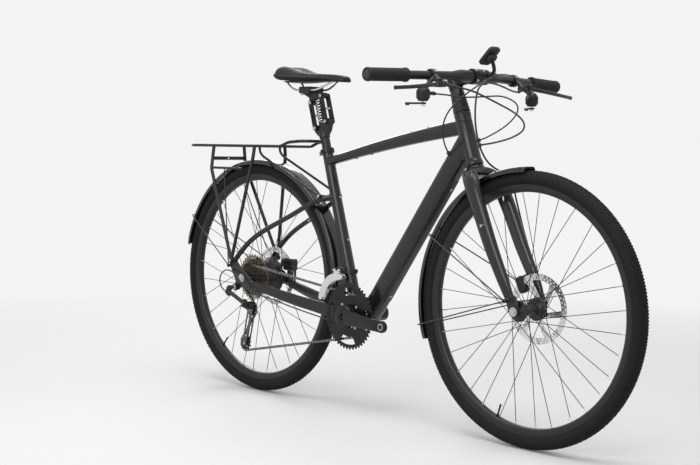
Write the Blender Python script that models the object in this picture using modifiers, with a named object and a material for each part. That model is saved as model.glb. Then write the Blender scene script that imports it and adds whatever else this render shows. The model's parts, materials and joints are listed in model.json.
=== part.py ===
"""An electric gravel bike with a hub motor, rear rack, mudguards and a sprung seat post, at full size.

Lengths are in metres.  X points forward, Y to the rider's left and Z up.  The origin is on the
floor, below the middle of the bike's length.  Points are given from the rear
axle, the front axle, the bottom bracket or the top of the seat tube, so they follow those places.
"""

import math

import bmesh
import bpy
from mathutils import Matrix, Vector
from mathutils.geometry import convex_hull_2d, tessellate_polygon

# Clearances
FIT = 0.0003
RUNNING = 0.0005
WELD = 0.00002
BOOLEAN_WELD = 0.0000005
FLAT_ANGLE = math.radians(0.05)

# Wheels
WHEELBASE = 1.044
TYRE_RADIUS = 0.351
TYRE_WIDTH = 0.040
BEAD_RADIUS = 0.3110
BEAD_HALF_WIDTH = 0.0106
RIM_FLANGE_RADIUS = 0.3162
RIM_WIDTH = 0.025
RIM_BED_RADIUS = 0.296
WHEEL_STEPS = 32
WHEEL_ROLL = math.radians(0.5)  # keeps the profile rings off the axle planes
SPOKE_COUNT = 32
SPOKE_RADIUS = 0.0009
AXLE_RADIUS = 0.006
FRONT_HUB_WIDTH = 0.1034
REAR_HUB_WIDTH = 0.1414
MOTOR_RADIUS = 0.053
ROTOR_RADIUS = 0.090
ROTOR_THICKNESS = 0.0018
FRONT_ROTOR_Y = 0.0405
REAR_ROTOR_Y = 0.0555
ROTOR_SEAT_RADIUS = 0.0173

# Frame geometry
BOTTOM_BRACKET_X = 0.452
BOTTOM_BRACKET_DROP = 0.072
SHELL_RADIUS = 0.0215
SHELL_WIDTH = 0.073
SPINDLE_RADIUS = 0.012
HEAD_ANGLE = math.radians(71.0)
FORK_OFFSET = 0.060
FORK_LENGTH = 0.3972
HEAD_TUBE_LENGTH = 0.147
HEAD_TUBE_RADIUS = 0.022
STEERER_RADIUS = 0.0143
SEAT_ANGLE = math.radians(73.5)
SEAT_TUBE_SETBACK = 0.0207
SEAT_TUBE_LENGTH = 0.492
SEAT_TUBE_TOP_RADIUS = 0.0158
SEAT_TUBE_BOTTOM_RADIUS = 0.0185
SEATPOST_RADIUS = 0.0136
DOWN_TUBE_WIDTH = 0.048
DOWN_TUBE_DEPTH = 0.056
TOP_TUBE_WIDTH = 0.034
TOP_TUBE_REAR_DEPTH = 0.024
TOP_TUBE_FRONT_DEPTH = 0.042
SEAT_STAY_RADIUS = 0.008
DROPOUT_THICKNESS = 0.007
FORK_TIP_THICKNESS = 0.008
CHAIN_STAY_DEPTH = 0.036
CHAIN_STAY_WIDTH = 0.012
COVER_WIDTH = 0.030
COVER_THICKNESS = 0.0024
COVER_START = 0.075
COVER_TOP_MARGIN = 0.110
PORT_COVER_LENGTH = 0.034
PORT_COVER_WIDTH = 0.024
PORT_COVER_THICKNESS = 0.003
PORT_HINGE_RADIUS = 0.0022
BRIDGE_RADIUS = 0.007
CALIPER_PAD_HEIGHT = 0.003
HANGER_PIN_RADIUS = 0.0045
CROWN_DEPTH = 0.030
CALIPER_THICKNESS = 0.022

# Cockpit
BAR_HALF_WIDTH = 0.370
BAR_CLAMP_RADIUS = 0.0159
BAR_END_RADIUS = 0.0111
GRIP_RADIUS = 0.0165
GRIP_LENGTH = 0.128
HOSE_RADIUS = 0.0025
CABLE_RADIUS = 0.0021
CONE_HEIGHT = 0.066
STEM_CLAMP_RADIUS = 0.0190
STEM_FRONT_RADIUS = 0.0205
STEM_HALF_WIDTH = 0.021
BAR_TAPER_START = 0.060
BAR_TAPER_END = 0.095
EAR_HALF_GAP = 0.0072
LEVER_PIN_RADIUS = 0.0028
POD_HALF_HEIGHT = 0.018
SHIFT_PIN_RADIUS = 0.0030
DISPLAY_TILT = math.radians(44)
DISPLAY_SIZE = (0.058, 0.040, 0.0105)

# Drivetrain
CHAIN_PITCH = 0.0127
CHAIN_WIDTH = 0.006
CHAIN_Y = -0.0473
SPROCKET_TEETH = (11, 13, 15, 17, 20, 23, 26, 30, 34)
SPROCKET_SPACING = 0.00434
SPROCKET_IN_USE = 20
SPROCKET_THICKNESS = 0.0018
FREEHUB_RADIUS = 0.0148
SMALL_RING_TEETH = 30
LARGE_RING_TEETH = 46
RING_SPACING = 0.008
PULLEY_TEETH = 11
TOOTH_ROOT = 0.0046
TOOTH_TIP = 0.0018
TOOTH_CLEARANCE = 0.0005
CRANK_LENGTH = 0.170
CRANK_ANGLE = math.radians(-3.0)
CRANK_BOSS_RADIUS = 0.033
PEDAL_HOLE_RADIUS = 0.0072
CAGE_LENGTH = 0.110
CAGE_ANGLE = math.radians(-107)
CAGE_HALF_GAP = 0.0072
CAGE_PLATE = 0.0018
CAGE_PIN_RADIUS = 0.0040
RING_THICKNESS = 0.0022
RING_BOLT_CIRCLE = 0.0400
RING_BOLT_RADIUS = 0.0040
RING_INNER_RADIUS = 0.0330
CHAIN_HALF_HEIGHT = 0.0040
CASSETTE_CORE_RADIUS = 0.0172
PULLEY_THICKNESS = 0.0022
PULLEY_AXLE_RADIUS = 0.0028
DERAILLEUR_BAND = 0.126

# Mudguards and rack
MUDGUARD_RADIUS = 0.3575
MUDGUARD_WIDTH = 0.050
MUDGUARD_WALL = 0.0022
MUDGUARD_SKIRT = 0.012
MUDGUARD_STEP = math.radians(11.5)
STAY_RADIUS = 0.0019
RACK_HEIGHT = 0.401
RACK_HALF_WIDTH = 0.060
RACK_TUBE_RADIUS = 0.0050
RACK_LEG_RADIUS = 0.0055

# Seat post linkage
LINK_HALF_WIDTH = 0.0165
LUG_HALF_WIDTH = 0.0095
PIVOT_RADIUS = 0.0040
SPRING_RADIUS = 0.0092
SPRING_WIRE_RADIUS = 0.0016
SPRING_TURNS = 8
RAIL_RADIUS = 0.0035
RAIL_HALF_GAP = 0.022
SADDLE_UNDERSIDE = 0.1991

MUDGUARD_OUTER = MUDGUARD_RADIUS + MUDGUARD_WALL
REAR_TAIL_ANGLE = math.radians(167.0)
TAIL_REACH = max(TYRE_RADIUS, -MUDGUARD_OUTER * math.cos(REAR_TAIL_ANGLE))
REAR_AXLE_X = (TAIL_REACH - WHEELBASE - TYRE_RADIUS) / 2

PARTS = bpy.data.collections.new("electric_gravel_bike")
BENCH = bpy.data.collections.new("bench")
FORWARD = Vector((1, 0, 0))
LEFT = Vector((0, 1, 0))
UP = Vector((0, 0, 1))


def rear(x, y, z):
    """A point measured from the rear axle's middle."""
    return Vector((REAR_AXLE_X + x, y, TYRE_RADIUS + z))


def front(x, y, z):
    """A point measured from the front axle's middle."""
    return rear(WHEELBASE + x, y, z)


def bottom(x, y, z):
    """A point measured from the bottom bracket's middle."""
    return rear(BOTTOM_BRACKET_X + x, y, z - BOTTOM_BRACKET_DROP)


def top(x, y, z):
    """A point measured from the middle of the seat tube's upper end."""
    return SEAT_TOP + Vector((x, y, z))


def turned_by(vector, angle):
    """The vector turned in the side view, from forward towards up."""
    return Matrix.Rotation(-angle, 3, "Y") @ vector


# Places that several pieces share
REAR_AXLE = rear(0, 0, 0)
FRONT_AXLE = front(0, 0, 0)
BOTTOM_BRACKET = bottom(0, 0, 0)
STEER_UP = Vector((-math.cos(HEAD_ANGLE), 0, math.sin(HEAD_ANGLE)))
STEER_FORE = Vector((math.sin(HEAD_ANGLE), 0, math.cos(HEAD_ANGLE)))
CROWN_RACE = FRONT_AXLE - FORK_OFFSET * STEER_FORE + FORK_LENGTH * STEER_UP
SEAT_UP = Vector((-math.cos(SEAT_ANGLE), 0, math.sin(SEAT_ANGLE)))
SEAT_BACK = Vector((-math.sin(SEAT_ANGLE), 0, -math.cos(SEAT_ANGLE)))
SEAT_FOOT = BOTTOM_BRACKET + SEAT_TUBE_SETBACK * SEAT_BACK
SEAT_TOP = SEAT_FOOT + SEAT_TUBE_LENGTH * SEAT_UP
DROPOUT_Y = REAR_HUB_WIDTH / 2 + FIT + DROPOUT_THICKNESS / 2
FORK_TIP_Y = FRONT_HUB_WIDTH / 2 + FIT + FORK_TIP_THICKNESS / 2
LARGE_RING_Y = CHAIN_Y - RING_SPACING
BAR_CENTRE = front(-0.187, 0, 0.587)
BAR_END = front(-0.216, BAR_HALF_WIDTH, 0.577)
GUIDE_PULLEY = rear(0.014, CHAIN_Y, -0.096)
HANGER_HOLE = rear(-0.022, -DROPOUT_Y, -0.029)
LOWER_FRONT_PIVOT = top(0.0066, 0, 0.0811)
LOWER_REAR_PIVOT = top(-0.0374, 0, 0.0611)
LINK_VECTOR = Vector((-0.022, 0, 0.074))


def steer(along, fore, y):
    """A point in the steering axis's own frame, from the crown race."""
    return CROWN_RACE + along * STEER_UP + fore * STEER_FORE + y * LEFT


def seat(along, fore=0.0, y=0.0):
    """A point in the seat tube's own frame, from its foot."""
    return SEAT_FOOT + along * SEAT_UP - fore * SEAT_BACK + y * LEFT


def mirrored(point):
    return Vector((point.x, -point.y, point.z))


def pitch_radius(teeth):
    return teeth * CHAIN_PITCH / math.tau


def new_object(name, data):
    obj = bpy.data.objects.new(name, data)
    obj.hide_render = True
    obj.display_type = "WIRE"
    BENCH.objects.link(obj)
    return obj


def object_from(bm, name="shape"):
    bmesh.ops.recalc_face_normals(bm, faces=bm.faces)
    mesh = bpy.data.meshes.new(name)
    bm.to_mesh(mesh)
    bm.free()
    return new_object(name, mesh)


def closed_mesh(source, weld=WELD):
    """The closed mesh that a curve or a modified object makes, in place of that object."""
    bpy.context.view_layer.update()
    graph = bpy.context.evaluated_depsgraph_get()
    mesh = bpy.data.meshes.new_from_object(source.evaluated_get(graph))
    bm = bmesh.new()
    bm.from_mesh(mesh)
    bmesh.ops.remove_doubles(bm, verts=bm.verts, dist=weld)
    bmesh.ops.dissolve_limit(bm, angle_limit=FLAT_ANGLE, verts=bm.verts, edges=bm.edges)
    bmesh.ops.recalc_face_normals(bm, faces=bm.faces)
    bm.to_mesh(mesh)
    bm.free()
    made = new_object(source.name, mesh)
    made.matrix_world = source.matrix_world
    bpy.data.objects.remove(source)
    return made


def moved(obj, matrix):
    obj.data.transform(matrix)
    return obj


def tube(points, radius, sides=8, radii=None):
    """A round tube along points, with filled ends; radii scale it from point to point."""
    curve = bpy.data.curves.new("tube", "CURVE")
    curve.dimensions = "3D"
    curve.bevel_depth = radius
    curve.bevel_resolution = sides // 2 - 2
    curve.use_fill_caps = True
    spline = curve.splines.new("POLY")
    spline.points.add(len(points) - 1)
    for index, point in enumerate(points):
        spline.points[index].co = (*point, 1)
        if radii:
            spline.points[index].radius = radii[index] / radius
    return closed_mesh(new_object("tube", curve))


def frame_matrix(centre, axis):
    """Turns the Z axis onto axis and moves the origin to centre."""
    return Matrix.Translation(centre) @ UP.rotation_difference(axis).to_matrix().to_4x4()


def turned(profile, centre, axis=LEFT, steps=16, start=0.0):
    """A turned solid: profile holds (radius, distance along axis) and closes on itself or on the axis."""
    bm = bmesh.new()
    verts = [bm.verts.new((radius, 0, along)) for radius, along in profile]
    for first, second in zip(verts, verts[1:]):
        bm.edges.new((first, second))
    if profile[0][0] > 0:
        bm.edges.new((verts[-1], verts[0]))
    mesh = bpy.data.meshes.new("turned")
    bm.to_mesh(mesh)
    bm.free()
    obj = new_object("turned", mesh)
    screw = obj.modifiers.new("turn", "SCREW")
    screw.steps = screw.render_steps = steps
    screw.use_merge_vertices = True
    screw.merge_threshold = WELD
    return moved(closed_mesh(obj), frame_matrix(centre, axis) @ Matrix.Rotation(start, 4, "Z"))


def plate(outlines, thickness, matrix):
    """A flat plate of the outlines, the first the edge and the rest its holes."""
    rings = [[Vector((across, up, 0)) for across, up in outline] for outline in outlines]
    flat = [point for ring in rings for point in ring]
    bm = bmesh.new()
    lower = [bm.verts.new(point - thickness / 2 * UP) for point in flat]
    upper = [bm.verts.new(point + thickness / 2 * UP) for point in flat]
    for corners in tessellate_polygon(rings):
        bm.faces.new([lower[k] for k in corners])
        bm.faces.new([upper[k] for k in corners])
    start = 0
    for ring in rings:
        for k in range(len(ring)):
            here, after = start + k, start + (k + 1) % len(ring)
            bm.faces.new((lower[here], lower[after], upper[after], upper[here]))
        start += len(ring)
    return moved(object_from(bm, "plate"), matrix)


def side_plate(outlines, thickness, centre):
    """A plate in the side view: outlines hold (forward, up) from centre."""
    return plate(outlines, thickness, Matrix.Translation(centre) @ Matrix.Rotation(math.pi / 2, 4, "X"))


def circle(radius, sides, centre=(0, 0), start=0.0):
    return [
        (
            centre[0] + radius * math.cos(start + math.tau * k / sides),
            centre[1] + radius * math.sin(start + math.tau * k / sides),
        )
        for k in range(sides)
    ]


def flats(radius, sides):
    """The corner radius of a hole with flats at the radius."""
    return radius / math.cos(math.pi / sides)


def round_hole(radius, sides, centre=(0, 0)):
    return circle(flats(radius, sides), sides, centre)


def section(centre, across, upward, half_width, half_height, sides=8, power=2.0):
    """A closed ring of points on a superellipse; a power above 2 makes it squarer."""
    ring = []
    for k in range(sides):
        angle = math.tau * (k + 0.5) / sides
        c, s = math.cos(angle), math.sin(angle)
        reach = (abs(c) ** power + abs(s) ** power) ** (-1 / power)
        ring.append(centre + across * (half_width * reach * c) + upward * (half_height * reach * s))
    return ring


def loft(rings):
    """A skin over rings of equal count, capped at both ends."""
    bm = bmesh.new()
    loops = [[bm.verts.new(point) for point in ring] for ring in rings]
    count = len(rings[0])
    for lower, upper in zip(loops, loops[1:]):
        for k in range(count):
            after = (k + 1) % count
            bm.faces.new((lower[k], lower[after], upper[after], upper[k]))
    bm.faces.new(loops[0])
    bm.faces.new(loops[-1])
    return object_from(bm, "loft")


def block(size, centre, rotation=None):
    bm = bmesh.new()
    matrix = Matrix.Translation(centre) @ (rotation or Matrix.Identity(4)) @ Matrix.Diagonal((*size, 1))
    bmesh.ops.create_cube(bm, size=1, matrix=matrix)
    return object_from(bm, "block")


def add_rod(bm, start, end, radius, sides=8, end_radius=None):
    along = end - start
    bmesh.ops.create_cone(
        bm,
        cap_ends=True,
        segments=sides,
        radius1=radius,
        radius2=radius if end_radius is None else end_radius,
        depth=along.length,
        matrix=frame_matrix((start + end) / 2, along.normalized()),
    )


def rod(start, end, radius, sides=8, end_radius=None):
    bm = bmesh.new()
    add_rod(bm, start, end, radius, sides, end_radius)
    return object_from(bm, "rod")


def joined(base, operation, others):
    """The base joined with or cut by the others, which go."""
    for other in others:
        modifier = base.modifiers.new(operation.lower(), "BOOLEAN")
        modifier.operation = operation
        # EXACT leaves open edges where round tubes meet at a shallow angle
        modifier.solver = "MANIFOLD"
        modifier.object = other
        base = closed_mesh(base, BOOLEAN_WELD)
        bpy.data.objects.remove(other)
    return base


def united(base, *others):
    return joined(base, "UNION", others)


def cut(base, *others):
    return joined(base, "DIFFERENCE", others)


def aligned(across, upward):
    """A rotation whose X and Z axes run across and upward."""
    forward = upward.cross(across)
    return Matrix((across, forward, upward)).transposed().to_4x4()


# Finishes: base colour, metallic and roughness
FRAME_PAINT = ((0.045, 0.047, 0.052), 0.4, 0.25)
SATIN_BLACK = ((0.015, 0.015, 0.016), 0.0, 0.45)
GLOSS_BLACK = ((0.010, 0.010, 0.012), 0.0, 0.15)
RUBBER = ((0.022, 0.022, 0.022), 0.0, 0.80)
ANODISED = ((0.020, 0.020, 0.021), 0.8, 0.40)
POLISHED = ((0.55, 0.55, 0.56), 1.0, 0.25)
STEEL = ((0.36, 0.34, 0.31), 1.0, 0.35)
CHAIN_STEEL = ((0.30, 0.26, 0.21), 1.0, 0.40)


def material_of(name, finish):
    colour, metallic, roughness = finish
    material = bpy.data.materials.new(name)
    material.use_nodes = True
    shader = material.node_tree.nodes["Principled BSDF"]
    shader.inputs["Base Color"].default_value = (*colour, 1)
    shader.inputs["Metallic"].default_value = metallic
    shader.inputs["Roughness"].default_value = roughness
    return material


def joint_empty(name, pivot, parent=None):
    empty = bpy.data.objects.new(name, None)
    PARTS.objects.link(empty)
    empty.empty_display_size = 0.02
    empty.parent = parent
    empty.location = pivot - (world_place(parent) if parent else Vector())
    return empty


def world_place(obj):
    place = obj.location.copy()
    while obj.parent:
        obj = obj.parent
        place += obj.location
    return place


def part(name, obj, finish, parent):
    """Makes a shape a named sub-part, its origin on its parent's pivot."""
    pivot = world_place(parent)
    obj.name = name
    obj.data.name = name
    obj.data.materials.clear()
    obj.data.materials.append(material_of(name, finish))
    obj.data.shade_smooth()
    obj.data.set_sharp_from_angle(angle=math.radians(35))
    obj.hide_render = False
    obj.display_type = "SOLID"
    BENCH.objects.unlink(obj)
    PARTS.objects.link(obj)
    obj.data.transform(Matrix.Translation(-pivot))
    obj.parent = parent
    return obj


def seat_tube_radius(along):
    return SEAT_TUBE_BOTTOM_RADIUS + (
        SEAT_TUBE_TOP_RADIUS - SEAT_TUBE_BOTTOM_RADIUS
    ) * along / SEAT_TUBE_LENGTH


def both_sides(make, *points):
    """The pieces that make builds from the points and from their mirror images."""
    return [make(*points), make(*(mirrored(point) for point in points))]


def cross_rod(point, radius, inner, outer, sides=8):
    """A rod along Y through a point of the side view, from y = inner to y = outer."""
    return rod(point + (inner - point.y) * LEFT, point + (outer - point.y) * LEFT, radius, sides)


def round_hull(discs, sides=8):
    """The outline that a band stretched round discs would take; a disc is (across, up, radius)."""
    points = [point for across, up, radius in discs for point in circle(radius, sides, (across, up))]
    return [points[k] for k in convex_hull_2d(points)]


def bar_plate(places, y, thickness, holes=()):
    """A flat plate in the side view, rounded about (place, radius) pairs."""
    origin = places[0][0]
    discs = [(place.x - origin.x, place.z - origin.z, radius) for place, radius in places]
    return side_plate([round_hull(discs), *holes], thickness, origin + (y - origin.y) * LEFT)


def drill(start, end, radius, sides=16):
    """A cutter whose flats, not its corners, lie at the radius."""
    return rod(start, end, flats(radius, sides), sides)


def bore(point, radius, half_length=0.2, sides=16):
    return drill(point - half_length * LEFT, point + half_length * LEFT, radius, sides)


def socket(path, radius):
    """The cutter that makes room for a cable's first two stretches."""
    start = path[0] + (path[0] - path[1]).normalized() * FIT * 2
    return tube([start, *path[1:3]], flats(radius + FIT, 6), 6)


# Cables and hoses, from the control or the clamp to the frame
FRONT_HOSE = [
    front(-0.162, 0.153, 0.561), front(-0.155, 0.138, 0.555), front(-0.14, 0.108, 0.551),
    front(-0.132, 0.072, 0.554), front(-0.122, 0.030, 0.561), front(-0.117, -0.012, 0.567),
    front(-0.114, -0.050, 0.567), front(-0.114, -0.073, 0.554), front(-0.114, -0.083, 0.529),
    front(-0.114, -0.086, 0.486), front(-0.118, -0.075, 0.444), front(-0.124, -0.052, 0.404),
    front(-0.126, -0.022, 0.371), front(-0.127, 0.015, 0.351), front(-0.126, 0.052, 0.339),
    front(-0.122, 0.0745, 0.317), front(-0.109, 0.0785, 0.269), front(-0.086, 0.0785, 0.201),
    front(-0.06, 0.0775, 0.134), front(-0.053, 0.076, 0.101), front(-0.061, 0.073, 0.083),
    front(-0.074, 0.066, 0.075), front(-0.074, 0.057, 0.069), front(-0.068, 0.050, 0.062),
]
REAR_HOSE = [
    front(-0.162, -0.153, 0.561), front(-0.155, -0.138, 0.558), front(-0.139, -0.115, 0.553),
    front(-0.123, -0.085, 0.545), front(-0.111, -0.045, 0.53), front(-0.107, 0.000, 0.515),
    front(-0.109, 0.044, 0.502), front(-0.113, 0.085, 0.487), front(-0.122, 0.118, 0.469),
    front(-0.139, 0.132, 0.45), front(-0.159, 0.112, 0.432), front(-0.178, 0.070, 0.419),
    front(-0.194, 0.032, 0.412), front(-0.199, 0.0200, 0.4093),
]
REAR_GEAR_CABLE = [
    front(-0.166, -0.190, 0.537), front(-0.162, -0.181, 0.536), front(-0.151, -0.150, 0.534),
    front(-0.139, -0.116, 0.53), front(-0.125, -0.078, 0.531), front(-0.115, -0.038, 0.534),
    front(-0.11, 0.003, 0.536), front(-0.112, 0.042, 0.531), front(-0.116, 0.076, 0.52),
    front(-0.126, 0.096, 0.504), front(-0.141, 0.098, 0.483), front(-0.16, 0.080, 0.458),
    front(-0.182, 0.046, 0.434), front(-0.194, 0.028, 0.425), front(-0.1985, 0.0200, 0.4222),
]
FRONT_GEAR_CABLE = [
    front(-0.168, 0.193, 0.538), front(-0.16, 0.180, 0.538), front(-0.145, 0.160, 0.543),
    front(-0.133, 0.140, 0.56), front(-0.136, 0.112, 0.583), front(-0.13, 0.060, 0.592),
    front(-0.124, 0.014, 0.591), front(-0.123, -0.022, 0.58), front(-0.136, -0.050, 0.562),
    front(-0.156, -0.064, 0.545), front(-0.18, -0.072, 0.525), front(-0.204, -0.080, 0.501),
    front(-0.224, -0.079, 0.473), front(-0.238, -0.069, 0.443), front(-0.248, -0.050, 0.414),
    front(-0.256, -0.026, 0.391), front(-0.26, -0.010, 0.382),
]
DERAILLEUR_CABLE = [
    bottom(0.012, -0.014, -0.012), bottom(-0.004, -0.018, -0.0285), bottom(-0.047, -0.026, -0.0275),
    rear(0.37, -0.034, -0.0975), rear(0.3, -0.042, -0.087), rear(0.2, -0.052, -0.07),
    rear(0.13, -0.060, -0.055), rear(0.085, -0.070, -0.047), rear(0.055, -0.084, -0.036),
    rear(0.025, -0.0915, -0.017), rear(-0.01, -0.0920, 0.009), rear(-0.045, -0.0905, 0.021),
    rear(-0.078, -0.0880, 0.013), rear(-0.094, -0.0864, -0.009), rear(-0.089, -0.0862, -0.031),
    rear(-0.072, -0.0868, -0.043), rear(-0.0632, -0.0877, -0.0450),
]


# Frame


def tapered_beam(rings, power=3.0, sides=10):
    """A beam over (centre, half width, half height) rings, its sections square to its run."""
    run = (rings[-1][0] - rings[0][0]).normalized()
    upward = LEFT.cross(run).normalized() * -1
    return loft([section(centre, LEFT, upward, wide, high, sides, power) for centre, wide, high in rings])


DOWN_TUBE_FOOT = BOTTOM_BRACKET + 0.0287 * FORWARD
DOWN_TUBE_HEAD = steer(0.0707, 0, 0)
DOWN_TUBE_LENGTH = (DOWN_TUBE_HEAD - DOWN_TUBE_FOOT).length
DOWN_TUBE_RUN = (DOWN_TUBE_HEAD - DOWN_TUBE_FOOT).normalized()
UNDERSIDE = Vector((DOWN_TUBE_RUN.z, 0, -DOWN_TUBE_RUN.x))
TOP_TUBE_REAR = seat(SEAT_TUBE_LENGTH - 0.037)
TOP_TUBE_FRONT = steer(0.109, 0, 0)
RACK_EYELET = rear(-0.031, 0.086, 0.052)
MUDGUARD_EYELET = rear(-0.052, 0.084, 0.035)
STRUT_EYELET = rear(0.306, 0.036, 0.259)
SEAT_STAY_BRIDGE = rear(0.29, 0, 0.249)
CHAIN_STAY_BRIDGE = rear(0.385, 0, -0.066)
CALIPER_PAD = rear(0.0675, 0.0655, -0.002)


def down_tube(along, below, y=0.0):
    """A point in the down tube's own frame, from its foot; below counts towards its underside."""
    return DOWN_TUBE_FOOT + along * DOWN_TUBE_RUN + below * UNDERSIDE + y * LEFT


def top_tube(share, above=0.0, y=0.0):
    """A point along the arched top tube, at a share of its length."""
    arch = 0.024 * share * (1 - share)
    return TOP_TUBE_REAR.lerp(TOP_TUBE_FRONT, share) + (above + arch) * UP + y * LEFT


def top_tube_half_depth(share):
    return (TOP_TUBE_REAR_DEPTH + (TOP_TUBE_FRONT_DEPTH - TOP_TUBE_REAR_DEPTH) * share) / 2


def along_down_tube(length, width, thickness, along, below, y=0.0):
    """A box that lies along the down tube."""
    turn = aligned(DOWN_TUBE_RUN, UNDERSIDE)
    return block((length, width, thickness), down_tube(along, below, y), turn)


def down_tube_solid():
    wide, deep = DOWN_TUBE_WIDTH / 2, DOWN_TUBE_DEPTH / 2
    rings = [
        (down_tube(-0.030, 0), wide, deep * 0.93),
        (down_tube(0.060, 0), wide, deep),
        (down_tube(DOWN_TUBE_LENGTH - 0.100, 0), wide, deep),
        (down_tube(DOWN_TUBE_LENGTH + 0.004, 0), wide * 0.88, deep),
    ]
    return tapered_beam(rings, 4.0, 12)


def top_tube_solid():
    wide = TOP_TUBE_WIDTH / 2
    rings = [(top_tube(share), wide, top_tube_half_depth(share)) for share in (0, 0.36, 0.66, 0.99)]
    return tapered_beam(rings)


def chain_stay(side):
    wide, deep = CHAIN_STAY_WIDTH / 2, CHAIN_STAY_DEPTH / 2
    rings = [
        (bottom(-0.012, 0.022, 0.002), wide * 1.2, deep),
        (rear(0.36, 0.033, -0.068), wide, deep * 1.1),
        (rear(0.2, 0.050, -0.0465), wide * 1.1, deep * 0.95),
        (rear(0.08, 0.0655, -0.0245), wide, deep * 0.75),
        (rear(0.014, DROPOUT_Y, -0.01), DROPOUT_THICKNESS / 2 + 0.0005, deep * 0.60),
    ]
    placed = [(Vector((centre.x, side * centre.y, centre.z)), w, h) for centre, w, h in rings]
    return tapered_beam(placed, 3.0, 8)


def seat_stay(side):
    points = [
        seat(0.353, 0, 0.009), rear(0.285, 0.038, 0.243), rear(0.19, 0.052, 0.196),
        rear(0.09, 0.064, 0.149),
        rear(0.03, 0.071, 0.112), rear(-0.02, DROPOUT_Y, 0.067), rear(-0.045, DROPOUT_Y, 0.039),
    ]
    return tube([Vector((p.x, side * p.y, p.z)) for p in points], SEAT_STAY_RADIUS, 6)


def dropout(side):
    """A dropout plate; the right one reaches down to the derailleur's hanger."""
    outline = [(0.045, 0.001), (0.045, -0.026), (0.006, -0.026)]
    if side < 0:
        outline += [
            (-0.008, -0.031), (-0.014, -0.0375), (-0.023, -0.0395), (-0.031, -0.035), (-0.033, -0.026),
            (-0.030, -0.010),
        ]
    else:
        outline += [(-0.022, -0.016)]
    outline += [(-0.050, 0.022), (-0.064, 0.050), (-0.046, 0.062), (-0.022, 0.046), (0.006, 0.024)]
    return side_plate([outline], DROPOUT_THICKNESS, REAR_AXLE + side * DROPOUT_Y * LEFT)


def small_bosses():
    """Threaded bosses on the tubes, raised collars round the cable ports and the top tube's cover."""
    bm = bmesh.new()
    top_tube_down = -0.010 * UP
    for share in (0.215, 0.335):
        depth = top_tube_half_depth(share)
        add_rod(bm, top_tube(share, top_tube_down.z), top_tube(share, -depth - 0.0015), 0.0045, 6)
    for share in (0.632, 0.746):
        depth = top_tube_half_depth(share)
        add_rod(bm, top_tube(share, 0.004), top_tube(share, depth + 0.0015), 0.0042, 6)
    for along in (0.345, 0.219):
        radius = seat_tube_radius(along)
        add_rod(bm, seat(along, radius - 0.004), seat(along, radius + 0.0018), 0.0045, 6)
    for along in (0.180, 0.244):
        add_rod(
            bm,
            down_tube(along, -DOWN_TUBE_DEPTH / 2 + 0.008),
            down_tube(along, -DOWN_TUBE_DEPTH / 2 - 0.0018),
            0.0045,
            6,
        )
    return object_from(bm)


def cable_collars():
    bm = bmesh.new()
    for path in (REAR_HOSE, REAR_GEAR_CABLE, FRONT_GEAR_CABLE):
        inner, outer = path[-1], path[-2]
        run = (outer - inner).normalized()
        add_rod(bm, inner, outer - run * 0.0015, 0.0058, 6)
    return object_from(bm)


def frame_solid():
    head_profile = [
        (0.0, 0.0), (HEAD_TUBE_RADIUS + 0.003, 0.0), (HEAD_TUBE_RADIUS + 0.003, 0.010),
        (HEAD_TUBE_RADIUS, 0.018),
        (HEAD_TUBE_RADIUS, HEAD_TUBE_LENGTH - 0.014), (HEAD_TUBE_RADIUS + 0.001, HEAD_TUBE_LENGTH - 0.010),
        (HEAD_TUBE_RADIUS + 0.001, HEAD_TUBE_LENGTH), (0.0, HEAD_TUBE_LENGTH),
    ]
    seat_profile = [
        (0.0, -0.004), (SEAT_TUBE_BOTTOM_RADIUS, -0.004), (SEAT_TUBE_TOP_RADIUS, SEAT_TUBE_LENGTH),
        (0.0, SEAT_TUBE_LENGTH),
    ]
    solids = [
        turned(seat_profile, SEAT_FOOT, SEAT_UP, 16),
        turned(head_profile, CROWN_RACE, STEER_UP, 16),
        down_tube_solid(),
        top_tube_solid(),
        cross_rod(SEAT_STAY_BRIDGE, BRIDGE_RADIUS, -0.034, 0.034),
        cross_rod(CHAIN_STAY_BRIDGE, BRIDGE_RADIUS, -0.032, 0.032),
        cross_rod(STRUT_EYELET, 0.0055, -STRUT_EYELET.y, STRUT_EYELET.y),
        block((0.034, 0.010, 0.022), CALIPER_PAD + (CALIPER_PAD_HEIGHT - 0.011) * UP),
        small_bosses(),
        cable_collars(),
    ]
    for side in (1, -1):
        solids += [chain_stay(side), seat_stay(side), dropout(side)]
        solids.append(cross_rod(RACK_EYELET, 0.0075, side * DROPOUT_Y, side * RACK_EYELET.y))
        solids.append(cross_rod(MUDGUARD_EYELET, 0.0048, side * DROPOUT_Y, side * MUDGUARD_EYELET.y))
    shell = rod(
        BOTTOM_BRACKET - SHELL_WIDTH / 2 * LEFT, BOTTOM_BRACKET + SHELL_WIDTH / 2 * LEFT, SHELL_RADIUS, 20
    )
    return united(shell, *solids)


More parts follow.
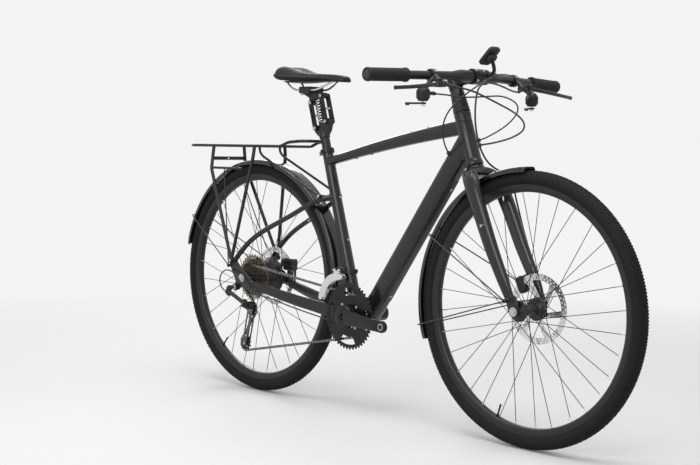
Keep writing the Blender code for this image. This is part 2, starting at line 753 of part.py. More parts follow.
def add_frame(root):
    cover_length = DOWN_TUBE_LENGTH - COVER_START - COVER_TOP_MARGIN
    cover_middle = COVER_START + cover_length / 2
    surface = DOWN_TUBE_DEPTH / 2
    recess = along_down_tube(cover_length, COVER_WIDTH, 0.02, cover_middle, surface - 0.002 + 0.010)
    cover_below = surface - 0.002 + FIT + COVER_THICKNESS / 2
    cover_shape = along_down_tube(
        cover_length - 2 * FIT, COVER_WIDTH - 2 * FIT, COVER_THICKNESS, cover_middle, cover_below
    )
    screws = bmesh.new()
    for along in (COVER_START + 0.020, COVER_START + cover_length - 0.030):
        add_rod(screws, down_tube(along, cover_below), down_tube(along, cover_below + 0.0024), 0.0040, 8)
    cover_shape = united(cover_shape, object_from(screws))
    charge = bottom(0.001, 0, 0.067)
    charge_along = (charge - DOWN_TUBE_FOOT).dot(DOWN_TUBE_RUN)
    frame = cut(
        frame_solid(),
        recess,
        bore(BOTTOM_BRACKET, SPINDLE_RADIUS + RUNNING, SHELL_WIDTH, sides=16),
        drill(steer(-0.02, 0, 0), steer(HEAD_TUBE_LENGTH + 0.02, 0, 0), STEERER_RADIUS + RUNNING, 16),
        drill(SEAT_TOP - 0.215 * SEAT_UP, SEAT_TOP + 0.02 * SEAT_UP, SEATPOST_RADIUS + FIT, 16),
        bore(REAR_AXLE, AXLE_RADIUS + FIT, 0.1),
        drill(HANGER_HOLE - 0.01 * LEFT, HANGER_HOLE + 0.01 * LEFT, HANGER_PIN_RADIUS + FIT, 8),
        *(socket(path[::-1], radius) for path, radius in FRAME_ENTRIES),
        port_cover(charge_along, FIT),
    )
    part("main_frame", frame, FRAME_PAINT, root)
    part("battery_cover", cover_shape, SATIN_BLACK, root)
    hinge = joint_empty("port_cover_hinge", port_hinge(charge_along), root)
    part("charge_port_cover", port_cover(charge_along, 0.0), RUBBER, hinge)
    part("seat_clamp", seat_clamp(), ANODISED, root)


FRAME_ENTRIES = (
    (REAR_HOSE, HOSE_RADIUS),
    (REAR_GEAR_CABLE, CABLE_RADIUS),
    (FRONT_GEAR_CABLE, CABLE_RADIUS),
    (DERAILLEUR_CABLE[::-1], CABLE_RADIUS),
)


def port_hinge(along):
    return down_tube(along - PORT_COVER_LENGTH / 2, -DOWN_TUBE_DEPTH / 2 - PORT_COVER_THICKNESS)


def port_cover(along, grown):
    """The flap over the charging port on the down tube's upper side, with a rolled hinge at its lower end."""
    surface = -DOWN_TUBE_DEPTH / 2
    thickness = PORT_COVER_THICKNESS + grown
    flap = along_down_tube(
        PORT_COVER_LENGTH + 2 * grown,
        PORT_COVER_WIDTH + 2 * grown,
        thickness,
        along,
        surface - thickness / 2 + 0.0015 + grown,
    )
    foot = down_tube(along - PORT_COVER_LENGTH / 2, surface)
    roll = cross_rod(
        foot, PORT_HINGE_RADIUS + grown, -PORT_COVER_WIDTH / 2 - grown, PORT_COVER_WIDTH / 2 + grown, 8
    )
    return united(flap, roll)


def seat_clamp():
    inner = flats(SEAT_TUBE_TOP_RADIUS + 0.0001 + FIT, 16)
    outer = inner + 0.0042
    band = turned([(inner, -0.013), (outer, -0.013), (outer, 0.001), (inner, 0.001)], SEAT_TOP, SEAT_UP, 16)
    lug = block(
        (0.012, 0.016, 0.012),
        SEAT_TOP - 0.006 * SEAT_UP + (outer + 0.003) * SEAT_BACK,
        aligned(SEAT_BACK, SEAT_UP),
    )
    slit = block(
        (0.030, 0.0016, 0.030),
        SEAT_TOP - 0.006 * SEAT_UP + (outer + 0.004) * SEAT_BACK,
        aligned(SEAT_BACK, SEAT_UP),
    )
    bolt_place = SEAT_TOP - 0.006 * SEAT_UP + (outer + 0.004) * SEAT_BACK
    clear = drill(SEAT_TOP - 0.03 * SEAT_UP, SEAT_TOP + 0.03 * SEAT_UP, inner, 16)
    ring = cut(united(band, lug), clear, slit)
    return united(ring, rod(bolt_place - 0.0105 * LEFT, bolt_place + 0.0105 * LEFT, 0.0028, 8))


# Fork and steering

FORK_EYELET = front(-0.015, 0.0735, 0.027)
LEG_DOWN = Vector((0.4618, 0, -0.8870))
LEG_FORE = Vector((0.8870, 0, 0.4618))
FRONT_CALIPER = front(-0.057, FRONT_ROTOR_Y + 0.0043, 0.057)


def fork_leg(side):
    rings = [
        (steer(-0.016, 0.005, 0.036), 0.012, 0.020),
        (front(-0.154, 0.050, 0.32), 0.015, 0.023),
        (front(-0.122, 0.058, 0.26), 0.014, 0.0215),
        (front(-0.075, 0.060, 0.157), 0.0120, 0.0195),
        (front(-0.03, 0.0612, 0.071), 0.0095, 0.0165),
        (front(-0.0095, 0.0600, 0.029), 0.0070, 0.0130),
    ]
    placed = [Vector((centre.x, side * centre.y, centre.z)) for centre, _, _ in rings]
    return loft(
        [section(c, LEFT, LEG_FORE, wide, deep, 8, 2.5) for c, (_, wide, deep) in zip(placed, rings)]
    )


def fork_solid():
    half = CROWN_DEPTH / 2 - 0.0015
    crown = loft(
        [
            section(steer(-0.028, 0.010, -0.050), STEER_FORE, STEER_UP, 0.019, 0.012, 8, 2.5),
            section(steer(-0.019, 0.004, -0.030), STEER_FORE, STEER_UP, 0.022, half, 8, 2.5),
            section(steer(-0.0165, 0, 0), STEER_FORE, STEER_UP, 0.024, half, 8, 2.5),
            section(steer(-0.019, 0.004, 0.030), STEER_FORE, STEER_UP, 0.022, half, 8, 2.5),
            section(steer(-0.028, 0.010, 0.050), STEER_FORE, STEER_UP, 0.019, 0.012, 8, 2.5),
        ]
    )
    race_radius = HEAD_TUBE_RADIUS + 0.002
    solids = [
        rod(steer(-0.012, 0, 0), steer(-0.0006, 0, 0), race_radius, 16),
        rod(steer(-0.012, 0, 0), steer(STEERER_LENGTH, 0, 0), STEERER_RADIUS, 16),
        rod(
            FRONT_CALIPER + 0.030 * LEG_FORE + 0.0155 * LEFT,
            FRONT_CALIPER + (CALIPER_THICKNESS / 2 + FIT) * LEG_FORE + 0.0155 * LEFT,
            0.0085,
            8,
        ),
    ]
    outline = [
        (0.014, -0.003), (0.010, -0.012), (0.0, -0.015), (-0.010, -0.012), (-0.016, 0.000), (-0.025, 0.024),
        (-0.022, 0.046), (0.004, 0.040), (0.012, 0.018),
    ]
    for side in (1, -1):
        solids.append(fork_leg(side))
        solids.append(side_plate([outline], FORK_TIP_THICKNESS, FRONT_AXLE + side * FORK_TIP_Y * LEFT))
        solids.append(cross_rod(FORK_EYELET, 0.0050, side * FORK_TIP_Y, side * FORK_EYELET.y, 8))
    boss = front(-0.0975, -0.0660, 0.209)
    solids.append(cross_rod(boss, 0.0050, -0.0600, -0.0745, 8))
    return cut(united(crown, *solids), bore(FRONT_AXLE, AXLE_RADIUS + FIT, 0.1))


CONE_START = HEAD_TUBE_LENGTH + FIT
STEERER_LENGTH = CONE_START + CONE_HEIGHT + 0.034


def stem_solid():
    """The stem, its cone below the clamp and its cap above the steerer."""
    cone_top = CONE_START + CONE_HEIGHT
    profile = [
        (0.0, CONE_START), (HEAD_TUBE_RADIUS + 0.0005, CONE_START),
        (HEAD_TUBE_RADIUS - 0.0005, CONE_START + 0.016),
        (STEM_CLAMP_RADIUS - 0.002, cone_top - 0.004), (STEM_CLAMP_RADIUS, cone_top),
        (STEM_CLAMP_RADIUS, cone_top + 0.037),
        (STEM_CLAMP_RADIUS - 0.004, cone_top + 0.040), (0.0, cone_top + 0.040),
    ]
    column = turned(profile, CROWN_RACE, STEER_UP, 16)
    middle = steer(cone_top + 0.019, 0, 0)
    reach = BAR_CENTRE - middle
    beam = tapered_beam(
        [
            (middle, 0.015, 0.016),
            (middle.lerp(BAR_CENTRE, 0.5), 0.0145, 0.0140),
            (BAR_CENTRE - reach * 0.12, 0.0185, 0.0150),
        ]
    )
    clamp = rod(
        BAR_CENTRE - STEM_HALF_WIDTH * LEFT, BAR_CENTRE + STEM_HALF_WIDTH * LEFT, STEM_FRONT_RADIUS, 16
    )
    steerer_bore = drill(
        steer(CONE_START - 0.01, 0, 0), steer(STEERER_LENGTH + FIT, 0, 0), STEERER_RADIUS + FIT, 16
    )
    bar_bore = bore(BAR_CENTRE, BAR_CLAMP_RADIUS + FIT, 0.05, sides=16)
    return cut(united(column, beam, clamp), steerer_bore, bar_bore)


BAR_SWEEP = (BAR_END - BAR_CENTRE - BAR_HALF_WIDTH * LEFT) / (BAR_HALF_WIDTH - BAR_TAPER_START)
BAR_RUN = (LEFT + BAR_SWEEP).normalized()


def bar_point(y):
    """The handlebar's centre at y, for either side."""
    return BAR_CENTRE + y * LEFT + max(0.0, abs(y) - BAR_TAPER_START) * BAR_SWEEP


def handlebar_solid():
    places = (
        -BAR_HALF_WIDTH + 0.003, -BAR_TAPER_END, -BAR_TAPER_START, BAR_TAPER_START, BAR_TAPER_END,
        BAR_HALF_WIDTH - 0.003,
    )
    thick = (
        BAR_END_RADIUS, BAR_END_RADIUS, BAR_CLAMP_RADIUS, BAR_CLAMP_RADIUS, BAR_END_RADIUS, BAR_END_RADIUS
    )
    return tube([bar_point(y) for y in places], BAR_CLAMP_RADIUS, 14, thick)


def bar_direction(side):
    return Vector((BAR_RUN.x, side * BAR_RUN.y, BAR_RUN.z))


def grip(side):
    """A grip over the end of the bar, closed at the end."""
    hole = flats(BAR_END_RADIUS + FIT, 12)
    start = -GRIP_LENGTH
    profile = [
        (0.0, -0.0027), (hole, -0.0027), (hole, start), (GRIP_RADIUS + 0.0015, start),
        (GRIP_RADIUS + 0.0015, start + 0.008), (GRIP_RADIUS - 0.0005, start + 0.012),
        (GRIP_RADIUS, start / 2),
        (GRIP_RADIUS - 0.0005, -0.010), (GRIP_RADIUS + 0.0010, -0.007), (GRIP_RADIUS - 0.0010, 0.0),
        (0.0, 0.0),
    ]
    end = bar_point(side * BAR_HALF_WIDTH)
    return turned(profile, end, bar_direction(side), 12)


LEVER_PIVOT = front(-0.154, 0.181, 0.563)
POD = front(-0.174, 0.213, 0.535)


def sided(point, side):
    return Vector((point.x, side * point.y, point.z))


def controls(side):
    """The clamp with the brake lever's body and the shifter's pod below the bar."""
    place = bar_point(side * 0.160)
    along = bar_direction(side)
    ring = rod(place - 0.0075 * along, place + 0.0075 * along, BAR_END_RADIUS + 0.0054, 12)
    bar_hole = drill(place - 0.030 * along, place + 0.030 * along, BAR_END_RADIUS + FIT, 12)
    pivot = sided(LEVER_PIVOT, side)
    pod = sided(POD, side)
    forward_of_bar = place + 0.0135 * FORWARD
    shapes = [
        rod(forward_of_bar - 0.003 * FORWARD, sided(front(-0.162, 0.162, 0.563), side), 0.0072, 6),
        rod(sided(front(-0.163, 0.146, 0.562), side), sided(front(-0.16, 0.1715, 0.563), side), 0.0086, 8),
        rod(forward_of_bar - 0.002 * FORWARD - 0.002 * UP, pod + 0.010 * UP, 0.0060, 6),
        rod(pod, sided(front(-0.1645, 0.186, 0.5375), side), 0.0048, 6),
        rod(
            pod - (POD_HALF_HEIGHT - 0.004) * UP, pod - (POD_HALF_HEIGHT + 0.012) * UP, SHIFT_PIN_RADIUS, 6
        ),
        rod(pod - (POD_HALF_HEIGHT + 0.0098) * UP, pod - (POD_HALF_HEIGHT + 0.0125) * UP, 0.0060, 6),
        rod(pivot - EAR_HALF_GAP * 1.2 * UP, pivot + EAR_HALF_GAP * 1.2 * UP, LEVER_PIN_RADIUS, 6),
        loft(
            [
                section(pod - POD_HALF_HEIGHT * UP, FORWARD, LEFT, 0.0115, 0.0115, 8, 2.2),
                section(pod - POD_HALF_HEIGHT * 0.55 * UP, FORWARD, LEFT, 0.0170, 0.0170, 8, 2.2),
                section(pod + POD_HALF_HEIGHT * 0.40 * UP, FORWARD, LEFT, 0.0175, 0.0175, 8, 2.2),
                section(pod + POD_HALF_HEIGHT * UP, FORWARD, LEFT, 0.0105, 0.0105, 8, 2.2),
            ]
        ),
    ]
    for way in (1, -1):
        ear = pivot + way * (EAR_HALF_GAP + 0.0018) * UP
        shapes.append(block((0.017, 0.023, 0.0036), ear - side * 0.0035 * LEFT - 0.001 * FORWARD))
    hose = FRONT_HOSE if side > 0 else REAR_HOSE
    cable = FRONT_GEAR_CABLE if side > 0 else REAR_GEAR_CABLE
    return cut(united(ring, *shapes), bar_hole, socket(hose, HOSE_RADIUS), socket(cable, CABLE_RADIUS))


def brake_lever(side):
    pivot = sided(LEVER_PIVOT, side)
    height = EAR_HALF_GAP - RUNNING
    eye = rod(pivot - height * UP, pivot + height * UP, 0.0075, 12)
    path = [
        pivot,
        sided(front(-0.138, 0.212, 0.557), side),
        sided(front(-0.135, 0.275, 0.55), side),
        sided(front(-0.141, 0.335, 0.545), side),
        sided(front(-0.145, 0.346, 0.544), side),
    ]
    blade = tube(path, 0.0055, 8, (0.0052, 0.0050, 0.0046, 0.0052, 0.0040))
    hole = drill(pivot - 0.02 * UP, pivot + 0.02 * UP, LEVER_PIN_RADIUS + FIT, 10)
    return cut(united(eye, blade), hole)


def shift_lever(side):
    pivot = sided(POD, side) - (POD_HALF_HEIGHT + 0.0052) * UP
    tip = pivot + Vector((-0.034, side * 0.020, 0))
    outline = round_hull([(0, 0, 0.0080), (tip.x - pivot.x, tip.y - pivot.y, 0.0062)], 8)
    blade = plate([outline, round_hole(SHIFT_PIN_RADIUS + FIT, 8)], 0.0046, Matrix.Translation(pivot))
    return united(blade, rod(tip - 0.0050 * UP, tip + 0.0020 * UP, 0.0052, 6))


DISPLAY_CENTRE = front(-0.144, 0.0, 0.639)
DISPLAY_LONG = Vector((math.cos(DISPLAY_TILT), 0, math.sin(DISPLAY_TILT)))
DISPLAY_FACE = Vector((-math.sin(DISPLAY_TILT), 0, math.cos(DISPLAY_TILT)))
DISPLAY_PUCK = DISPLAY_CENTRE - (DISPLAY_SIZE[2] / 2 + FIT) * DISPLAY_FACE


def display_mount():
    """A ring on the bar with an arm up to the round plate that carries the display."""
    place = bar_point(STEM_HALF_WIDTH + 0.0085)
    hole = flats(BAR_CLAMP_RADIUS + FIT, 14)
    ring = turned(
        [(hole, -0.006), (hole + 0.0040, -0.006), (hole + 0.0040, 0.006), (hole, 0.006)], place, LEFT, 14
    )
    elbow = front(-0.148, 0.0240, 0.605)
    start = place + (BAR_CLAMP_RADIUS + 0.0021) * FORWARD
    arm = tube(
        [start, start + 0.008 * FORWARD + 0.005 * UP, elbow, DISPLAY_PUCK - 0.006 * DISPLAY_FACE], 0.0050, 6
    )
    puck = rod(DISPLAY_PUCK - 0.0085 * DISPLAY_FACE, DISPLAY_PUCK, 0.0150, 12)
    return united(ring, arm, puck)


def display():
    middle = DISPLAY_CENTRE
    half = DISPLAY_SIZE[2] / 2
    wide, long = DISPLAY_SIZE[1] / 2, DISPLAY_SIZE[0] / 2
    rings = []
    for offset, shrink in ((-half, 0.0025), (-half + 0.003, 0.0), (half - 0.0015, 0.0), (half, 0.0015)):
        rings.append(
            section(
                middle + offset * DISPLAY_FACE, DISPLAY_LONG, LEFT, long - shrink, wide - shrink, 12, 5.0
            )
        )
    return loft(rings)


# Wheels


def tyre(centre):
    half = TYRE_WIDTH / 2
    side = [
        (TYRE_RADIUS, half * 0.42), (TYRE_RADIUS - 0.016, half),
        (RIM_FLANGE_RADIUS + FIT, BEAD_HALF_WIDTH + 0.0002), (BEAD_RADIUS, BEAD_HALF_WIDTH),
    ]
    return turned(
        side + [(radius, -y) for radius, y in reversed(side)], centre, LEFT, WHEEL_STEPS, WHEEL_ROLL
    )


def rim(centre, valve_angle):
    half = RIM_WIDTH / 2
    inner = BEAD_HALF_WIDTH + 0.0002 + FIT
    side = [
        (BEAD_RADIUS - FIT, inner), (RIM_FLANGE_RADIUS, inner), (RIM_FLANGE_RADIUS, half),
        (RIM_BED_RADIUS, 0.0060),
    ]
    ring = turned(
        side + [(radius, -y) for radius, y in reversed(side)], centre, LEFT, WHEEL_STEPS, WHEEL_ROLL
    )
    outward = turned_by(FORWARD, valve_angle)
    stem = rod(
        centre + (RIM_BED_RADIUS - 0.032) * outward,
        centre + (RIM_BED_RADIUS + 0.006) * outward,
        0.0030,
        6,
        0.0036,
    )
    return united(ring, stem)


def spokes(centre, flanges, crosses):
    """The spokes from two (y, radius) flanges to the rim, each crossing others on its own side."""
    bm = bmesh.new()
    spacing = math.tau / (SPOKE_COUNT // 2)
    rim_end = RIM_BED_RADIUS * math.cos(math.pi / WHEEL_STEPS) - FIT
    for side, (flange_y, flange_radius) in zip((1, -1), flanges):
        shift = spacing / 4 * side
        for k in range(SPOKE_COUNT // 2):
            way = 1 if k % 2 else -1
            hub_angle = spacing * k + shift
            rim_angle = hub_angle + way * crosses * spacing
            start = centre + (flange_radius - 0.0025) * turned_by(FORWARD, hub_angle)
            end = centre + rim_end * turned_by(FORWARD, rim_angle)
            start.y = flange_y + way * 0.0014
            end.y = side * 0.0032 + way * 0.0011
            add_rod(bm, start, end, SPOKE_RADIUS, 3)
    return object_from(bm)


def front_hub(centre):
    end = FRONT_HUB_WIDTH / 2
    seat_radius = ROTOR_SEAT_RADIUS
    profile = [
        (0.0095, end), (seat_radius, end - 0.0047), (seat_radius, 0.0393), (0.0230, 0.0393),
        (0.0290, 0.0345),
        (0.0290, 0.0290), (0.0150, 0.0230), (0.0150, -0.0300), (0.0265, -0.0345), (0.0265, -0.0395),
        (0.0120, -0.0440), (0.0095, -end), (AXLE_RADIUS + RUNNING, -end), (AXLE_RADIUS + RUNNING, end),
    ]
    body = turned(profile, centre, LEFT, 12)
    return united(body, spokes(centre, ((0.0318, 0.0290), (-0.0370, 0.0265)), 3))


def motor_hub(centre):
    end = REAR_HUB_WIDTH / 2
    seat_radius = ROTOR_SEAT_RADIUS
    flange = MOTOR_RADIUS + 0.003
    shoulder = REAR_ROTOR_Y - ROTOR_THICKNESS / 2 - FIT
    freehub_end = CHAIN_Y - (SPROCKET_TEETH.index(SPROCKET_IN_USE) + 0.5) * SPROCKET_SPACING
    profile = [
        (0.0100, end), (seat_radius, end - 0.0087), (seat_radius, shoulder), (0.0230, shoulder),
        (0.0430, 0.0490),
        (flange, 0.0445), (flange, 0.0395), (MOTOR_RADIUS, 0.0370), (MOTOR_RADIUS, -0.0160),
        (flange, -0.0185), (flange, -0.0235), (0.0430, -0.0255), (0.0180, -0.0265),
        (FREEHUB_RADIUS, -0.0270),
        (FREEHUB_RADIUS, freehub_end), (0.0100, -end), (AXLE_RADIUS + RUNNING, -end),
        (AXLE_RADIUS + RUNNING, end),
    ]
    body = turned(profile, centre, LEFT, 16)
    return united(body, spokes(centre, ((0.0420, flange), (-0.0210, flange)), 2))


def rotor(centre, y):
    """A brake disc: a braking ring on slanted arms round the hub's seat."""
    arms = 6
    outlines = [circle(ROTOR_RADIUS, 28)]
    for k in range(arms):
        start = math.tau * k / arms
        window = []
        for radius, angle in ((0.073, 0.00), (0.074, 0.42), (0.073, 0.84), (0.029, 0.36), (0.029, -0.28)):
            window.append((radius * math.cos(start + angle), radius * math.sin(start + angle)))
        outlines.append(window)
    outlines.append(round_hole(ROTOR_SEAT_RADIUS + FIT, 16))
    return side_plate(outlines, ROTOR_THICKNESS, centre + y * LEFT)


def through_axle(centre, half_width):
    """An axle with its head on the left and a socket in its end."""
    shaft = rod(centre - half_width * LEFT, centre + half_width * LEFT, AXLE_RADIUS, 16)
    head_start = half_width - 0.0028
    head = rod(centre + head_start * LEFT, centre + (half_width + 0.0020) * LEFT, AXLE_RADIUS + 0.0030, 16)
    hole = rod(centre + (half_width - 0.003) * LEFT, centre + (half_width + 0.01) * LEFT, 0.0032, 6)
    return cut(united(shaft, head), hole)


def caliper(centre, size, rotation, axle, disc_y, foot=None):
    """A brake caliper's body, slotted for the disc."""
    body = block(size, centre, rotation)
    bm = bmesh.new()
    bm.from_mesh(body.data)
    bmesh.ops.bevel(bm, geom=bm.edges, offset=0.0045, segments=1, affect="EDGES")
    bm.to_mesh(body.data)
    bm.free()
    slot = rod(
        Vector((axle.x, disc_y - ROTOR_THICKNESS / 2 - RUNNING, axle.z)),
        Vector((axle.x, disc_y + ROTOR_THICKNESS / 2 + RUNNING, axle.z)),
        ROTOR_RADIUS + 0.002,
        36,
    )
    return cut(united(body, foot) if foot else body, slot)


# Drivetrain


def direction(heading):
    return Vector((math.cos(heading), 0, math.sin(heading)))


def leftward(heading):
    return Vector((-math.sin(heading), 0, math.cos(heading)))


def in_chain_plane(point):
    return Vector((point.x, CHAIN_Y, point.z))


def chain_wheels(cage_angle):
    """The toothed wheels in the chain's order, as (centre, reach); a reach below 0 turns the other way."""
    pulley = pitch_radius(PULLEY_TEETH)
    return [
        (in_chain_plane(BOTTOM_BRACKET), pitch_radius(SMALL_RING_TEETH)),
        (GUIDE_PULLEY + CAGE_LENGTH * direction(cage_angle), pulley),
        (GUIDE_PULLEY, -pulley),
        (in_chain_plane(REAR_AXLE), pitch_radius(SPROCKET_IN_USE)),
    ]


def run_heading(first, second):
    """The heading of the chain's straight run from one wheel to the next."""
    gap = second[0] - first[0]
    return math.atan2(gap.z, gap.x) + math.asin((second[1] - first[1]) / gap.length)


def pitch_line(wheels):
    """The pitch line's stretches: length, start, heading and the reach of the wheel it bends round."""
    stretches = []
    for index, (centre, reach) in enumerate(wheels):
        following = wheels[(index + 1) % len(wheels)]
        arriving = run_heading(wheels[index - 1], (centre, reach))
        leaving = run_heading((centre, reach), following)
        turn = (math.copysign(1, reach) * (arriving - leaving)) % math.tau
        run = math.sqrt((following[0] - centre).length_squared - (following[1] - reach) ** 2)
        stretches.append((abs(reach) * turn, centre + reach * leftward(arriving), arriving, reach))
        stretches.append((run, centre + reach * leftward(leaving), leaving, None))
    return stretches


def line_length(cage_angle):
    return sum(length for length, _, _, _ in pitch_line(chain_wheels(cage_angle)))


def taut_cage_angle():
    """The cage's angle that makes the chain a whole, even number of links."""
    goal = round(line_length(CAGE_ANGLE) / CHAIN_PITCH / 2) * 2 * CHAIN_PITCH
    rearmost, foremost = CAGE_ANGLE - 0.35, CAGE_ANGLE + 0.35
    for _ in range(40):
        middle = (rearmost + foremost) / 2
        if line_length(middle) > goal:
            rearmost = middle
        else:
            foremost = middle
    return middle


def tooth_phases(stretches):
    """The angle of one tooth of each wheel, so that every tooth stands between two chain pins."""
    phases = []
    passed = 0.0
    for length, start, heading, reach in stretches:
        if reach is not None:
            first_gap = (math.ceil(passed / CHAIN_PITCH - 0.5) + 0.5) * CHAIN_PITCH - passed
            bent = heading - first_gap / reach
            outward = math.copysign(1, reach) * leftward(bent)
            phases.append(math.atan2(outward.z, outward.x))
        passed += length
    return phases


def toothed(teeth, phase, grown=0.0):
    """A toothed outline with one tooth at phase."""
    radius = pitch_radius(teeth) + grown
    outline = []
    for k in range(teeth):
        for reach, step in ((radius + TOOTH_TIP, k), (radius - TOOTH_ROOT, k + 0.5)):
            angle = phase + math.tau * step / teeth
            outline.append((reach * math.cos(angle), reach * math.sin(angle)))
    return outline


def toothed_plate(centre, teeth, phase, thickness, holes=(), grown=0.0):
    return side_plate([toothed(teeth, phase, grown), *holes], thickness, centre)


def chain(stretches, phases):
    """The chain as one band along its pitch line, with room for each tooth that it meets."""
    outer, inner = [], []
    for length, start, heading, reach in stretches:
        steps = 1 if reach is None else math.ceil(length / CHAIN_PITCH * (2 if abs(reach) < 0.03 else 1))
        for k in range(steps):
            bent = heading if reach is None else heading - length * k / steps / reach
            centre = start if reach is None else start + reach * (leftward(bent) - leftward(heading))
            for outline, offset in ((outer, CHAIN_HALF_HEIGHT), (inner, -CHAIN_HALF_HEIGHT)):
                place = centre + offset * leftward(bent) - in_chain_plane(BOTTOM_BRACKET)
                outline.append((place.x, place.z))
    band = side_plate([outer, inner], CHAIN_WIDTH, in_chain_plane(BOTTOM_BRACKET))
    teeth = (SMALL_RING_TEETH, PULLEY_TEETH, PULLEY_TEETH, SPROCKET_IN_USE)
    thickness = (RING_THICKNESS, PULLEY_THICKNESS, PULLEY_THICKNESS, SPROCKET_THICKNESS)
    cutters = []
    for (centre, _), number, phase, thick in zip(chain_wheels(taut_cage_angle()), teeth, phases, thickness):
        cutters.append(toothed_plate(centre, number, phase, thick + 2 * FIT, (), TOOTH_CLEARANCE))
    return cut(band, *cutters)


def pulley(centre, phase):
    return toothed_plate(
        centre, PULLEY_TEETH, phase, PULLEY_THICKNESS, [round_hole(PULLEY_AXLE_RADIUS + FIT, 8)]
    )


def cassette(phase):
    """Nine sprockets on one core that slides over the freehub."""
    bm = bmesh.new()

    def ring(outline, y):
        return [bm.verts.new(REAR_AXLE + Vector((x, y, z))) for x, z in outline]

    def wall(first, second):
        for k in range(len(first)):
            after = (k + 1) % len(first)
            bm.faces.new((first[k], first[after], second[after], second[k]))

    def face(edge, hole):
        verts = edge + hole
        flat = [[Vector((vert.co.x, vert.co.z, 0)) for vert in loop] for loop in (edge, hole)]
        for corners in tessellate_polygon(flat):
            bm.faces.new([verts[k] for k in corners])

    in_use = SPROCKET_TEETH.index(SPROCKET_IN_USE)
    core = circle(CASSETTE_CORE_RADIUS, 12)
    hole = round_hole(FREEHUB_RADIUS + FIT, 12)
    half = SPROCKET_THICKNESS / 2
    start = CHAIN_Y - in_use * SPROCKET_SPACING - half - 0.0006
    last = ring(core, start)
    inner_start = ring(hole, start)
    face(last, inner_start)
    for index, teeth in enumerate(SPROCKET_TEETH):
        y = CHAIN_Y + (index - in_use) * SPROCKET_SPACING
        edge = toothed(teeth, phase if index == in_use else 0.0)
        outer = ring(edge, y - half), ring(edge, y + half)
        inner = ring(core, y - half), ring(core, y + half)
        wall(last, inner[0])
        wall(*outer)
        face(outer[0], inner[0])
        face(outer[1], inner[1])
        last = inner[1]
    end = ring(core, y + half + 0.0006)
    inner_end = ring(hole, y + half + 0.0006)
    wall(last, end)
    wall(inner_start, inner_end)
    face(end, inner_end)
    return object_from(bm, "cassette")


def ring_bolts():
    return [
        BOTTOM_BRACKET + RING_BOLT_CIRCLE * direction(CRANK_ANGLE + math.pi * (k + 0.5) / 2)
        for k in range(4)
    ]


def chainring(teeth, y, phase):
    centre = BOTTOM_BRACKET + y * LEFT
    holes = [round_hole(RING_INNER_RADIUS, 16)]
    for place in ring_bolts():
        offset = place - BOTTOM_BRACKET
        holes.append(round_hole(RING_BOLT_RADIUS + FIT, 8, (offset.x, offset.z)))
    if teeth == LARGE_RING_TEETH:
        for k in range(4):
            middle = CRANK_ANGLE + math.pi * k / 2
            corners = ((0.058, -0.34), (0.079, -0.40), (0.082, 0.0), (0.079, 0.40), (0.058, 0.34))
            holes.append(
                [
                    (reach * math.cos(middle + turn), reach * math.sin(middle + turn))
                    for reach, turn in corners
                ]
            )
    return toothed_plate(centre, teeth, phase, RING_THICKNESS, holes)


def crank_arm(side, heading, boss_y):
    """A crank arm from the spindle to its pedal hole."""
    run = direction(heading)
    upward = leftward(heading)
    end_y = side * 0.095
    rings = []
    for share, high, thick in (
        (0.0, 0.0235, 0.0065), (0.30, 0.0205, 0.0065), (0.85, 0.0170, 0.0060), (1.0, 0.0168, 0.0060)
    ):
        centre = BOTTOM_BRACKET + share * CRANK_LENGTH * run
        centre.y = side * boss_y + (end_y - side * boss_y) * min(1.0, share * 1.25)
        rings.append(section(centre, LEFT, upward, thick, high, 8, 4.0))
    arm = loft(rings)
    end = BOTTOM_BRACKET + CRANK_LENGTH * run + end_y * LEFT
    tip = rod(end - 0.0060 * LEFT, end + 0.0060 * LEFT, 0.0168, 14)
    return [arm, tip], bore(end, PEDAL_HOLE_RADIUS, 0.02, sides=12)


def crank_right():
    face = -(SHELL_WIDTH / 2 + 0.0010)
    spider_in = CHAIN_Y - RING_THICKNESS / 2 - FIT
    spider_out = LARGE_RING_Y + RING_THICKNESS / 2 + FIT
    boss = CRANK_BOSS_RADIUS
    profile = [
        (0.0, SHELL_WIDTH / 2 + 0.0420), (SPINDLE_RADIUS - 0.001, SHELL_WIDTH / 2 + 0.0420),
        (SPINDLE_RADIUS, SHELL_WIDTH / 2 + 0.0410),
        (SPINDLE_RADIUS, face), (0.0190, face), (0.0190, spider_in), (RING_INNER_RADIUS - 0.003, spider_in),
        (RING_INNER_RADIUS - 0.003, LARGE_RING_Y - 0.0020), (boss, LARGE_RING_Y - 0.0045), (boss, -0.0790),
        (boss - 0.004, -0.0820), (0.0, -0.0820),
    ]
    body = turned(profile, BOTTOM_BRACKET, LEFT, 16)
    arm, hole = crank_arm(-1, CRANK_ANGLE, 0.0760)
    shapes = list(arm)
    middle = (spider_in + spider_out) / 2
    for place in ring_bolts():
        shapes.append(
            bar_plate([(BOTTOM_BRACKET, 0.0120), (place, 0.0085)], middle, spider_in - spider_out)
        )
        shapes.append(
            cross_rod(
                place,
                RING_BOLT_RADIUS,
                CHAIN_Y + RING_THICKNESS / 2 + 0.0008,
                LARGE_RING_Y - RING_THICKNESS / 2 - 0.0012,
                8,
            )
        )
    return cut(united(body, *shapes), hole)


def crank_left():
    inner = SHELL_WIDTH / 2 + 0.0010
    arm, hole = crank_arm(1, CRANK_ANGLE + math.pi, 0.0760)
    boss = rod(BOTTOM_BRACKET + inner * LEFT, BOTTOM_BRACKET + 0.0820 * LEFT, 0.0225, 16)
    spindle_hole = drill(
        BOTTOM_BRACKET + (inner - 0.01) * LEFT,
        BOTTOM_BRACKET + (SHELL_WIDTH / 2 + 0.0420 + FIT) * LEFT,
        SPINDLE_RADIUS + FIT,
        16,
    )
    return cut(united(boss, *arm), hole, spindle_hole)


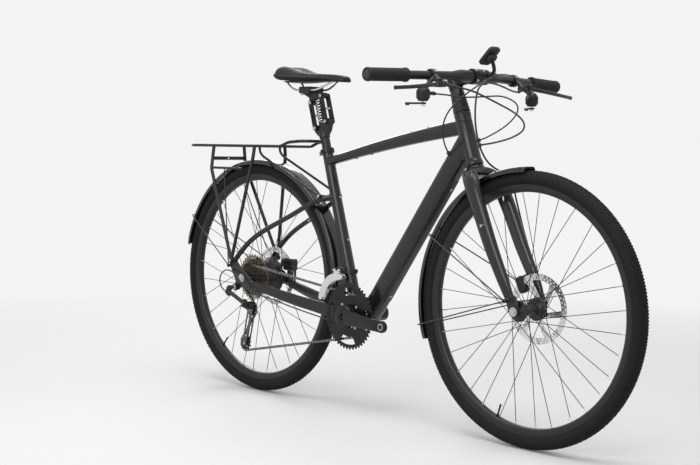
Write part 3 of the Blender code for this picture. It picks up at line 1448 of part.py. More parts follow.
LINK_START = rear(-0.044, -0.0890, -0.045)
LINK_END = rear(0.02, -0.0830, -0.075)
LINK_RUN = (LINK_END - LINK_START).normalized()
LINK_AXIS = LINK_RUN.cross(LEFT).normalized()
CAGE_PIVOT = rear(0.0225, CHAIN_Y, -0.083)
CAGE_OUTER_Y = CHAIN_Y - CAGE_HALF_GAP - CAGE_PLATE / 2
CAGE_INNER_Y = CHAIN_Y + CAGE_HALF_GAP + CAGE_PLATE / 2


def hinge_knuckle(point, half_height, radius, sides=8):
    return rod(point - half_height * LINK_AXIS, point + half_height * LINK_AXIS, radius, sides)


def b_knuckle():
    """Hangs from the frame's hanger and carries the outer link's rear pivot."""
    outer_face = HANGER_HOLE.y - DROPOUT_THICKNESS / 2 - FIT
    pin = cross_rod(
        HANGER_HOLE,
        HANGER_PIN_RADIUS,
        HANGER_HOLE.y + DROPOUT_THICKNESS / 2 + 0.0006,
        outer_face - 0.002,
        8,
    )
    disc = cross_rod(HANGER_HOLE, 0.0105, outer_face, outer_face - 0.0105, 10)
    body = rod(
        HANGER_HOLE + (
            outer_face - 0.0060 - HANGER_HOLE.y
        ) * LEFT, LINK_START - 0.0102 * LINK_RUN + 0.0110 * LINK_AXIS, 0.0058, 6
    )
    ears = [hinge_knuckle(LINK_START + way * 0.0098 * LINK_AXIS, 0.0022, 0.0065) for way in (1, -1)]
    spine = rod(
        LINK_START - 0.0102 * LINK_RUN - 0.0115 * LINK_AXIS,
        LINK_START - 0.0102 * LINK_RUN + 0.0115 * LINK_AXIS,
        0.0046,
        6,
    )
    webs = [
        rod(
            LINK_START + way * 0.0098 * LINK_AXIS,
            LINK_START + way * 0.0098 * LINK_AXIS - 0.0102 * LINK_RUN,
            0.0022,
            6,
        )
        for way in (1, -1)
    ]
    return united(disc, pin, body, spine, *ears, *webs, hinge_knuckle(LINK_START, 0.0105, 0.0021, 6))


def derailleur_link():
    knuckles = [hinge_knuckle(point, 0.0070, 0.0052) for point in (LINK_START, LINK_END)]
    across = LINK_AXIS
    thin = LINK_RUN.cross(LINK_AXIS)
    web = loft(
        [
            section(point, across, thin, 0.0068, 0.0026, 8, 4.0)
            for point in (LINK_START + 0.001 * LINK_RUN, LINK_END - 0.001 * LINK_RUN)
        ]
    )
    holes = [
        drill(p - 0.02 * LINK_AXIS, p + 0.02 * LINK_AXIS, 0.0021 + FIT, 6) for p in (LINK_START, LINK_END)
    ]
    return cut(united(knuckles[0], knuckles[1], web), *holes)


def p_knuckle():
    """Carries the cage on its pin and hangs from the outer link's front pivot."""
    inner_face = CAGE_OUTER_Y - CAGE_PLATE / 2 - FIT
    disc = cross_rod(CAGE_PIVOT, 0.0125, inner_face, -0.0740, 10)
    pin = cross_rod(CAGE_PIVOT, CAGE_PIN_RADIUS, CAGE_OUTER_Y + CAGE_PLATE / 2, inner_face - 0.002, 8)
    spine_place = LINK_END + 0.0102 * LINK_RUN
    spine = rod(spine_place - 0.0115 * LINK_AXIS, spine_place + 0.0115 * LINK_AXIS, 0.0046, 6)
    bridge = rod(spine_place, CAGE_PIVOT + (-0.0705 - CAGE_PIVOT.y) * LEFT, 0.0042, 6)
    ears = [hinge_knuckle(LINK_END + way * 0.0098 * LINK_AXIS, 0.0022, 0.0062) for way in (1, -1)]
    webs = [
        rod(
            LINK_END + way * 0.0098 * LINK_AXIS,
            LINK_END + way * 0.0098 * LINK_AXIS + 0.0102 * LINK_RUN,
            0.0022,
            6,
        )
        for way in (1, -1)
    ]
    return united(disc, pin, spine, bridge, *ears, *webs, hinge_knuckle(LINK_END, 0.0105, 0.0021, 6))


def derailleur_cage(tension_centre):
    """Two plates on either side of the pulleys, joined by the pulleys' axles."""
    around_pulleys = [(GUIDE_PULLEY, 0.0096), (tension_centre, 0.0084)]
    pivot_hole = round_hole(CAGE_PIN_RADIUS + FIT, 8)
    outer = bar_plate([(CAGE_PIVOT, 0.0105), *around_pulleys], CAGE_OUTER_Y, CAGE_PLATE, [pivot_hole])
    inner = bar_plate(around_pulleys, CAGE_INNER_Y, CAGE_PLATE)
    axles = [
        cross_rod(
            centre, PULLEY_AXLE_RADIUS, CAGE_INNER_Y - CAGE_PLATE / 4, CAGE_OUTER_Y + CAGE_PLATE / 4, 8
        )
        for centre in (GUIDE_PULLEY, tension_centre)
    ]
    return united(outer, inner, *axles)


CAGE_HINGE = bottom(-0.068, -0.0385, 0.1235)
GUIDE_INNER_Y = CHAIN_Y + 0.0065
GUIDE_OUTER_Y = CHAIN_Y - 0.0070


def front_derailleur_body():
    """The band round the seat tube with the lug, the body and the cage's hinge pin."""
    tube_radius = seat_tube_radius(DERAILLEUR_BAND - 0.007) + FIT
    inner = flats(tube_radius, 16)
    place = seat(DERAILLEUR_BAND)
    band = turned(
        [(inner, -0.006), (inner + 0.0034, -0.006), (inner + 0.0034, 0.006), (inner, 0.006)],
        place,
        SEAT_UP,
        16,
    )
    lug = rod(place + (inner + 0.0018) * -SEAT_BACK, place + (inner + 0.0110) * -SEAT_BACK, 0.0050, 8)
    body = block((0.040, 0.0145, 0.013), CAGE_HINGE + Vector((0.0, 0.0130, 0.0)))
    ears = [
        block((0.0045, 0.0130, 0.0105), CAGE_HINGE + Vector((way * 0.01775, 0.0020, 0))) for way in (1, -1)
    ]
    pin = rod(CAGE_HINGE - 0.019 * FORWARD, CAGE_HINGE + 0.019 * FORWARD, 0.0022, 8)
    clear = drill(seat(0.02), seat(0.30), tube_radius, 16)
    return united(cut(united(band, body), clear), lug, pin, *ears)


def front_derailleur_cage():
    """Two plates on either side of the chain's upper run, joined at the front and at the tail."""
    outline = [bottom(x, 0, z) for x, z in (
        (-0.032, 0.103), (-0.039, 0.114), (-0.064, 0.1155), (-0.09, 0.106), (-0.11, 0.087), (-0.123, 0.063),
        (-0.128, 0.041), (-0.119, 0.036), (-0.106, 0.051), (-0.088, 0.077), (-0.066, 0.093),
    )]
    origin = bottom(-0.074, 0, 0.081)
    flat = [(point.x - origin.x, point.z - origin.z) for point in outline]
    plates = [side_plate([flat], 0.0014, origin + y * LEFT) for y in (GUIDE_INNER_Y, GUIDE_OUTER_Y)]
    bridges = [
        block((0.012, GUIDE_INNER_Y - GUIDE_OUTER_Y, 0.0030), bottom(-0.041, CHAIN_Y, 0.111)),
        block((0.006, GUIDE_INNER_Y - GUIDE_OUTER_Y, 0.0040), bottom(-0.123, CHAIN_Y, 0.0405)),
    ]
    knuckle = rod(CAGE_HINGE - 0.0150 * FORWARD, CAGE_HINGE + 0.0150 * FORWARD, 0.0045, 10)
    web = block((0.026, 0.0024, 0.017), Vector((CAGE_HINGE.x, GUIDE_INNER_Y, CAGE_HINGE.z - 0.0095)))
    hole = drill(CAGE_HINGE - 0.03 * FORWARD, CAGE_HINGE + 0.03 * FORWARD, 0.0022 + FIT, 8)
    return cut(united(plates[0], plates[1], web, knuckle, *bridges), hole)


# Mudguards and rack


def wheel_point(axle, radius, angle, y=0.0):
    return axle + radius * turned_by(FORWARD, angle) + y * LEFT


def mudguard(axle, start, end, bolts):
    """A mudguard over the angles from start to end, with the bolts that carry it."""
    half = MUDGUARD_WIDTH / 2
    wall = MUDGUARD_WALL
    inner = MUDGUARD_RADIUS
    side = [
        (inner - MUDGUARD_SKIRT, half), (inner - 0.0040, half), (inner + wall, half - 0.0075),
    ]
    inside = [
        (inner, half - 0.0075 - wall * 0.4), (inner - 0.0045, half - wall),
        (inner - MUDGUARD_SKIRT, half - wall),
    ]
    profile = side + [(r, -y) for r, y in reversed(side)]
    profile += [(r, -y) for r, y in reversed(inside)] + inside
    steps = max(1, round((end - start) / MUDGUARD_STEP))
    rings = []
    for k in range(steps + 1):
        angle = start + (end - start) * k / steps
        rings.append([wheel_point(axle, r, angle, y) for r, y in profile])
    shell = loft(rings)
    studs = []
    for target, standoff in bolts:
        away = (target - axle).normalized()
        reach = (target - axle).length - standoff - FIT
        studs.append(
            rod(
                axle + (inner * math.cos(MUDGUARD_STEP / 2) + wall / 2) * away,
                axle + reach * away,
                0.0045,
                6,
            )
        )
    return united(shell, *studs)


def stay_pair(axle, eyelet, clip_angles):
    """Wire stays from the two eyelets over the mudguard's back at each clip."""
    over = MUDGUARD_OUTER + FIT + STAY_RADIUS
    beside = MUDGUARD_WIDTH / 2 + STAY_RADIUS + 0.0020
    start = eyelet + (FIT + 0.0026) * LEFT
    shapes = []
    for angle in clip_angles:
        corners = [wheel_point(axle, over, angle, beside), wheel_point(axle, over, angle, -beside)]
        shapes.append(tube([start, *corners, mirrored(start)], STAY_RADIUS, 6))
        across = turned_by(FORWARD, angle)
        clip = axle + (MUDGUARD_OUTER + FIT + 0.0024) * across
        shapes.append(
            block((0.0048, MUDGUARD_WIDTH * 0.5, 0.013), clip, aligned(across, turned_by(UP, angle)))
        )
    eyes = both_sides(lambda point: rod(point - 0.0026 * LEFT, point + 0.0026 * LEFT, 0.0055, 6), start)
    return united(shapes[0], *shapes[1:], *eyes)


def rear_rack():
    side = [rear(x, y, z) for x, y, z in (
        (0.255, 0.03, 0.417), (0.236, 0.052, 0.417), (0.185, 0.06, 0.413), (0.158, 0.06, 0.401),
        (-0.272, 0.06, 0.401), (-0.296, 0.042, 0.401),
    )]
    loop = side + [mirrored(point) for point in reversed(side)]
    shapes = [tube([*loop, loop[0], loop[1].lerp(loop[0], 0.9)][:-1], RACK_TUBE_RADIUS, 6)]
    for y in (0.022, -0.022):
        shapes.append(rod(rear(-0.296, y, RACK_HEIGHT), rear(0.160, y, RACK_HEIGHT), 0.0038, 6))
    for x in (0.160, 0.035, -0.060, -0.163):
        shapes.append(
            rod(rear(x, -RACK_HALF_WIDTH, RACK_HEIGHT), rear(x, RACK_HALF_WIDTH, RACK_HEIGHT), 0.0040, 6)
        )
    foot = RACK_EYELET + (FIT + 0.0065) * LEFT
    legs = (
        [rear(-0.163, 0.060, 0.401), rear(-0.164, 0.066, 0.349), rear(-0.162, 0.070, 0.329), foot],
        [rear(0.035, 0.060, 0.401), rear(0.034, 0.064, 0.369), foot],
        [
            rear(0.035, 0.040, 0.401),
            rear(0.036, 0.040, 0.384),
            rear(0.05, 0.0405, 0.371),
            STRUT_EYELET + (FIT + 0.0045) * LEFT,
        ],
    )
    for path in legs:
        thick = RACK_LEG_RADIUS if path[-1] == foot else 0.0040
        shapes += both_sides(lambda *points: tube(points, thick, 6), *path)
    shapes += both_sides(
        lambda a, b: rod(a, b, 0.0040, 6), rear(-0.162, 0.070, 0.332), rear(-0.01, 0.0705, 0.332)
    )
    shapes += both_sides(lambda p: rod(p - 0.0065 * LEFT, p + 0.0065 * LEFT, 0.0085, 8), foot)
    shapes += both_sides(
        lambda p: rod(p - 0.0045 * LEFT, p + 0.0045 * LEFT, 0.0065, 8), STRUT_EYELET + (FIT + 0.0045) * LEFT
    )
    light_plate = cut(
        block((0.003, 0.134, 0.011), rear(-0.166, 0, 0.361)),
        rod(rear(-0.18, 0, 0.361), rear(-0.15, 0, 0.361), 0.0030, 6),
    )
    shapes.append(light_plate)
    return united(shapes[0], *shapes[1:])


# Seat post linkage and saddle

UPPER_FRONT_PIVOT = LOWER_FRONT_PIVOT + LINK_VECTOR
UPPER_REAR_PIVOT = LOWER_REAR_PIVOT + LINK_VECTOR
SPRING_FOOT = top(-0.0224, 0, 0.0751)
SPRING_HEAD = top(-0.0389, 0, 0.1441)
RAIL_CLAMP = top(-0.0724, 0, 0.1721)


def outlined(points, thickness):
    """A plate on the middle plane with this outline of points."""
    origin = points[0]
    return side_plate([[(p.x - origin.x, p.z - origin.z) for p in points]], thickness, origin)


def seatpost():
    """The post with the body that carries the links' lower pivots and the spring's seat."""
    foot = SEAT_TOP - 0.195 * SEAT_UP
    neck = SEAT_TOP + 0.046 * SEAT_UP
    shapes = [rod(neck - 0.012 * SEAT_UP, neck + 0.003 * SEAT_UP, SEATPOST_RADIUS + 0.0025, 14)]
    outline = [top(x, 0, z) for x, z in (
        (-0.0284, 0.0371), (-0.0024, 0.0371), (0.0096, 0.0531), (0.0161, 0.0751), (0.0146, 0.0871),
        (0.0066, 0.0911),
        (-0.0009, 0.0871), (-0.0074, 0.0741), (-0.0124, 0.0721), (-0.0314, 0.0696), (-0.0384, 0.0706),
        (-0.0459, 0.0671),
        (-0.0474, 0.0571), (-0.0424, 0.0481),
    )]
    shapes.append(outlined(outline, 2 * LUG_HALF_WIDTH))
    for pivot in (LOWER_FRONT_PIVOT, LOWER_REAR_PIVOT):
        shapes.append(
            cross_rod(pivot, PIVOT_RADIUS, -LINK_HALF_WIDTH - 0.0012, LINK_HALF_WIDTH + 0.0012, 8)
        )
    return united(rod(foot, neck, SEATPOST_RADIUS, 14), *shapes)


def link(lower, upper, bridge_offset):
    """A pair of side plates on a lower and an upper pivot, joined by a cross bar."""
    gap = LUG_HALF_WIDTH + RUNNING
    thick = LINK_HALF_WIDTH - gap
    offset = upper - lower
    holes = [round_hole(PIVOT_RADIUS + FIT, 8, place) for place in ((0, 0), (offset.x, offset.z))]
    ends = [(lower, 0.0078), (upper, 0.0078)]
    plates = [bar_plate(ends, side * (gap + thick / 2), thick, holes) for side in (1, -1)]
    middle = lower.lerp(upper, 0.5) + bridge_offset * FORWARD
    bridge = cross_rod(middle, 0.0034, -LINK_HALF_WIDTH + 0.001, LINK_HALF_WIDTH - 0.001, 6)
    return united(plates[0], plates[1], bridge)


def suspension_head():
    """The head on the links' upper pivots, with the clamp round the saddle's rails."""
    outline = [top(x, 0, z) for x, z in (
        (-0.0594, 0.1271), (-0.0524, 0.1291), (-0.0494, 0.1466), (-0.0284, 0.1466), (-0.0234, 0.1501),
        (-0.0184, 0.1471),
        (-0.0114, 0.1481), (-0.0074, 0.1551), (-0.0114, 0.1631), (-0.0424, 0.1671), (-0.0964, 0.1671),
        (-0.0934, 0.1591),
        (-0.0724, 0.1501), (-0.0674, 0.1351),
    )]
    shapes = [outlined(outline, 2 * LUG_HALF_WIDTH)]
    for pivot in (UPPER_FRONT_PIVOT, UPPER_REAR_PIVOT):
        shapes.append(
            cross_rod(pivot, PIVOT_RADIUS, -LINK_HALF_WIDTH - 0.0012, LINK_HALF_WIDTH + 0.0012, 8)
        )
    cradle = block((0.046, 0.060, 0.020), RAIL_CLAMP)
    bolt = top(-0.0884, -0.0145, 0.1631)
    shapes.append(rod(bolt, bolt + Vector((0, -0.010, 0)), 0.0062, 10))
    rails = [
        drill(
            RAIL_CLAMP + side * RAIL_HALF_GAP * LEFT - 0.05 * FORWARD,
            RAIL_CLAMP + side * RAIL_HALF_GAP * LEFT + 0.05 * FORWARD,
            RAIL_RADIUS + FIT,
            8,
        )
        for side in (1, -1)
    ]
    return cut(united(cradle, *shapes), *rails)


def coil_spring():
    along = SPRING_HEAD - SPRING_FOOT
    up = along.normalized()
    fore = LEFT.cross(up).normalized()
    clear = SPRING_WIRE_RADIUS + RUNNING
    steps = 6
    points = []
    for k in range(SPRING_TURNS * steps + 1):
        share = k / (SPRING_TURNS * steps)
        rise = clear + (along.length - 2 * clear) * share
        angle = math.tau * k / steps
        points.append(
            SPRING_FOOT + rise * up + SPRING_RADIUS * (math.cos(angle) * fore + math.sin(angle) * LEFT)
        )
    return tube(points, SPRING_WIRE_RADIUS, 4)


def saddle():
    """The padded top, wide at the tail and narrow at the nose, over a flat underside."""
    rings = []
    for x, half, crown, edge in (
        (-0.1804, 0.052, 0.2361, 0.2171), (-0.1674, 0.068, 0.2431, 0.2211),
        (-0.1324, 0.0725, 0.2381, 0.2171), (-0.0924, 0.066, 0.2261, 0.2131),
        (-0.0524, 0.047, 0.2191, 0.2101), (-0.0024, 0.03, 0.2161, 0.2081), (0.0476, 0.023, 0.2111, 0.2051),
        (0.0826, 0.018, 0.2041, 0.2011),
    ):
        low = SADDLE_UNDERSIDE
        ring = []
        for y, z in (
            (half * 0.80, low), (half, low + (edge - low) * 0.5), (half * 0.94, edge), (half * 0.60, crown),
            (half * 0.25, crown - 0.003),
        ):
            ring.append(top(x, y, z))
        rings.append(ring + [mirrored(point) for point in reversed(ring)])
    return loft(rings)


def saddle_base():
    """The shell under the padding with the two rails."""
    upper = SADDLE_UNDERSIDE - FIT
    rings = []
    for x, half in (
        (-0.1744, 0.038), (-0.1424, 0.052), (-0.0924, 0.046), (-0.0424, 0.028), (0.0476, 0.014)
    ):
        rings.append(
            [
                top(x, half, upper), top(x, half, upper - 0.004), top(x, -half, upper - 0.004),
                top(x, -half, upper),
            ]
        )
    shell = loft(rings)
    rail = [
        top(-0.1464, 0.028, 0.1946),
        top(-0.1344, 0.026, 0.1821),
        top(-0.1164, RAIL_HALF_GAP, 0.1721),
        top(-0.0244, RAIL_HALF_GAP, 0.1721),
        top(0.0076, 0.016, 0.1841),
        top(0.0296, 0.0085, 0.1946),
    ]
    return united(shell, *both_sides(lambda *points: tube(points, RAIL_RADIUS, 6), *rail))


def rear_caliper():
    centre = REAR_AXLE + Vector((0.0675, REAR_ROTOR_Y + 0.0046, 0.039))
    foot_bottom = CALIPER_PAD.z + CALIPER_PAD_HEIGHT + FIT
    foot_top = centre.z - 0.010
    foot = block(
        (0.034, 0.0085, foot_top - foot_bottom),
        Vector((CALIPER_PAD.x, CALIPER_PAD.y + 0.0005, (foot_top + foot_bottom) / 2)),
    )
    return caliper(centre, (0.048, 0.0248, 0.036), Matrix.Identity(4), REAR_AXLE, REAR_ROTOR_Y, foot)


def front_caliper():
    shape = caliper(
        FRONT_CALIPER,
        (0.044, 0.0255, CALIPER_THICKNESS),
        aligned(LEG_DOWN, LEG_FORE),
        FRONT_AXLE,
        FRONT_ROTOR_Y,
    )
    return cut(shape, socket(FRONT_HOSE[::-1], HOSE_RADIUS))


def add_rear(root):
    wheel = joint_empty("rear_wheel_axis", REAR_AXLE, root)
    part("rear_tyre", tyre(REAR_AXLE), RUBBER, wheel)
    part("rear_rim", rim(REAR_AXLE, math.radians(-128)), SATIN_BLACK, wheel)
    part("motor_hub", motor_hub(REAR_AXLE), ANODISED, wheel)
    part("rear_rotor", rotor(REAR_AXLE, REAR_ROTOR_Y), POLISHED, wheel)
    part("rear_axle", through_axle(REAR_AXLE, DROPOUT_Y + DROPOUT_THICKNESS / 2 + 0.0031), ANODISED, root)
    part("rear_caliper", rear_caliper(), ANODISED, root)
    part("rear_rack", rear_rack(), SATIN_BLACK, root)
    bolts = [(SEAT_STAY_BRIDGE, BRIDGE_RADIUS), (CHAIN_STAY_BRIDGE, BRIDGE_RADIUS)]
    part("rear_mudguard", mudguard(REAR_AXLE, math.radians(-16), REAR_TAIL_ANGLE, bolts), GLOSS_BLACK, root)
    part(
        "rear_mudguard_stays",
        stay_pair(REAR_AXLE, MUDGUARD_EYELET, (math.radians(114.6), math.radians(150.8))),
        ANODISED,
        root,
    )


def add_front(root):
    steering = joint_empty("steering_axis", CROWN_RACE, root)
    part("fork", fork_solid(), FRAME_PAINT, steering)
    part("stem", stem_solid(), SATIN_BLACK, steering)
    part("handlebar", handlebar_solid(), SATIN_BLACK, steering)
    for name, side in (("left", 1), ("right", -1)):
        part("grip_" + name, grip(side), RUBBER, steering)
        part("controls_" + name, controls(side), SATIN_BLACK, steering)
        lever = joint_empty("brake_lever_pivot_" + name, sided(LEVER_PIVOT, side), steering)
        part("brake_lever_" + name, brake_lever(side), ANODISED, lever)
        thumb = joint_empty("shift_lever_pivot_" + name, sided(POD, side), steering)
        part("shift_lever_" + name, shift_lever(side), SATIN_BLACK, thumb)
    part("display_mount", display_mount(), SATIN_BLACK, steering)
    part("display", display(), GLOSS_BLACK, joint_empty("display_twist", DISPLAY_CENTRE, steering))
    crown_bottom = steer(-CROWN_DEPTH, 0, 0)
    part(
        "front_mudguard",
        mudguard(FRONT_AXLE, math.radians(91), math.radians(198), [(crown_bottom, 0.0004)]),
        SATIN_BLACK,
        steering,
    )
    part(
        "front_mudguard_stays",
        stay_pair(FRONT_AXLE, FORK_EYELET, (math.radians(151.6), math.radians(191.6))),
        ANODISED,
        steering,
    )
    part("front_caliper", front_caliper(), ANODISED, steering)
    part(
        "front_axle",
        through_axle(FRONT_AXLE, FORK_TIP_Y + FORK_TIP_THICKNESS / 2 + 0.0031),
        ANODISED,
        steering,
    )
    part("front_brake_hose", tube(FRONT_HOSE, HOSE_RADIUS, 6), SATIN_BLACK, steering)
    part("rear_brake_hose", tube(REAR_HOSE, HOSE_RADIUS, 6), SATIN_BLACK, root)
    part("rear_gear_cable", tube(REAR_GEAR_CABLE, CABLE_RADIUS, 6), SATIN_BLACK, root)
    part("front_gear_cable", tube(FRONT_GEAR_CABLE, CABLE_RADIUS, 6), SATIN_BLACK, root)
    wheel = joint_empty("front_wheel_axis", FRONT_AXLE, steering)
    part("front_tyre", tyre(FRONT_AXLE), RUBBER, wheel)
    part("front_rim", rim(FRONT_AXLE, math.radians(-108)), SATIN_BLACK, wheel)
    part("front_hub", front_hub(FRONT_AXLE), ANODISED, wheel)
    part("front_rotor", rotor(FRONT_AXLE, FRONT_ROTOR_Y), POLISHED, wheel)


def add_drivetrain(root):
    cage_angle = taut_cage_angle()
    stretches = pitch_line(chain_wheels(cage_angle))
    phases = tooth_phases(stretches)
    tension = GUIDE_PULLEY + CAGE_LENGTH * direction(cage_angle)
    ring_phase, tension_phase, guide_phase, sprocket_phase = phases
    crank = joint_empty("crank_axis", BOTTOM_BRACKET, root)
    part("crank_right", crank_right(), ANODISED, crank)
    part("crank_left", crank_left(), ANODISED, crank)
    part("chainring_small", chainring(SMALL_RING_TEETH, CHAIN_Y, ring_phase), STEEL, crank)
    part("chainring_large", chainring(LARGE_RING_TEETH, LARGE_RING_Y, 0.0), ANODISED, crank)
    part("cassette", cassette(sprocket_phase), CHAIN_STEEL, joint_empty("freewheel_axis", REAR_AXLE, root))
    part("chain", chain(stretches, phases), CHAIN_STEEL, root)
    hanger = joint_empty("hanger_axis", HANGER_HOLE, root)
    part("derailleur_b_knuckle", b_knuckle(), SATIN_BLACK, hanger)
    swing = joint_empty("derailleur_link_axis", LINK_START, hanger)
    part("derailleur_link", derailleur_link(), SATIN_BLACK, swing)
    head = joint_empty("derailleur_knuckle_axis", LINK_END, swing)
    part("derailleur_p_knuckle", p_knuckle(), SATIN_BLACK, head)
    cage = joint_empty("cage_axis", CAGE_PIVOT, head)
    part("derailleur_cage", derailleur_cage(tension), SATIN_BLACK, cage)
    part(
        "guide_pulley",
        pulley(GUIDE_PULLEY, guide_phase),
        SATIN_BLACK,
        joint_empty("guide_pulley_axis", GUIDE_PULLEY, cage),
    )
    part(
        "tension_pulley",
        pulley(tension, tension_phase),
        SATIN_BLACK,
        joint_empty("tension_pulley_axis", tension, cage),
    )
    part("front_derailleur_body", front_derailleur_body(), SATIN_BLACK, root)
    part(
        "front_derailleur_cage",
        front_derailleur_cage(),
        POLISHED,
        joint_empty("front_cage_axis", CAGE_HINGE, root),
    )
    part("derailleur_cable", tube(DERAILLEUR_CABLE, CABLE_RADIUS, 6), SATIN_BLACK, root)


def add_seat(root):
    height = joint_empty("seatpost_slide", SEAT_TOP, root)
    part("seatpost", seatpost(), SATIN_BLACK, height)
    front_pivot = joint_empty("front_link_pivot", LOWER_FRONT_PIVOT, height)
    rear_pivot = joint_empty("rear_link_pivot", LOWER_REAR_PIVOT, height)
    part("suspension_front_link", link(LOWER_FRONT_PIVOT, UPPER_FRONT_PIVOT, 0.0030), ANODISED, front_pivot)
    part("suspension_rear_link", link(LOWER_REAR_PIVOT, UPPER_REAR_PIVOT, -0.0030), ANODISED, rear_pivot)
    head = joint_empty("head_pivot", UPPER_FRONT_PIVOT, front_pivot)
    part("suspension_head", suspension_head(), SATIN_BLACK, head)
    part("coil_spring", coil_spring(), SATIN_BLACK, height)
    part("saddle_base", saddle_base(), SATIN_BLACK, head)
    part("saddle", saddle(), GLOSS_BLACK, head)


def main():
    for obj in list(bpy.data.objects):
        bpy.data.objects.remove(obj)
    bpy.context.scene.collection.children.link(PARTS)
    bpy.context.scene.collection.children.link(BENCH)
    root = joint_empty("bicycle", Vector())
    add_frame(root)
    add_rear(root)
    add_front(root)
    add_drivetrain(root)
    add_seat(root)


main()
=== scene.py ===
"""The looks of an electric gravel bike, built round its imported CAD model."""

import json
import math

import bmesh
import bpy
from mathutils import Matrix, Vector
from mathutils.geometry import convex_hull_2d
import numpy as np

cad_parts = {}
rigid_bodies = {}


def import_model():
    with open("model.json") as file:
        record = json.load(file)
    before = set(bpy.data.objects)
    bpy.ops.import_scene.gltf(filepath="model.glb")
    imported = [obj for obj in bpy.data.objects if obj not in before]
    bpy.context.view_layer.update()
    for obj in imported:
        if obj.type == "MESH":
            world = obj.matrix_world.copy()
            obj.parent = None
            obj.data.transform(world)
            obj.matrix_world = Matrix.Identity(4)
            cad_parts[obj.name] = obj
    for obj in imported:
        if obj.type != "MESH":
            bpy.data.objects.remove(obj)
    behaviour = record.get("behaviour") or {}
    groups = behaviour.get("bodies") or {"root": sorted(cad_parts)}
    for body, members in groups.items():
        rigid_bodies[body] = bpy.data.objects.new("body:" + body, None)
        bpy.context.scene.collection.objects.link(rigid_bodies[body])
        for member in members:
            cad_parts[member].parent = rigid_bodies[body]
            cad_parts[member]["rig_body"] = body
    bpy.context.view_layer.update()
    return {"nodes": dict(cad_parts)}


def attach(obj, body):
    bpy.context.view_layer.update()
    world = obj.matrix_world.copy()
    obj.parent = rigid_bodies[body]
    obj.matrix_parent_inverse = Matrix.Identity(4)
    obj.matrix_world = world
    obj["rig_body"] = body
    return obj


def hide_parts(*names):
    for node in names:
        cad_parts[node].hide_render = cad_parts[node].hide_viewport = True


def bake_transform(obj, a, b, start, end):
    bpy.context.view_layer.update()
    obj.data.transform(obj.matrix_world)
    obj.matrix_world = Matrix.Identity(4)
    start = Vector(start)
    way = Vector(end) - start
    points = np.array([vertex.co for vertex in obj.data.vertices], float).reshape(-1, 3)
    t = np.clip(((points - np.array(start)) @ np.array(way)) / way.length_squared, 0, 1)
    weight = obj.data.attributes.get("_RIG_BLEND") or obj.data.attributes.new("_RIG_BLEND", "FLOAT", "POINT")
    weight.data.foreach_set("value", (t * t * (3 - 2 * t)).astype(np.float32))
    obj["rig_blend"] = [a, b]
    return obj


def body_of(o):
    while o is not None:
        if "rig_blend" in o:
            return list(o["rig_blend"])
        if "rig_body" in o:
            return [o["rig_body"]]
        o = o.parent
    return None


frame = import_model()
NODES = frame["nodes"]

FORWARD = Vector((1, 0, 0))
LEFT = Vector((0, 1, 0))
UP = Vector((0, 0, 1))

# Places and sizes, as in the CAD model
REAR_AXLE = Vector((-0.522, 0, 0.351))
FRONT_AXLE = Vector((0.522, 0, 0.351))
BOTTOM_BRACKET = Vector((-0.07, 0, 0.279))
HEAD_ANGLE = math.radians(71.0)
SEAT_ANGLE = math.radians(73.5)
STEER_UP = Vector((-math.cos(HEAD_ANGLE), 0, math.sin(HEAD_ANGLE)))
STEER_FORE = Vector((math.sin(HEAD_ANGLE), 0, math.cos(HEAD_ANGLE)))
CROWN_RACE = FRONT_AXLE - 0.06 * STEER_FORE + 0.3972 * STEER_UP
SEAT_UP = Vector((-math.cos(SEAT_ANGLE), 0, math.sin(SEAT_ANGLE)))
SEAT_BACK = Vector((-math.sin(SEAT_ANGLE), 0, -math.cos(SEAT_ANGLE)))
SEAT_FOOT = BOTTOM_BRACKET + 0.0207 * SEAT_BACK
SEAT_TUBE_LENGTH = 0.492
SEAT_TOP = SEAT_FOOT + SEAT_TUBE_LENGTH * SEAT_UP
BAR_CENTRE = FRONT_AXLE + Vector((-0.187, 0, 0.587))
BAR_HALF = 0.37
BAR_BEND = 0.06
CHAIN_PITCH = 0.0127
CHAIN_Y = -0.0473
CRANK_HEADING = math.radians(-3.0)
CRANK_LENGTH = 0.17


def rear(x, y, z):
    return REAR_AXLE + Vector((x, y, z))


def front(x, y, z):
    return FRONT_AXLE + Vector((x, y, z))


def bottom(x, y, z):
    return BOTTOM_BRACKET + Vector((x, y, z))


def top(x, y, z):
    return SEAT_TOP + Vector((x, y, z))


def steer(along, fore, y):
    return CROWN_RACE + along * STEER_UP + fore * STEER_FORE + y * LEFT


def seat(along, fore=0.0, y=0.0):
    return SEAT_FOOT + along * SEAT_UP - fore * SEAT_BACK + y * LEFT


def sided(point, side):
    """The point itself on the left, side 1, and its mirror image on the right, side -1."""
    return Vector((point.x, side * point.y, point.z))


def hand(side):
    return "left" if side > 0 else "right"


def turned_by(vector, angle):
    """The vector turned in the side view, from forward towards up."""
    return Matrix.Rotation(-angle, 3, "Y") @ vector


def heading(angle):
    """The direction at an angle above forward."""
    return Vector((math.cos(angle), 0, math.sin(angle)))


def leftward(angle):
    """The direction a quarter turn further, upwards for an angle of 0."""
    return Vector((-math.sin(angle), 0, math.cos(angle)))


def onto(centre, axis):
    """Turns the Z axis onto axis and moves the origin to centre."""
    return Matrix.Translation(centre) @ UP.rotation_difference(Vector(axis)).to_matrix().to_4x4()


def in_side_view(centre):
    """Lays a flat outline in the side view, its X forward and its Y up."""
    return Matrix.Translation(centre) @ Matrix.Rotation(math.pi / 2, 4, "X")


# Shapes


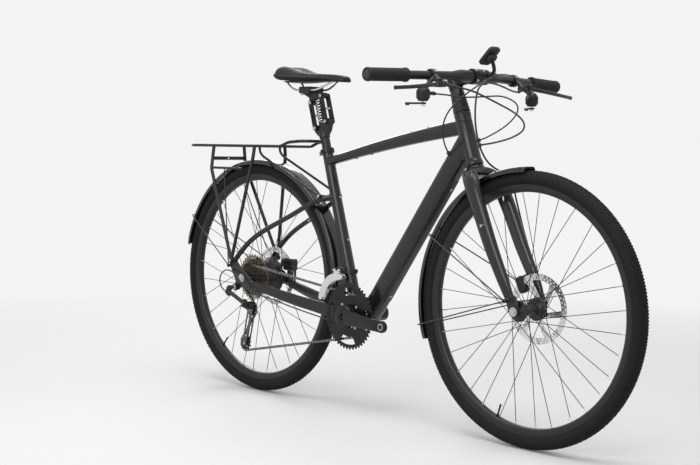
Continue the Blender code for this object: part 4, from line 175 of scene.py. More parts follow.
def lathe(bm, profile, centre, axis=LEFT, steps=64):
    """Turns a profile of (radius, along) about an axis; it closes on itself unless it starts on the axis."""
    matrix = onto(centre, axis)
    verts = [bm.verts.new(matrix @ Vector((radius, 0, along))) for radius, along in profile]
    edges = [bm.edges.new(pair) for pair in zip(verts, verts[1:])]
    if profile[0][0] > 1e-6:
        edges.append(bm.edges.new((verts[-1], verts[0])))
    bmesh.ops.spin(bm, geom=verts + edges, cent=centre, axis=axis, angle=math.tau, steps=steps, use_merge=True)


def collar(bm, centre, axis, inner, outer, half, lip, steps):
    """A band round an axis whose outer rims are broken by a chamfer of (inwards, along)."""
    edge, shoulder = outer - lip[0], half - lip[1]
    rings = [(inner, -half), (edge, -half), (outer, -shoulder), (outer, shoulder), (edge, half), (inner, half)]
    lathe(bm, rings, centre, axis, steps)


def rod(bm, start, end, radius, sides=16, end_radius=None):
    along = end - start
    bmesh.ops.create_cone(
        bm, cap_ends=True, segments=sides, radius1=radius, radius2=radius if end_radius is None else end_radius,
        depth=along.length, matrix=onto((start + end) / 2, along.normalized()),
    )


def centred(bm, centre, half, radius, sides):
    """A rod that reaches half its length both ways from its centre."""
    rod(bm, centre - half, centre + half, radius, sides)


def cross_rod(bm, place, radius, start, end, sides=28):
    """A rod across the bike at a place in the side view, from one distance left of the middle to another."""
    middle = Vector((place.x, 0, place.z))
    rod(bm, middle + start * LEFT, middle + end * LEFT, radius, sides)


def chamfered_rod(bm, start, end, radius, sides=24, chamfer=0.0008):
    """A rod whose rims are broken by a chamfer."""
    length = (end - start).length
    edge = radius - chamfer
    profile = [(0, 0), (edge, 0), (radius, chamfer), (radius, length - chamfer), (edge, length), (0, length)]
    lathe(bm, profile, start, (end - start).normalized(), sides)


def ball(bm, centre, radius, sides=12):
    place = Matrix.Translation(centre)
    bmesh.ops.create_uvsphere(bm, u_segments=sides, v_segments=sides // 2, radius=radius, matrix=place)


def block(bm, size, centre, turn=None, bevel=0.0, segments=2):
    matrix = Matrix.Translation(centre) @ (turn or Matrix.Identity(4)) @ Matrix.Diagonal((*size, 1))
    verts = bmesh.ops.create_cube(bm, size=1, matrix=matrix)["verts"]
    if bevel:
        edges = list(dict.fromkeys(edge for vert in verts for edge in vert.link_edges))
        bmesh.ops.bevel(
            bm, geom=edges, offset=bevel, segments=segments, profile=0.5, affect="EDGES", material=-1,
            clamp_overlap=True,
        )


def aligned(across, upward):
    """A rotation whose X and Z axes run across and upward."""
    forward = upward.cross(across)
    return Matrix((across, forward, upward)).transposed().to_4x4()


def oval_ring(bm, centre, across, upward, half_width, half_height, sides=32, power=2.0):
    """A ring of points on a superellipse; a power above 2 makes it squarer."""
    verts = bmesh.ops.create_circle(bm, segments=sides, radius=1)["verts"]
    for vert in verts:
        c, s = vert.co.x, vert.co.y
        reach = (abs(c) ** power + abs(s) ** power) ** (-1 / power)
        vert.co = centre + across * (half_width * reach * c) + upward * (half_height * reach * s)
    return verts


def edges_between(verts):
    inside = set(verts)
    edges = dict.fromkeys(edge for vert in verts for edge in vert.link_edges)
    return [edge for edge in edges if set(edge.verts) <= inside]


def skin(bm, rings, capped=True):
    """Bridges one ring to the next and closes both ends."""
    loops = [edges_between(ring) for ring in rings]
    for lower, upper in zip(loops, loops[1:]):
        bmesh.ops.bridge_loops(bm, edges=lower + upper)
    if capped:
        for loop in (loops[0], loops[-1]):
            bmesh.ops.edgeloop_fill(bm, edges=loop)


def curved(before, start, end, after, t):
    """The point at a share t of the curve from start to end, which bends evenly with its neighbours."""
    return 0.5 * (
        2 * start + (end - before) * t + (2 * before - 5 * start + 4 * end - after) * t * t
        + (3 * start - before - 3 * end + after) * t ** 3
    )


def smooth_path(points, steps=6):
    """A finer path through the points, bending evenly."""
    spread = [points[0] * 2 - points[1], *points, points[-1] * 2 - points[-2]]
    stretches = zip(spread, spread[1:], spread[2:], spread[3:])
    return [curved(*stretch, k / steps) for stretch in stretches for k in range(steps)] + [points[-1]]


def smooth_loop(points, steps):
    """A closed curve through the points."""
    count = len(points)
    stretches = [[points[(k + j) % count] for j in (-1, 0, 1, 2)] for k in range(count)]
    return [curved(*stretch, k / steps) for stretch in stretches for k in range(steps)]


def run_at(path, index):
    """The direction of a path at one of its points."""
    return (path[min(index + 1, len(path) - 1)] - path[max(index - 1, 0)]).normalized()


def pipe(bm, points, radius, sides=16, radii=None, closed=False):
    """A round pipe along the points, its rings carried along without twist."""
    count = len(points)
    rings = []
    across = None
    for index, point in enumerate(points):
        before = points[index - 1] if index or closed else point
        after = points[(index + 1) % count] if index < count - 1 or closed else point
        run = (after - before).normalized()
        if across is None:
            across = run.orthogonal()
        across = (across - run * across.dot(run)).normalized()
        thick = radii[index] if radii else radius
        rings.append(oval_ring(bm, point, across, run.cross(across), thick, thick, sides))
    if closed:
        rings.append(rings[0])
    skin(bm, rings, not closed)


def swelling(rings, steps):
    """Finer (centre, half width, half height) rings between the given ones."""
    centres = smooth_path([centre for centre, _, _ in rings], steps)
    sizes = smooth_path([Vector((wide, high, 0)) for _, wide, high in rings], steps)
    return [(centre, size.x, size.y) for centre, size in zip(centres, sizes)]


def loft(bm, rings, across, upward, steps, power):
    """A smoothly swelling bar over (centre, half width, half height) rings that all face one way."""
    finer = swelling(rings, steps)
    skin(bm, [oval_ring(bm, centre, across, upward, wide, high, 36, power) for centre, wide, high in finer])


def beam(bm, rings, power=2.6, sides=36, steps=5):
    """A smoothly swelling tube over such rings, square to its own run."""
    finer = swelling(rings, steps)
    centres = [centre for centre, _, _ in finer]
    loops = []
    for index, (centre, wide, high) in enumerate(finer):
        run = run_at(centres, index)
        upward = run.cross(LEFT).normalized()
        across = upward.cross(run).normalized()
        loops.append(oval_ring(bm, centre, across, upward, wide, high, sides, power))
    skin(bm, loops)


def of_type(geometry, kind):
    return [item for item in geometry if isinstance(item, kind)]


def punched(bm, outlines, thickness, matrix):
    """A flat plate with holes: the outlines are filled between and given a thickness."""
    edges = []
    for outline in outlines:
        verts = [bm.verts.new(matrix @ Vector((x, y, -thickness / 2))) for x, y in outline]
        edges += [bm.edges.new((vert, verts[(k + 1) % len(verts)])) for k, vert in enumerate(verts)]
    filled = bmesh.ops.triangle_fill(bm, use_beauty=True, edges=edges)["geom"]
    raised = bmesh.ops.extrude_face_region(bm, geom=of_type(filled, bmesh.types.BMFace), use_keep_orig=True)["geom"]
    bmesh.ops.translate(bm, verts=of_type(raised, bmesh.types.BMVert), vec=(matrix.to_3x3() @ UP) * thickness)


def arc(radius, angles, centre=(0, 0)):
    """The flat points at a radius and angles about a centre."""
    return [(centre[0] + radius * math.cos(angle), centre[1] + radius * math.sin(angle)) for angle in angles]


def around(count, start=0.0):
    """Even angles all the way round."""
    return [start + math.tau * k / count for k in range(count)]


def round_outline(radius, sides, centre=(0, 0)):
    return arc(radius, around(sides), centre)


def band_outline(discs, sides=24):
    """The outline of a band stretched round discs of (across, up, radius)."""
    points = [point for across, up, radius in discs for point in round_outline(radius, sides, (across, up))]
    return [points[k] for k in convex_hull_2d(points)]


def copies(bm, make, places):
    """Builds a small shape once and lays a copy at each place."""
    before = set(bm.verts)
    make(bm)
    made = [vert for vert in bm.verts if vert not in before]
    geom = made + edges_between(made) + list(dict.fromkeys(face for vert in made for face in vert.link_faces))
    for place in places[1:]:
        new = bmesh.ops.duplicate(bm, geom=geom)["geom"]
        bmesh.ops.transform(bm, matrix=place, verts=of_type(new, bmesh.types.BMVert))
    bmesh.ops.transform(bm, matrix=places[0], verts=made)


def linked(name, data):
    """A new object in the scene."""
    obj = bpy.data.objects.new(name, data)
    bpy.context.scene.collection.objects.link(obj)
    return obj


def piece(name, bm, material, node, bends=False, weld=0.00001, angle=32, keep_normals=False):
    """Makes the finished shape an object that stands for a CAD node and rides on its body, unless it bends."""
    bmesh.ops.remove_doubles(bm, verts=bm.verts, dist=weld)
    if not keep_normals:
        bmesh.ops.recalc_face_normals(bm, faces=bm.faces)
    mesh = bpy.data.meshes.new(name)
    bm.to_mesh(mesh)
    bm.free()
    mesh.shade_smooth()
    mesh.set_sharp_from_angle(angle=math.radians(angle))
    mesh.materials.append(material)
    obj = linked(name, mesh)
    if not bends:
        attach(obj, body_of(NODES[node])[0])
    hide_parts(node)
    return obj


def applied(obj):
    """Bakes an object's modifiers into its mesh."""
    graph = bpy.context.evaluated_depsgraph_get()
    mesh = bpy.data.meshes.new_from_object(obj.evaluated_get(graph))
    obj.modifiers.clear()
    old = obj.data
    obj.data = mesh
    bpy.data.meshes.remove(old)


def rounded(obj, width, segments=2, angle=30):
    """Breaks an object's sharp edges."""
    bevel = obj.modifiers.new("broken_edges", "BEVEL")
    bevel.width = width
    bevel.segments = segments
    bevel.limit_method = "ANGLE"
    bevel.angle_limit = math.radians(angle)
    bevel.harden_normals = True


def cast(obj, voxel, passes):
    """Melts overlapping solids into one smooth skin, as a casting or a filleted weld."""
    remesh = obj.modifiers.new("melt", "REMESH")
    remesh.mode = "VOXEL"
    remesh.voxel_size = voxel
    remesh.use_smooth_shade = True
    soften = obj.modifiers.new("soften", "SMOOTH")
    soften.factor = 0.5
    soften.iterations = passes
    applied(obj)
    obj.data.shade_smooth()


def copied(node):
    """A CAD node's own shape, to be worked on."""
    bm = bmesh.new()
    bm.from_mesh(NODES[node].data)
    return bm


def eased(node, name, material, width):
    """A CAD node's own shape with its edges broken."""
    bm = copied(node)
    bmesh.ops.remove_doubles(bm, verts=bm.verts, dist=0.00001)
    bmesh.ops.dissolve_limit(bm, angle_limit=math.radians(1.0), verts=bm.verts, edges=bm.edges)
    rounded(piece(name, bm, material, node, keep_normals=True, angle=40), width, 2, 28)


# Cable and hose routes, as in the CAD model, from the front axle
FRONT_HOSE = [front(*place) for place in (
    (-0.162, 0.153, 0.561), (-0.155, 0.138, 0.555), (-0.14, 0.108, 0.551), (-0.132, 0.072, 0.554),
    (-0.122, 0.03, 0.561), (-0.117, -0.012, 0.567), (-0.114, -0.05, 0.567), (-0.114, -0.073, 0.554),
    (-0.114, -0.083, 0.529), (-0.114, -0.086, 0.486), (-0.118, -0.075, 0.444), (-0.124, -0.052, 0.404),
    (-0.126, -0.022, 0.371), (-0.127, 0.015, 0.351), (-0.126, 0.052, 0.339), (-0.122, 0.0745, 0.317),
    (-0.109, 0.0785, 0.269), (-0.086, 0.0785, 0.201), (-0.06, 0.0775, 0.134), (-0.053, 0.076, 0.101),
    (-0.061, 0.073, 0.083), (-0.074, 0.066, 0.075), (-0.074, 0.057, 0.069), (-0.068, 0.05, 0.062),
)]
REAR_HOSE = [front(*place) for place in (
    (-0.162, -0.153, 0.561), (-0.155, -0.138, 0.558), (-0.139, -0.115, 0.553), (-0.123, -0.085, 0.545),
    (-0.111, -0.045, 0.53), (-0.107, 0.0, 0.515), (-0.109, 0.044, 0.502), (-0.113, 0.085, 0.487),
    (-0.122, 0.118, 0.469), (-0.139, 0.132, 0.45), (-0.159, 0.112, 0.432), (-0.178, 0.07, 0.419),
    (-0.194, 0.032, 0.412), (-0.199, 0.02, 0.4093),
)]
REAR_GEAR_CABLE = [front(*place) for place in (
    (-0.166, -0.19, 0.537), (-0.162, -0.181, 0.536), (-0.151, -0.15, 0.534), (-0.139, -0.116, 0.53),
    (-0.125, -0.078, 0.531), (-0.115, -0.038, 0.534), (-0.11, 0.003, 0.536), (-0.112, 0.042, 0.531),
    (-0.116, 0.076, 0.52), (-0.126, 0.096, 0.504), (-0.141, 0.098, 0.483), (-0.16, 0.08, 0.458),
    (-0.182, 0.046, 0.434), (-0.194, 0.028, 0.425), (-0.1985, 0.02, 0.4222),
)]
FRONT_GEAR_CABLE = [front(*place) for place in (
    (-0.168, 0.193, 0.538), (-0.16, 0.18, 0.538), (-0.145, 0.16, 0.543), (-0.133, 0.14, 0.56),
    (-0.136, 0.112, 0.583), (-0.13, 0.06, 0.592), (-0.124, 0.014, 0.591), (-0.123, -0.022, 0.58),
    (-0.136, -0.05, 0.562), (-0.156, -0.064, 0.545), (-0.18, -0.072, 0.525), (-0.204, -0.08, 0.501),
    (-0.224, -0.079, 0.473), (-0.238, -0.069, 0.443), (-0.248, -0.05, 0.414), (-0.256, -0.026, 0.391),
    (-0.26, -0.01, 0.382),
)]
# This one runs from under the bottom bracket to the rear derailleur
DERAILLEUR_CABLE = [
    *[bottom(*place) for place in ((0.012, -0.014, -0.012), (-0.004, -0.018, -0.0285), (-0.047, -0.026, -0.0275))],
    *[rear(*place) for place in (
        (0.37, -0.034, -0.0975), (0.3, -0.042, -0.087), (0.2, -0.052, -0.07), (0.13, -0.06, -0.055),
        (0.085, -0.07, -0.047), (0.055, -0.084, -0.036), (0.025, -0.0915, -0.017), (-0.01, -0.092, 0.009),
        (-0.045, -0.0905, 0.021), (-0.078, -0.088, 0.013), (-0.094, -0.0864, -0.009), (-0.089, -0.0862, -0.031),
        (-0.072, -0.0868, -0.043), (-0.0632, -0.0877, -0.045),
    )],
]


# Materials


def socketed_group(name, outputs):
    """A node group with Scale and Seed inputs and the named outputs."""
    tree = bpy.data.node_groups.new(name, "ShaderNodeTree")
    tree.interface.new_socket("Scale", in_out="INPUT", socket_type="NodeSocketFloat")
    for output, kind in outputs:
        tree.interface.new_socket(output, in_out="OUTPUT", socket_type=kind)
    return tree, tree.nodes.new("NodeGroupInput"), tree.nodes.new("NodeGroupOutput")


def noise(tree, vector, scale, detail=3.0, roughness=0.55):
    node = tree.nodes.new("ShaderNodeTexNoise")
    node.inputs["Detail"].default_value = detail
    node.inputs["Roughness"].default_value = roughness
    tree.links.new(vector, node.inputs["Vector"])
    if isinstance(scale, (int, float)):
        node.inputs["Scale"].default_value = scale
    else:
        tree.links.new(scale, node.inputs["Scale"])
    return node


def ranged(tree, value, low, high, start=0.0, end=1.0):
    node = tree.nodes.new("ShaderNodeMapRange")
    for socket, number in (("From Min", start), ("From Max", end), ("To Min", low), ("To Max", high)):
        node.inputs[socket].default_value = number
    tree.links.new(value, node.inputs["Value"])
    return node.outputs["Result"]


def calculated(tree, operation, first, second):
    node = tree.nodes.new("ShaderNodeMath")
    node.operation = operation
    for socket, value in zip(node.inputs, (first, second)):
        if isinstance(value, (int, float)):
            socket.default_value = value
        else:
            tree.links.new(value, socket)
    return node.outputs["Value"]


def separated(tree, vector):
    split = tree.nodes.new("ShaderNodeSeparateXYZ")
    tree.links.new(vector, split.inputs["Vector"])
    return split.outputs


def surface_group():
    """Soft cloudiness, fine grain and sparse scuffs that the finishes share."""
    outputs = (("Cloud", "NodeSocketFloat"), ("Grain", "NodeSocketFloat"), ("Scuff", "NodeSocketFloat"))
    tree, given, result = socketed_group("surface", outputs)
    place = tree.nodes.new("ShaderNodeTexCoord").outputs["Object"]
    cloud = noise(tree, place, 14.0, 4.0)
    tree.links.new(cloud.outputs["Fac"], result.inputs["Cloud"])
    grain = noise(tree, place, given.outputs["Scale"], 2.0)
    tree.links.new(grain.outputs["Fac"], result.inputs["Grain"])
    scuffs = noise(tree, place, 90.0, 6.0, 0.7)
    tree.links.new(ranged(tree, scuffs.outputs["Fac"], 0.0, 1.0, 0.6, 0.78), result.inputs["Scuff"])
    return tree


def weave_group():
    """Crossed fibre tows, light and dark by turns, with the tow's own roundness as height."""
    outputs = (("Tow", "NodeSocketFloat"), ("Height", "NodeSocketFloat"))
    tree, given, result = socketed_group("weave", outputs)

    def worked(operation, first, second=0):
        return calculated(tree, operation, first, second)

    place = separated(tree, tree.nodes.new("ShaderNodeTexCoord").outputs["Object"])
    diagonals = [worked(operation, place["X"], place["Z"]) for operation in ("ADD", "SUBTRACT")]
    along, across = (worked("MULTIPLY", diagonal, given.outputs["Scale"]) for diagonal in diagonals)
    parity = worked("PINGPONG", worked("ADD", worked("FLOOR", along), worked("FLOOR", across)), 1.0)
    tree.links.new(parity, result.inputs["Tow"])
    lengthwise, crosswise = (
        worked("SINE", worked("MULTIPLY", worked("FRACT", way), math.pi)) for way in (along, across)
    )
    tree.links.new(worked("MULTIPLY", lengthwise, crosswise), result.inputs["Height"])
    return tree


SURFACE = surface_group()
WEAVE = weave_group()


def blended(tree, amount, dark, light):
    """A colour between dark and light by the amount; either may be a colour or another node's output."""
    node = tree.nodes.new("ShaderNodeMix")
    node.data_type = "RGBA"
    for socket, colour in (("A", dark), ("B", light)):
        if isinstance(colour, tuple):
            node.inputs[socket].default_value = (*colour, 1)
        else:
            tree.links.new(colour, node.inputs[socket])
    tree.links.new(amount, node.inputs["Factor"])
    return node.outputs["Result"]


def bumped(tree, shader, height, distance, strength=1.0):
    """Raises a surface by a height that changes over it."""
    node = tree.nodes.new("ShaderNodeBump")
    node.inputs["Strength"].default_value = strength
    node.inputs["Distance"].default_value = distance
    tree.links.new(height, node.inputs["Height"])
    tree.links.new(node.outputs["Normal"], shader.inputs["Normal"])


def placed_group(tree, group, scale):
    node = tree.nodes.new("ShaderNodeGroup")
    node.node_tree = group
    node.inputs["Scale"].default_value = scale
    return node.outputs


def finish(name, dark, light, rough, metallic=0.0, grain=900.0, bump=0.0, scuff=0.05, **constants):
    """A finish of cloudy colour, with a grained roughness between its lowest and highest and light scuffs."""
    material = bpy.data.materials.new(name)
    material.use_nodes = True
    tree = material.node_tree
    shader = tree.nodes["Principled BSDF"]
    shader.inputs["Metallic"].default_value = metallic
    for socket, value in constants.items():
        shader.inputs[socket.replace("_", " ")].default_value = value
    surface = placed_group(tree, SURFACE, grain)
    tree.links.new(blended(tree, surface["Cloud"], dark, light), shader.inputs["Base Color"])
    rubbed = calculated(tree, "MULTIPLY", surface["Scuff"], scuff)
    grained = ranged(tree, surface["Grain"], *rough, 0.3, 0.7)
    tree.links.new(calculated(tree, "ADD", grained, rubbed), shader.inputs["Roughness"])
    if bump:
        bumped(tree, shader, surface["Grain"], bump)
    return material


def carbon(material, below=1.0):
    """Bares the fibre weave on the right-hand faces of what stands left of the wheel and under a height."""
    tree = material.node_tree
    shader = tree.nodes["Principled BSDF"]
    paint = shader.inputs["Base Color"].links[0].from_socket
    weave = placed_group(tree, WEAVE, 230.0)
    tows = blended(tree, weave["Tow"], (0.012, 0.012, 0.013), (0.062, 0.062, 0.064))
    place = tree.nodes.new("ShaderNodeTexCoord")
    facing, position = separated(tree, place.outputs["Normal"]), separated(tree, place.outputs["Object"])
    bare = ranged(tree, facing["Y"], 1.0, 0.0, -0.7, -0.62)
    left_of_wheel = (position["Y"], 0.0, 1.0, 0.021, 0.024)
    under_height = (position["Z"], 1.0, 0.0, below, below + 0.004)
    for limit in (left_of_wheel, under_height):
        bare = calculated(tree, "MULTIPLY", bare, ranged(tree, *limit))
    tree.links.new(blended(tree, bare, paint, tows), shader.inputs["Base Color"])
    bumped(tree, shader, calculated(tree, "MULTIPLY", weave["Height"], bare), 0.0002, 0.35)
    return material


PAINT = {
    "rough": (0.262, 0.282), "grain": 500.0, "scuff": 0.02, "Specular_IOR_Level": 0.24, "Coat_Weight": 0.36,
    "Coat_Roughness": 0.05,
}
PAINT_COLOURS = (0.008, 0.0085, 0.009), (0.014, 0.015, 0.016)
FRAME_PAINT = carbon(finish("frame_paint", *PAINT_COLOURS, **PAINT), below=0.345)
FORK_PAINT = carbon(finish("fork_paint", *PAINT_COLOURS, **PAINT))
SATIN_BLACK = finish(
    "satin_black", (0.008, 0.008, 0.009), (0.014, 0.014, 0.015), (0.3, 0.4), grain=1200.0, bump=0.00003,
    Specular_IOR_Level=0.35,
)
GLOSS_BLACK = finish(
    "gloss_black_plastic", (0.006, 0.006, 0.007), (0.01, 0.01, 0.011), (0.1, 0.16), scuff=0.1, Coat_Weight=0.2
)
MATTE_BLACK = finish(
    "matte_black_plastic", (0.01, 0.01, 0.011), (0.017, 0.017, 0.018), (0.48, 0.6), grain=1500.0, bump=0.00005,
    Specular_IOR_Level=0.3,
)
ANODISED = finish(
    "anodised_black", (0.014, 0.014, 0.015), (0.024, 0.024, 0.026), (0.26, 0.36), metallic=0.7, grain=1400.0
)
POLISHED = finish("polished", (0.62, 0.62, 0.63), (0.74, 0.74, 0.75), (0.16, 0.24), metallic=1.0, grain=700.0)
STEEL = finish("steel", (0.46, 0.46, 0.47), (0.6, 0.6, 0.61), (0.26, 0.36), metallic=1.0, grain=1400.0)
CHROME = finish("chrome", (0.7, 0.7, 0.71), (0.8, 0.8, 0.81), (0.07, 0.12), metallic=1.0, scuff=0.12)
BRONZED = finish("bronzed_steel", (0.2, 0.17, 0.13), (0.34, 0.29, 0.23), (0.26, 0.36), metallic=1.0, grain=1400.0)
GRIP_RUBBER = finish(
    "grip_rubber", (0.01, 0.01, 0.011), (0.018, 0.018, 0.019), (0.6, 0.72), grain=2200.0, bump=0.00008,
    Specular_IOR_Level=0.25,
)
TYRE_RUBBER = finish(
    "tyre_rubber", (0.007, 0.007, 0.0075), (0.013, 0.013, 0.0135), (0.62, 0.76), grain=1600.0, bump=0.0001,
    Specular_IOR_Level=0.15,
)
CHAIN_STEEL = finish(
    "chain_steel", (0.085, 0.072, 0.055), (0.17, 0.145, 0.115), (0.26, 0.4), metallic=1.0, grain=1400.0
)
POLISHED_DARK = finish(
    "dark_polished", (0.1, 0.1, 0.105), (0.16, 0.16, 0.165), (0.24, 0.34), metallic=1.0, grain=1200.0
)
HOSE = finish("hose_jacket", (0.01, 0.01, 0.011), (0.017, 0.017, 0.018), (0.36, 0.46), grain=1500.0)
SEAT_COVER = finish(
    "seat_cover", (0.008, 0.008, 0.009), (0.013, 0.013, 0.014), (0.46, 0.56), grain=1700.0, bump=0.0001,
    Specular_IOR_Level=0.16,
)
THREAD = finish("seam_thread", (0.02, 0.02, 0.021), (0.034, 0.034, 0.035), (0.55, 0.65), grain=2500.0)
SCREEN = finish(
    "screen_glass", (0.01, 0.011, 0.013), (0.013, 0.014, 0.017), (0.05, 0.09), scuff=0.04, Coat_Weight=0.8
)
TOP_COVER = finish("cap_rubber", (0.006, 0.006, 0.007), (0.011, 0.011, 0.012), (0.5, 0.6), grain=1500.0)


# Camera, light and ground

BACKGROUND = (0.895, 0.9, 0.905)


def photo_camera():
    """The camera that sees the bike as the picture does: from its right, a little ahead and low."""
    azimuth, elevation, roll = math.radians(46.31194), math.radians(3.70708), math.radians(0.8554)
    level = math.cos(elevation)
    back = Vector((math.sin(azimuth) * level, -math.cos(azimuth) * level, math.sin(elevation)))
    right = UP.cross(back).normalized()
    upward = back.cross(right)
    across = math.cos(roll) * right + math.sin(roll) * upward
    upright = -math.sin(roll) * right + math.cos(roll) * upward
    data = bpy.data.cameras.new("camera")
    data.lens = 67.53
    data.sensor_width = 36
    data.clip_end = 60
    camera = linked("camera", data)
    turn = Matrix((across, upright, back)).transposed().to_4x4()
    camera.matrix_world = Matrix.Translation((2.577546, -2.584823, 0.751482)) @ turn
    bpy.context.scene.camera = camera


def lamp(name, place, target, size, power):
    data = bpy.data.lights.new(name, "AREA")
    data.shape = "RECTANGLE"
    data.size, data.size_y = size
    data.energy = power
    obj = linked(name, data)
    obj.location = place
    obj.rotation_euler = (Vector(target) - Vector(place)).to_track_quat("-Z", "Y").to_euler()


def shown_directly(tree):
    """1 for the rays that show the backdrop itself: straight to the camera, mirrored or through glass."""
    seen = tree.nodes.new("ShaderNodeLightPath")
    mirrored = calculated(tree, "ADD", seen.outputs["Is Camera Ray"], seen.outputs["Is Glossy Ray"])
    return calculated(tree, "MINIMUM", calculated(tree, "ADD", mirrored, seen.outputs["Is Transmission Ray"]), 1.0)


def mixed_shaders(tree, factor, first, second, output):
    """Shows the first shader where the factor is 0 and the second where it is 1."""
    node = tree.nodes.new("ShaderNodeMixShader")
    for socket, link in zip(node.inputs, (factor, first, second)):
        tree.links.new(link, socket)
    tree.links.new(node.outputs["Shader"], tree.nodes[output].inputs["Surface"])


def pale_floor():
    """A matt floor that melts into the backdrop far from the bike."""
    ground = bpy.data.materials.new("pale_floor")
    ground.use_nodes = True
    tree = ground.node_tree
    shader = tree.nodes["Principled BSDF"]
    shader.inputs["Roughness"].default_value = 0.75
    shader.inputs["Specular IOR Level"].default_value = 0.15
    place = tree.nodes.new("ShaderNodeTexCoord").outputs["Object"]
    cloud = noise(tree, place, 0.8, 2.0).outputs["Fac"]
    tree.links.new(blended(tree, cloud, (0.645, 0.645, 0.65), (0.675, 0.675, 0.68)), shader.inputs["Base Color"])
    distance = tree.nodes.new("ShaderNodeVectorMath")
    distance.operation = "LENGTH"
    tree.links.new(place, distance.inputs[0])
    far = ranged(tree, distance.outputs["Value"], 0.0, 1.0, 1.1, 3.2)
    backdrop = tree.nodes.new("ShaderNodeEmission")
    backdrop.inputs["Color"].default_value = (*BACKGROUND, 1)
    hidden = calculated(tree, "MULTIPLY", far, shown_directly(tree))
    mixed_shaders(tree, hidden, shader.outputs["BSDF"], backdrop.outputs["Emission"], "Material Output")
    return ground


def studio():
    """A pale floor, a pale backdrop, a large soft box above and broad side fills."""
    bm = bmesh.new()
    bmesh.ops.create_grid(bm, x_segments=1, y_segments=1, size=30)
    mesh = bpy.data.meshes.new("floor")
    bm.to_mesh(mesh)
    bm.free()
    floor = linked("floor", mesh)
    mesh.materials.append(pale_floor())
    world = bpy.data.worlds.new("studio")
    bpy.context.scene.world = world
    world.use_nodes = True
    tree = world.node_tree
    shown, lighting = tree.nodes["Background"], tree.nodes.new("ShaderNodeBackground")
    for node, colour, strength in ((shown, BACKGROUND, 1.0), (lighting, (1, 1, 1), 0.5)):
        node.inputs["Color"].default_value = (*colour, 1)
        node.inputs["Strength"].default_value = strength
    direct = shown_directly(tree)
    mixed_shaders(tree, direct, lighting.outputs["Background"], shown.outputs["Background"], "World Output")
    lamp("top_softbox", (0.3, -0.6, 3.2), (0, 0, 0.4), (3.2, 2.2), 84)
    lamp("side_softbox", (1.2, -3.6, 1.9), (0.1, 0, 0.5), (2.4, 1.6), 46)
    lamp("rear_softbox", (-2.8, 1.8, 2.0), (0, 0, 0.6), (2.0, 1.4), 40)


photo_camera()
studio()
bpy.context.scene.view_settings.view_transform = "Standard"


# Frame

DOWN_TUBE_FOOT = BOTTOM_BRACKET + 0.0287 * FORWARD
DOWN_TUBE_HEAD = steer(0.0707, 0, 0)
DOWN_TUBE_LENGTH = (DOWN_TUBE_HEAD - DOWN_TUBE_FOOT).length
DOWN_TUBE_RUN = (DOWN_TUBE_HEAD - DOWN_TUBE_FOOT).normalized()
UNDERSIDE = Vector((DOWN_TUBE_RUN.z, 0, -DOWN_TUBE_RUN.x))
TOP_TUBE_REAR = seat(0.455)
TOP_TUBE_FRONT = steer(0.109, 0, 0)
COVER_START = 0.075
COVER_LENGTH = DOWN_TUBE_LENGTH - COVER_START - 0.11
RACK_EYELET = rear(-0.031, 0.086, 0.052)
MUDGUARD_EYELET = rear(-0.052, 0.084, 0.035)
STRUT_EYELET = rear(0.306, 0.036, 0.259)
SEAT_BRIDGE = rear(0.29, 0, 0.249)
CHAIN_BRIDGE = rear(0.385, 0, -0.066)
BRIDGE_RADIUS = 0.0068
DROPOUT_Y = 0.0745
SHELL_HALF = 0.0363


def down_tube(along, below):
    return DOWN_TUBE_FOOT + along * DOWN_TUBE_RUN + below * UNDERSIDE


def top_tube(share, above=0.0):
    arch = 0.024 * share * (1 - share)
    return TOP_TUBE_REAR.lerp(TOP_TUBE_FRONT, share) + (above + arch) * UP


def top_tube_half_height(share):
    return 0.012 + 0.009 * share


def chain_stay(bm, side):
    rings = [
        (bottom(-0.012, 0.022, 0.002), 0.0066, 0.018), (rear(0.36, 0.033, -0.068), 0.0058, 0.0192),
        (rear(0.28, 0.0405, -0.0585), 0.006, 0.0178), (rear(0.2, 0.05, -0.0465), 0.0062, 0.0166),
        (rear(0.08, 0.0655, -0.0245), 0.0056, 0.013), (rear(0.014, 0.0745, -0.01), 0.0038, 0.0105),
    ]
    beam(bm, [(sided(centre, side), wide, high) for centre, wide, high in rings], 2.8, 32, 6)


def seat_stay(bm, side):
    points = [
        seat(0.353, 0, 0.009), rear(0.285, 0.038, 0.243), rear(0.19, 0.052, 0.196), rear(0.09, 0.064, 0.149),
        rear(0.03, 0.071, 0.112), rear(-0.02, 0.0742, 0.067), rear(-0.045, 0.0745, 0.039),
    ]
    pipe(bm, smooth_path([sided(point, side) for point in points], 6), 0.0078, 24)


def dropout(bm, side):
    """The plate that holds the axle; the right one reaches down to the derailleur's hanger."""
    outline = [(0.045, 0.001), (0.045, -0.026), (0.006, -0.026)]
    if side < 0:
        outline += [(-0.008, -0.031), (-0.014, -0.0375), (-0.023, -0.0393), (-0.031, -0.035), (-0.033, -0.026)]
        outline += [(-0.03, -0.01)]
    else:
        outline += [(-0.022, -0.016)]
    outline += [(-0.05, 0.022), (-0.062, 0.048), (-0.046, 0.06), (-0.022, 0.046), (0.006, 0.024)]
    punched(bm, [outline], 0.0066, in_side_view(REAR_AXLE + side * DROPOUT_Y * LEFT))


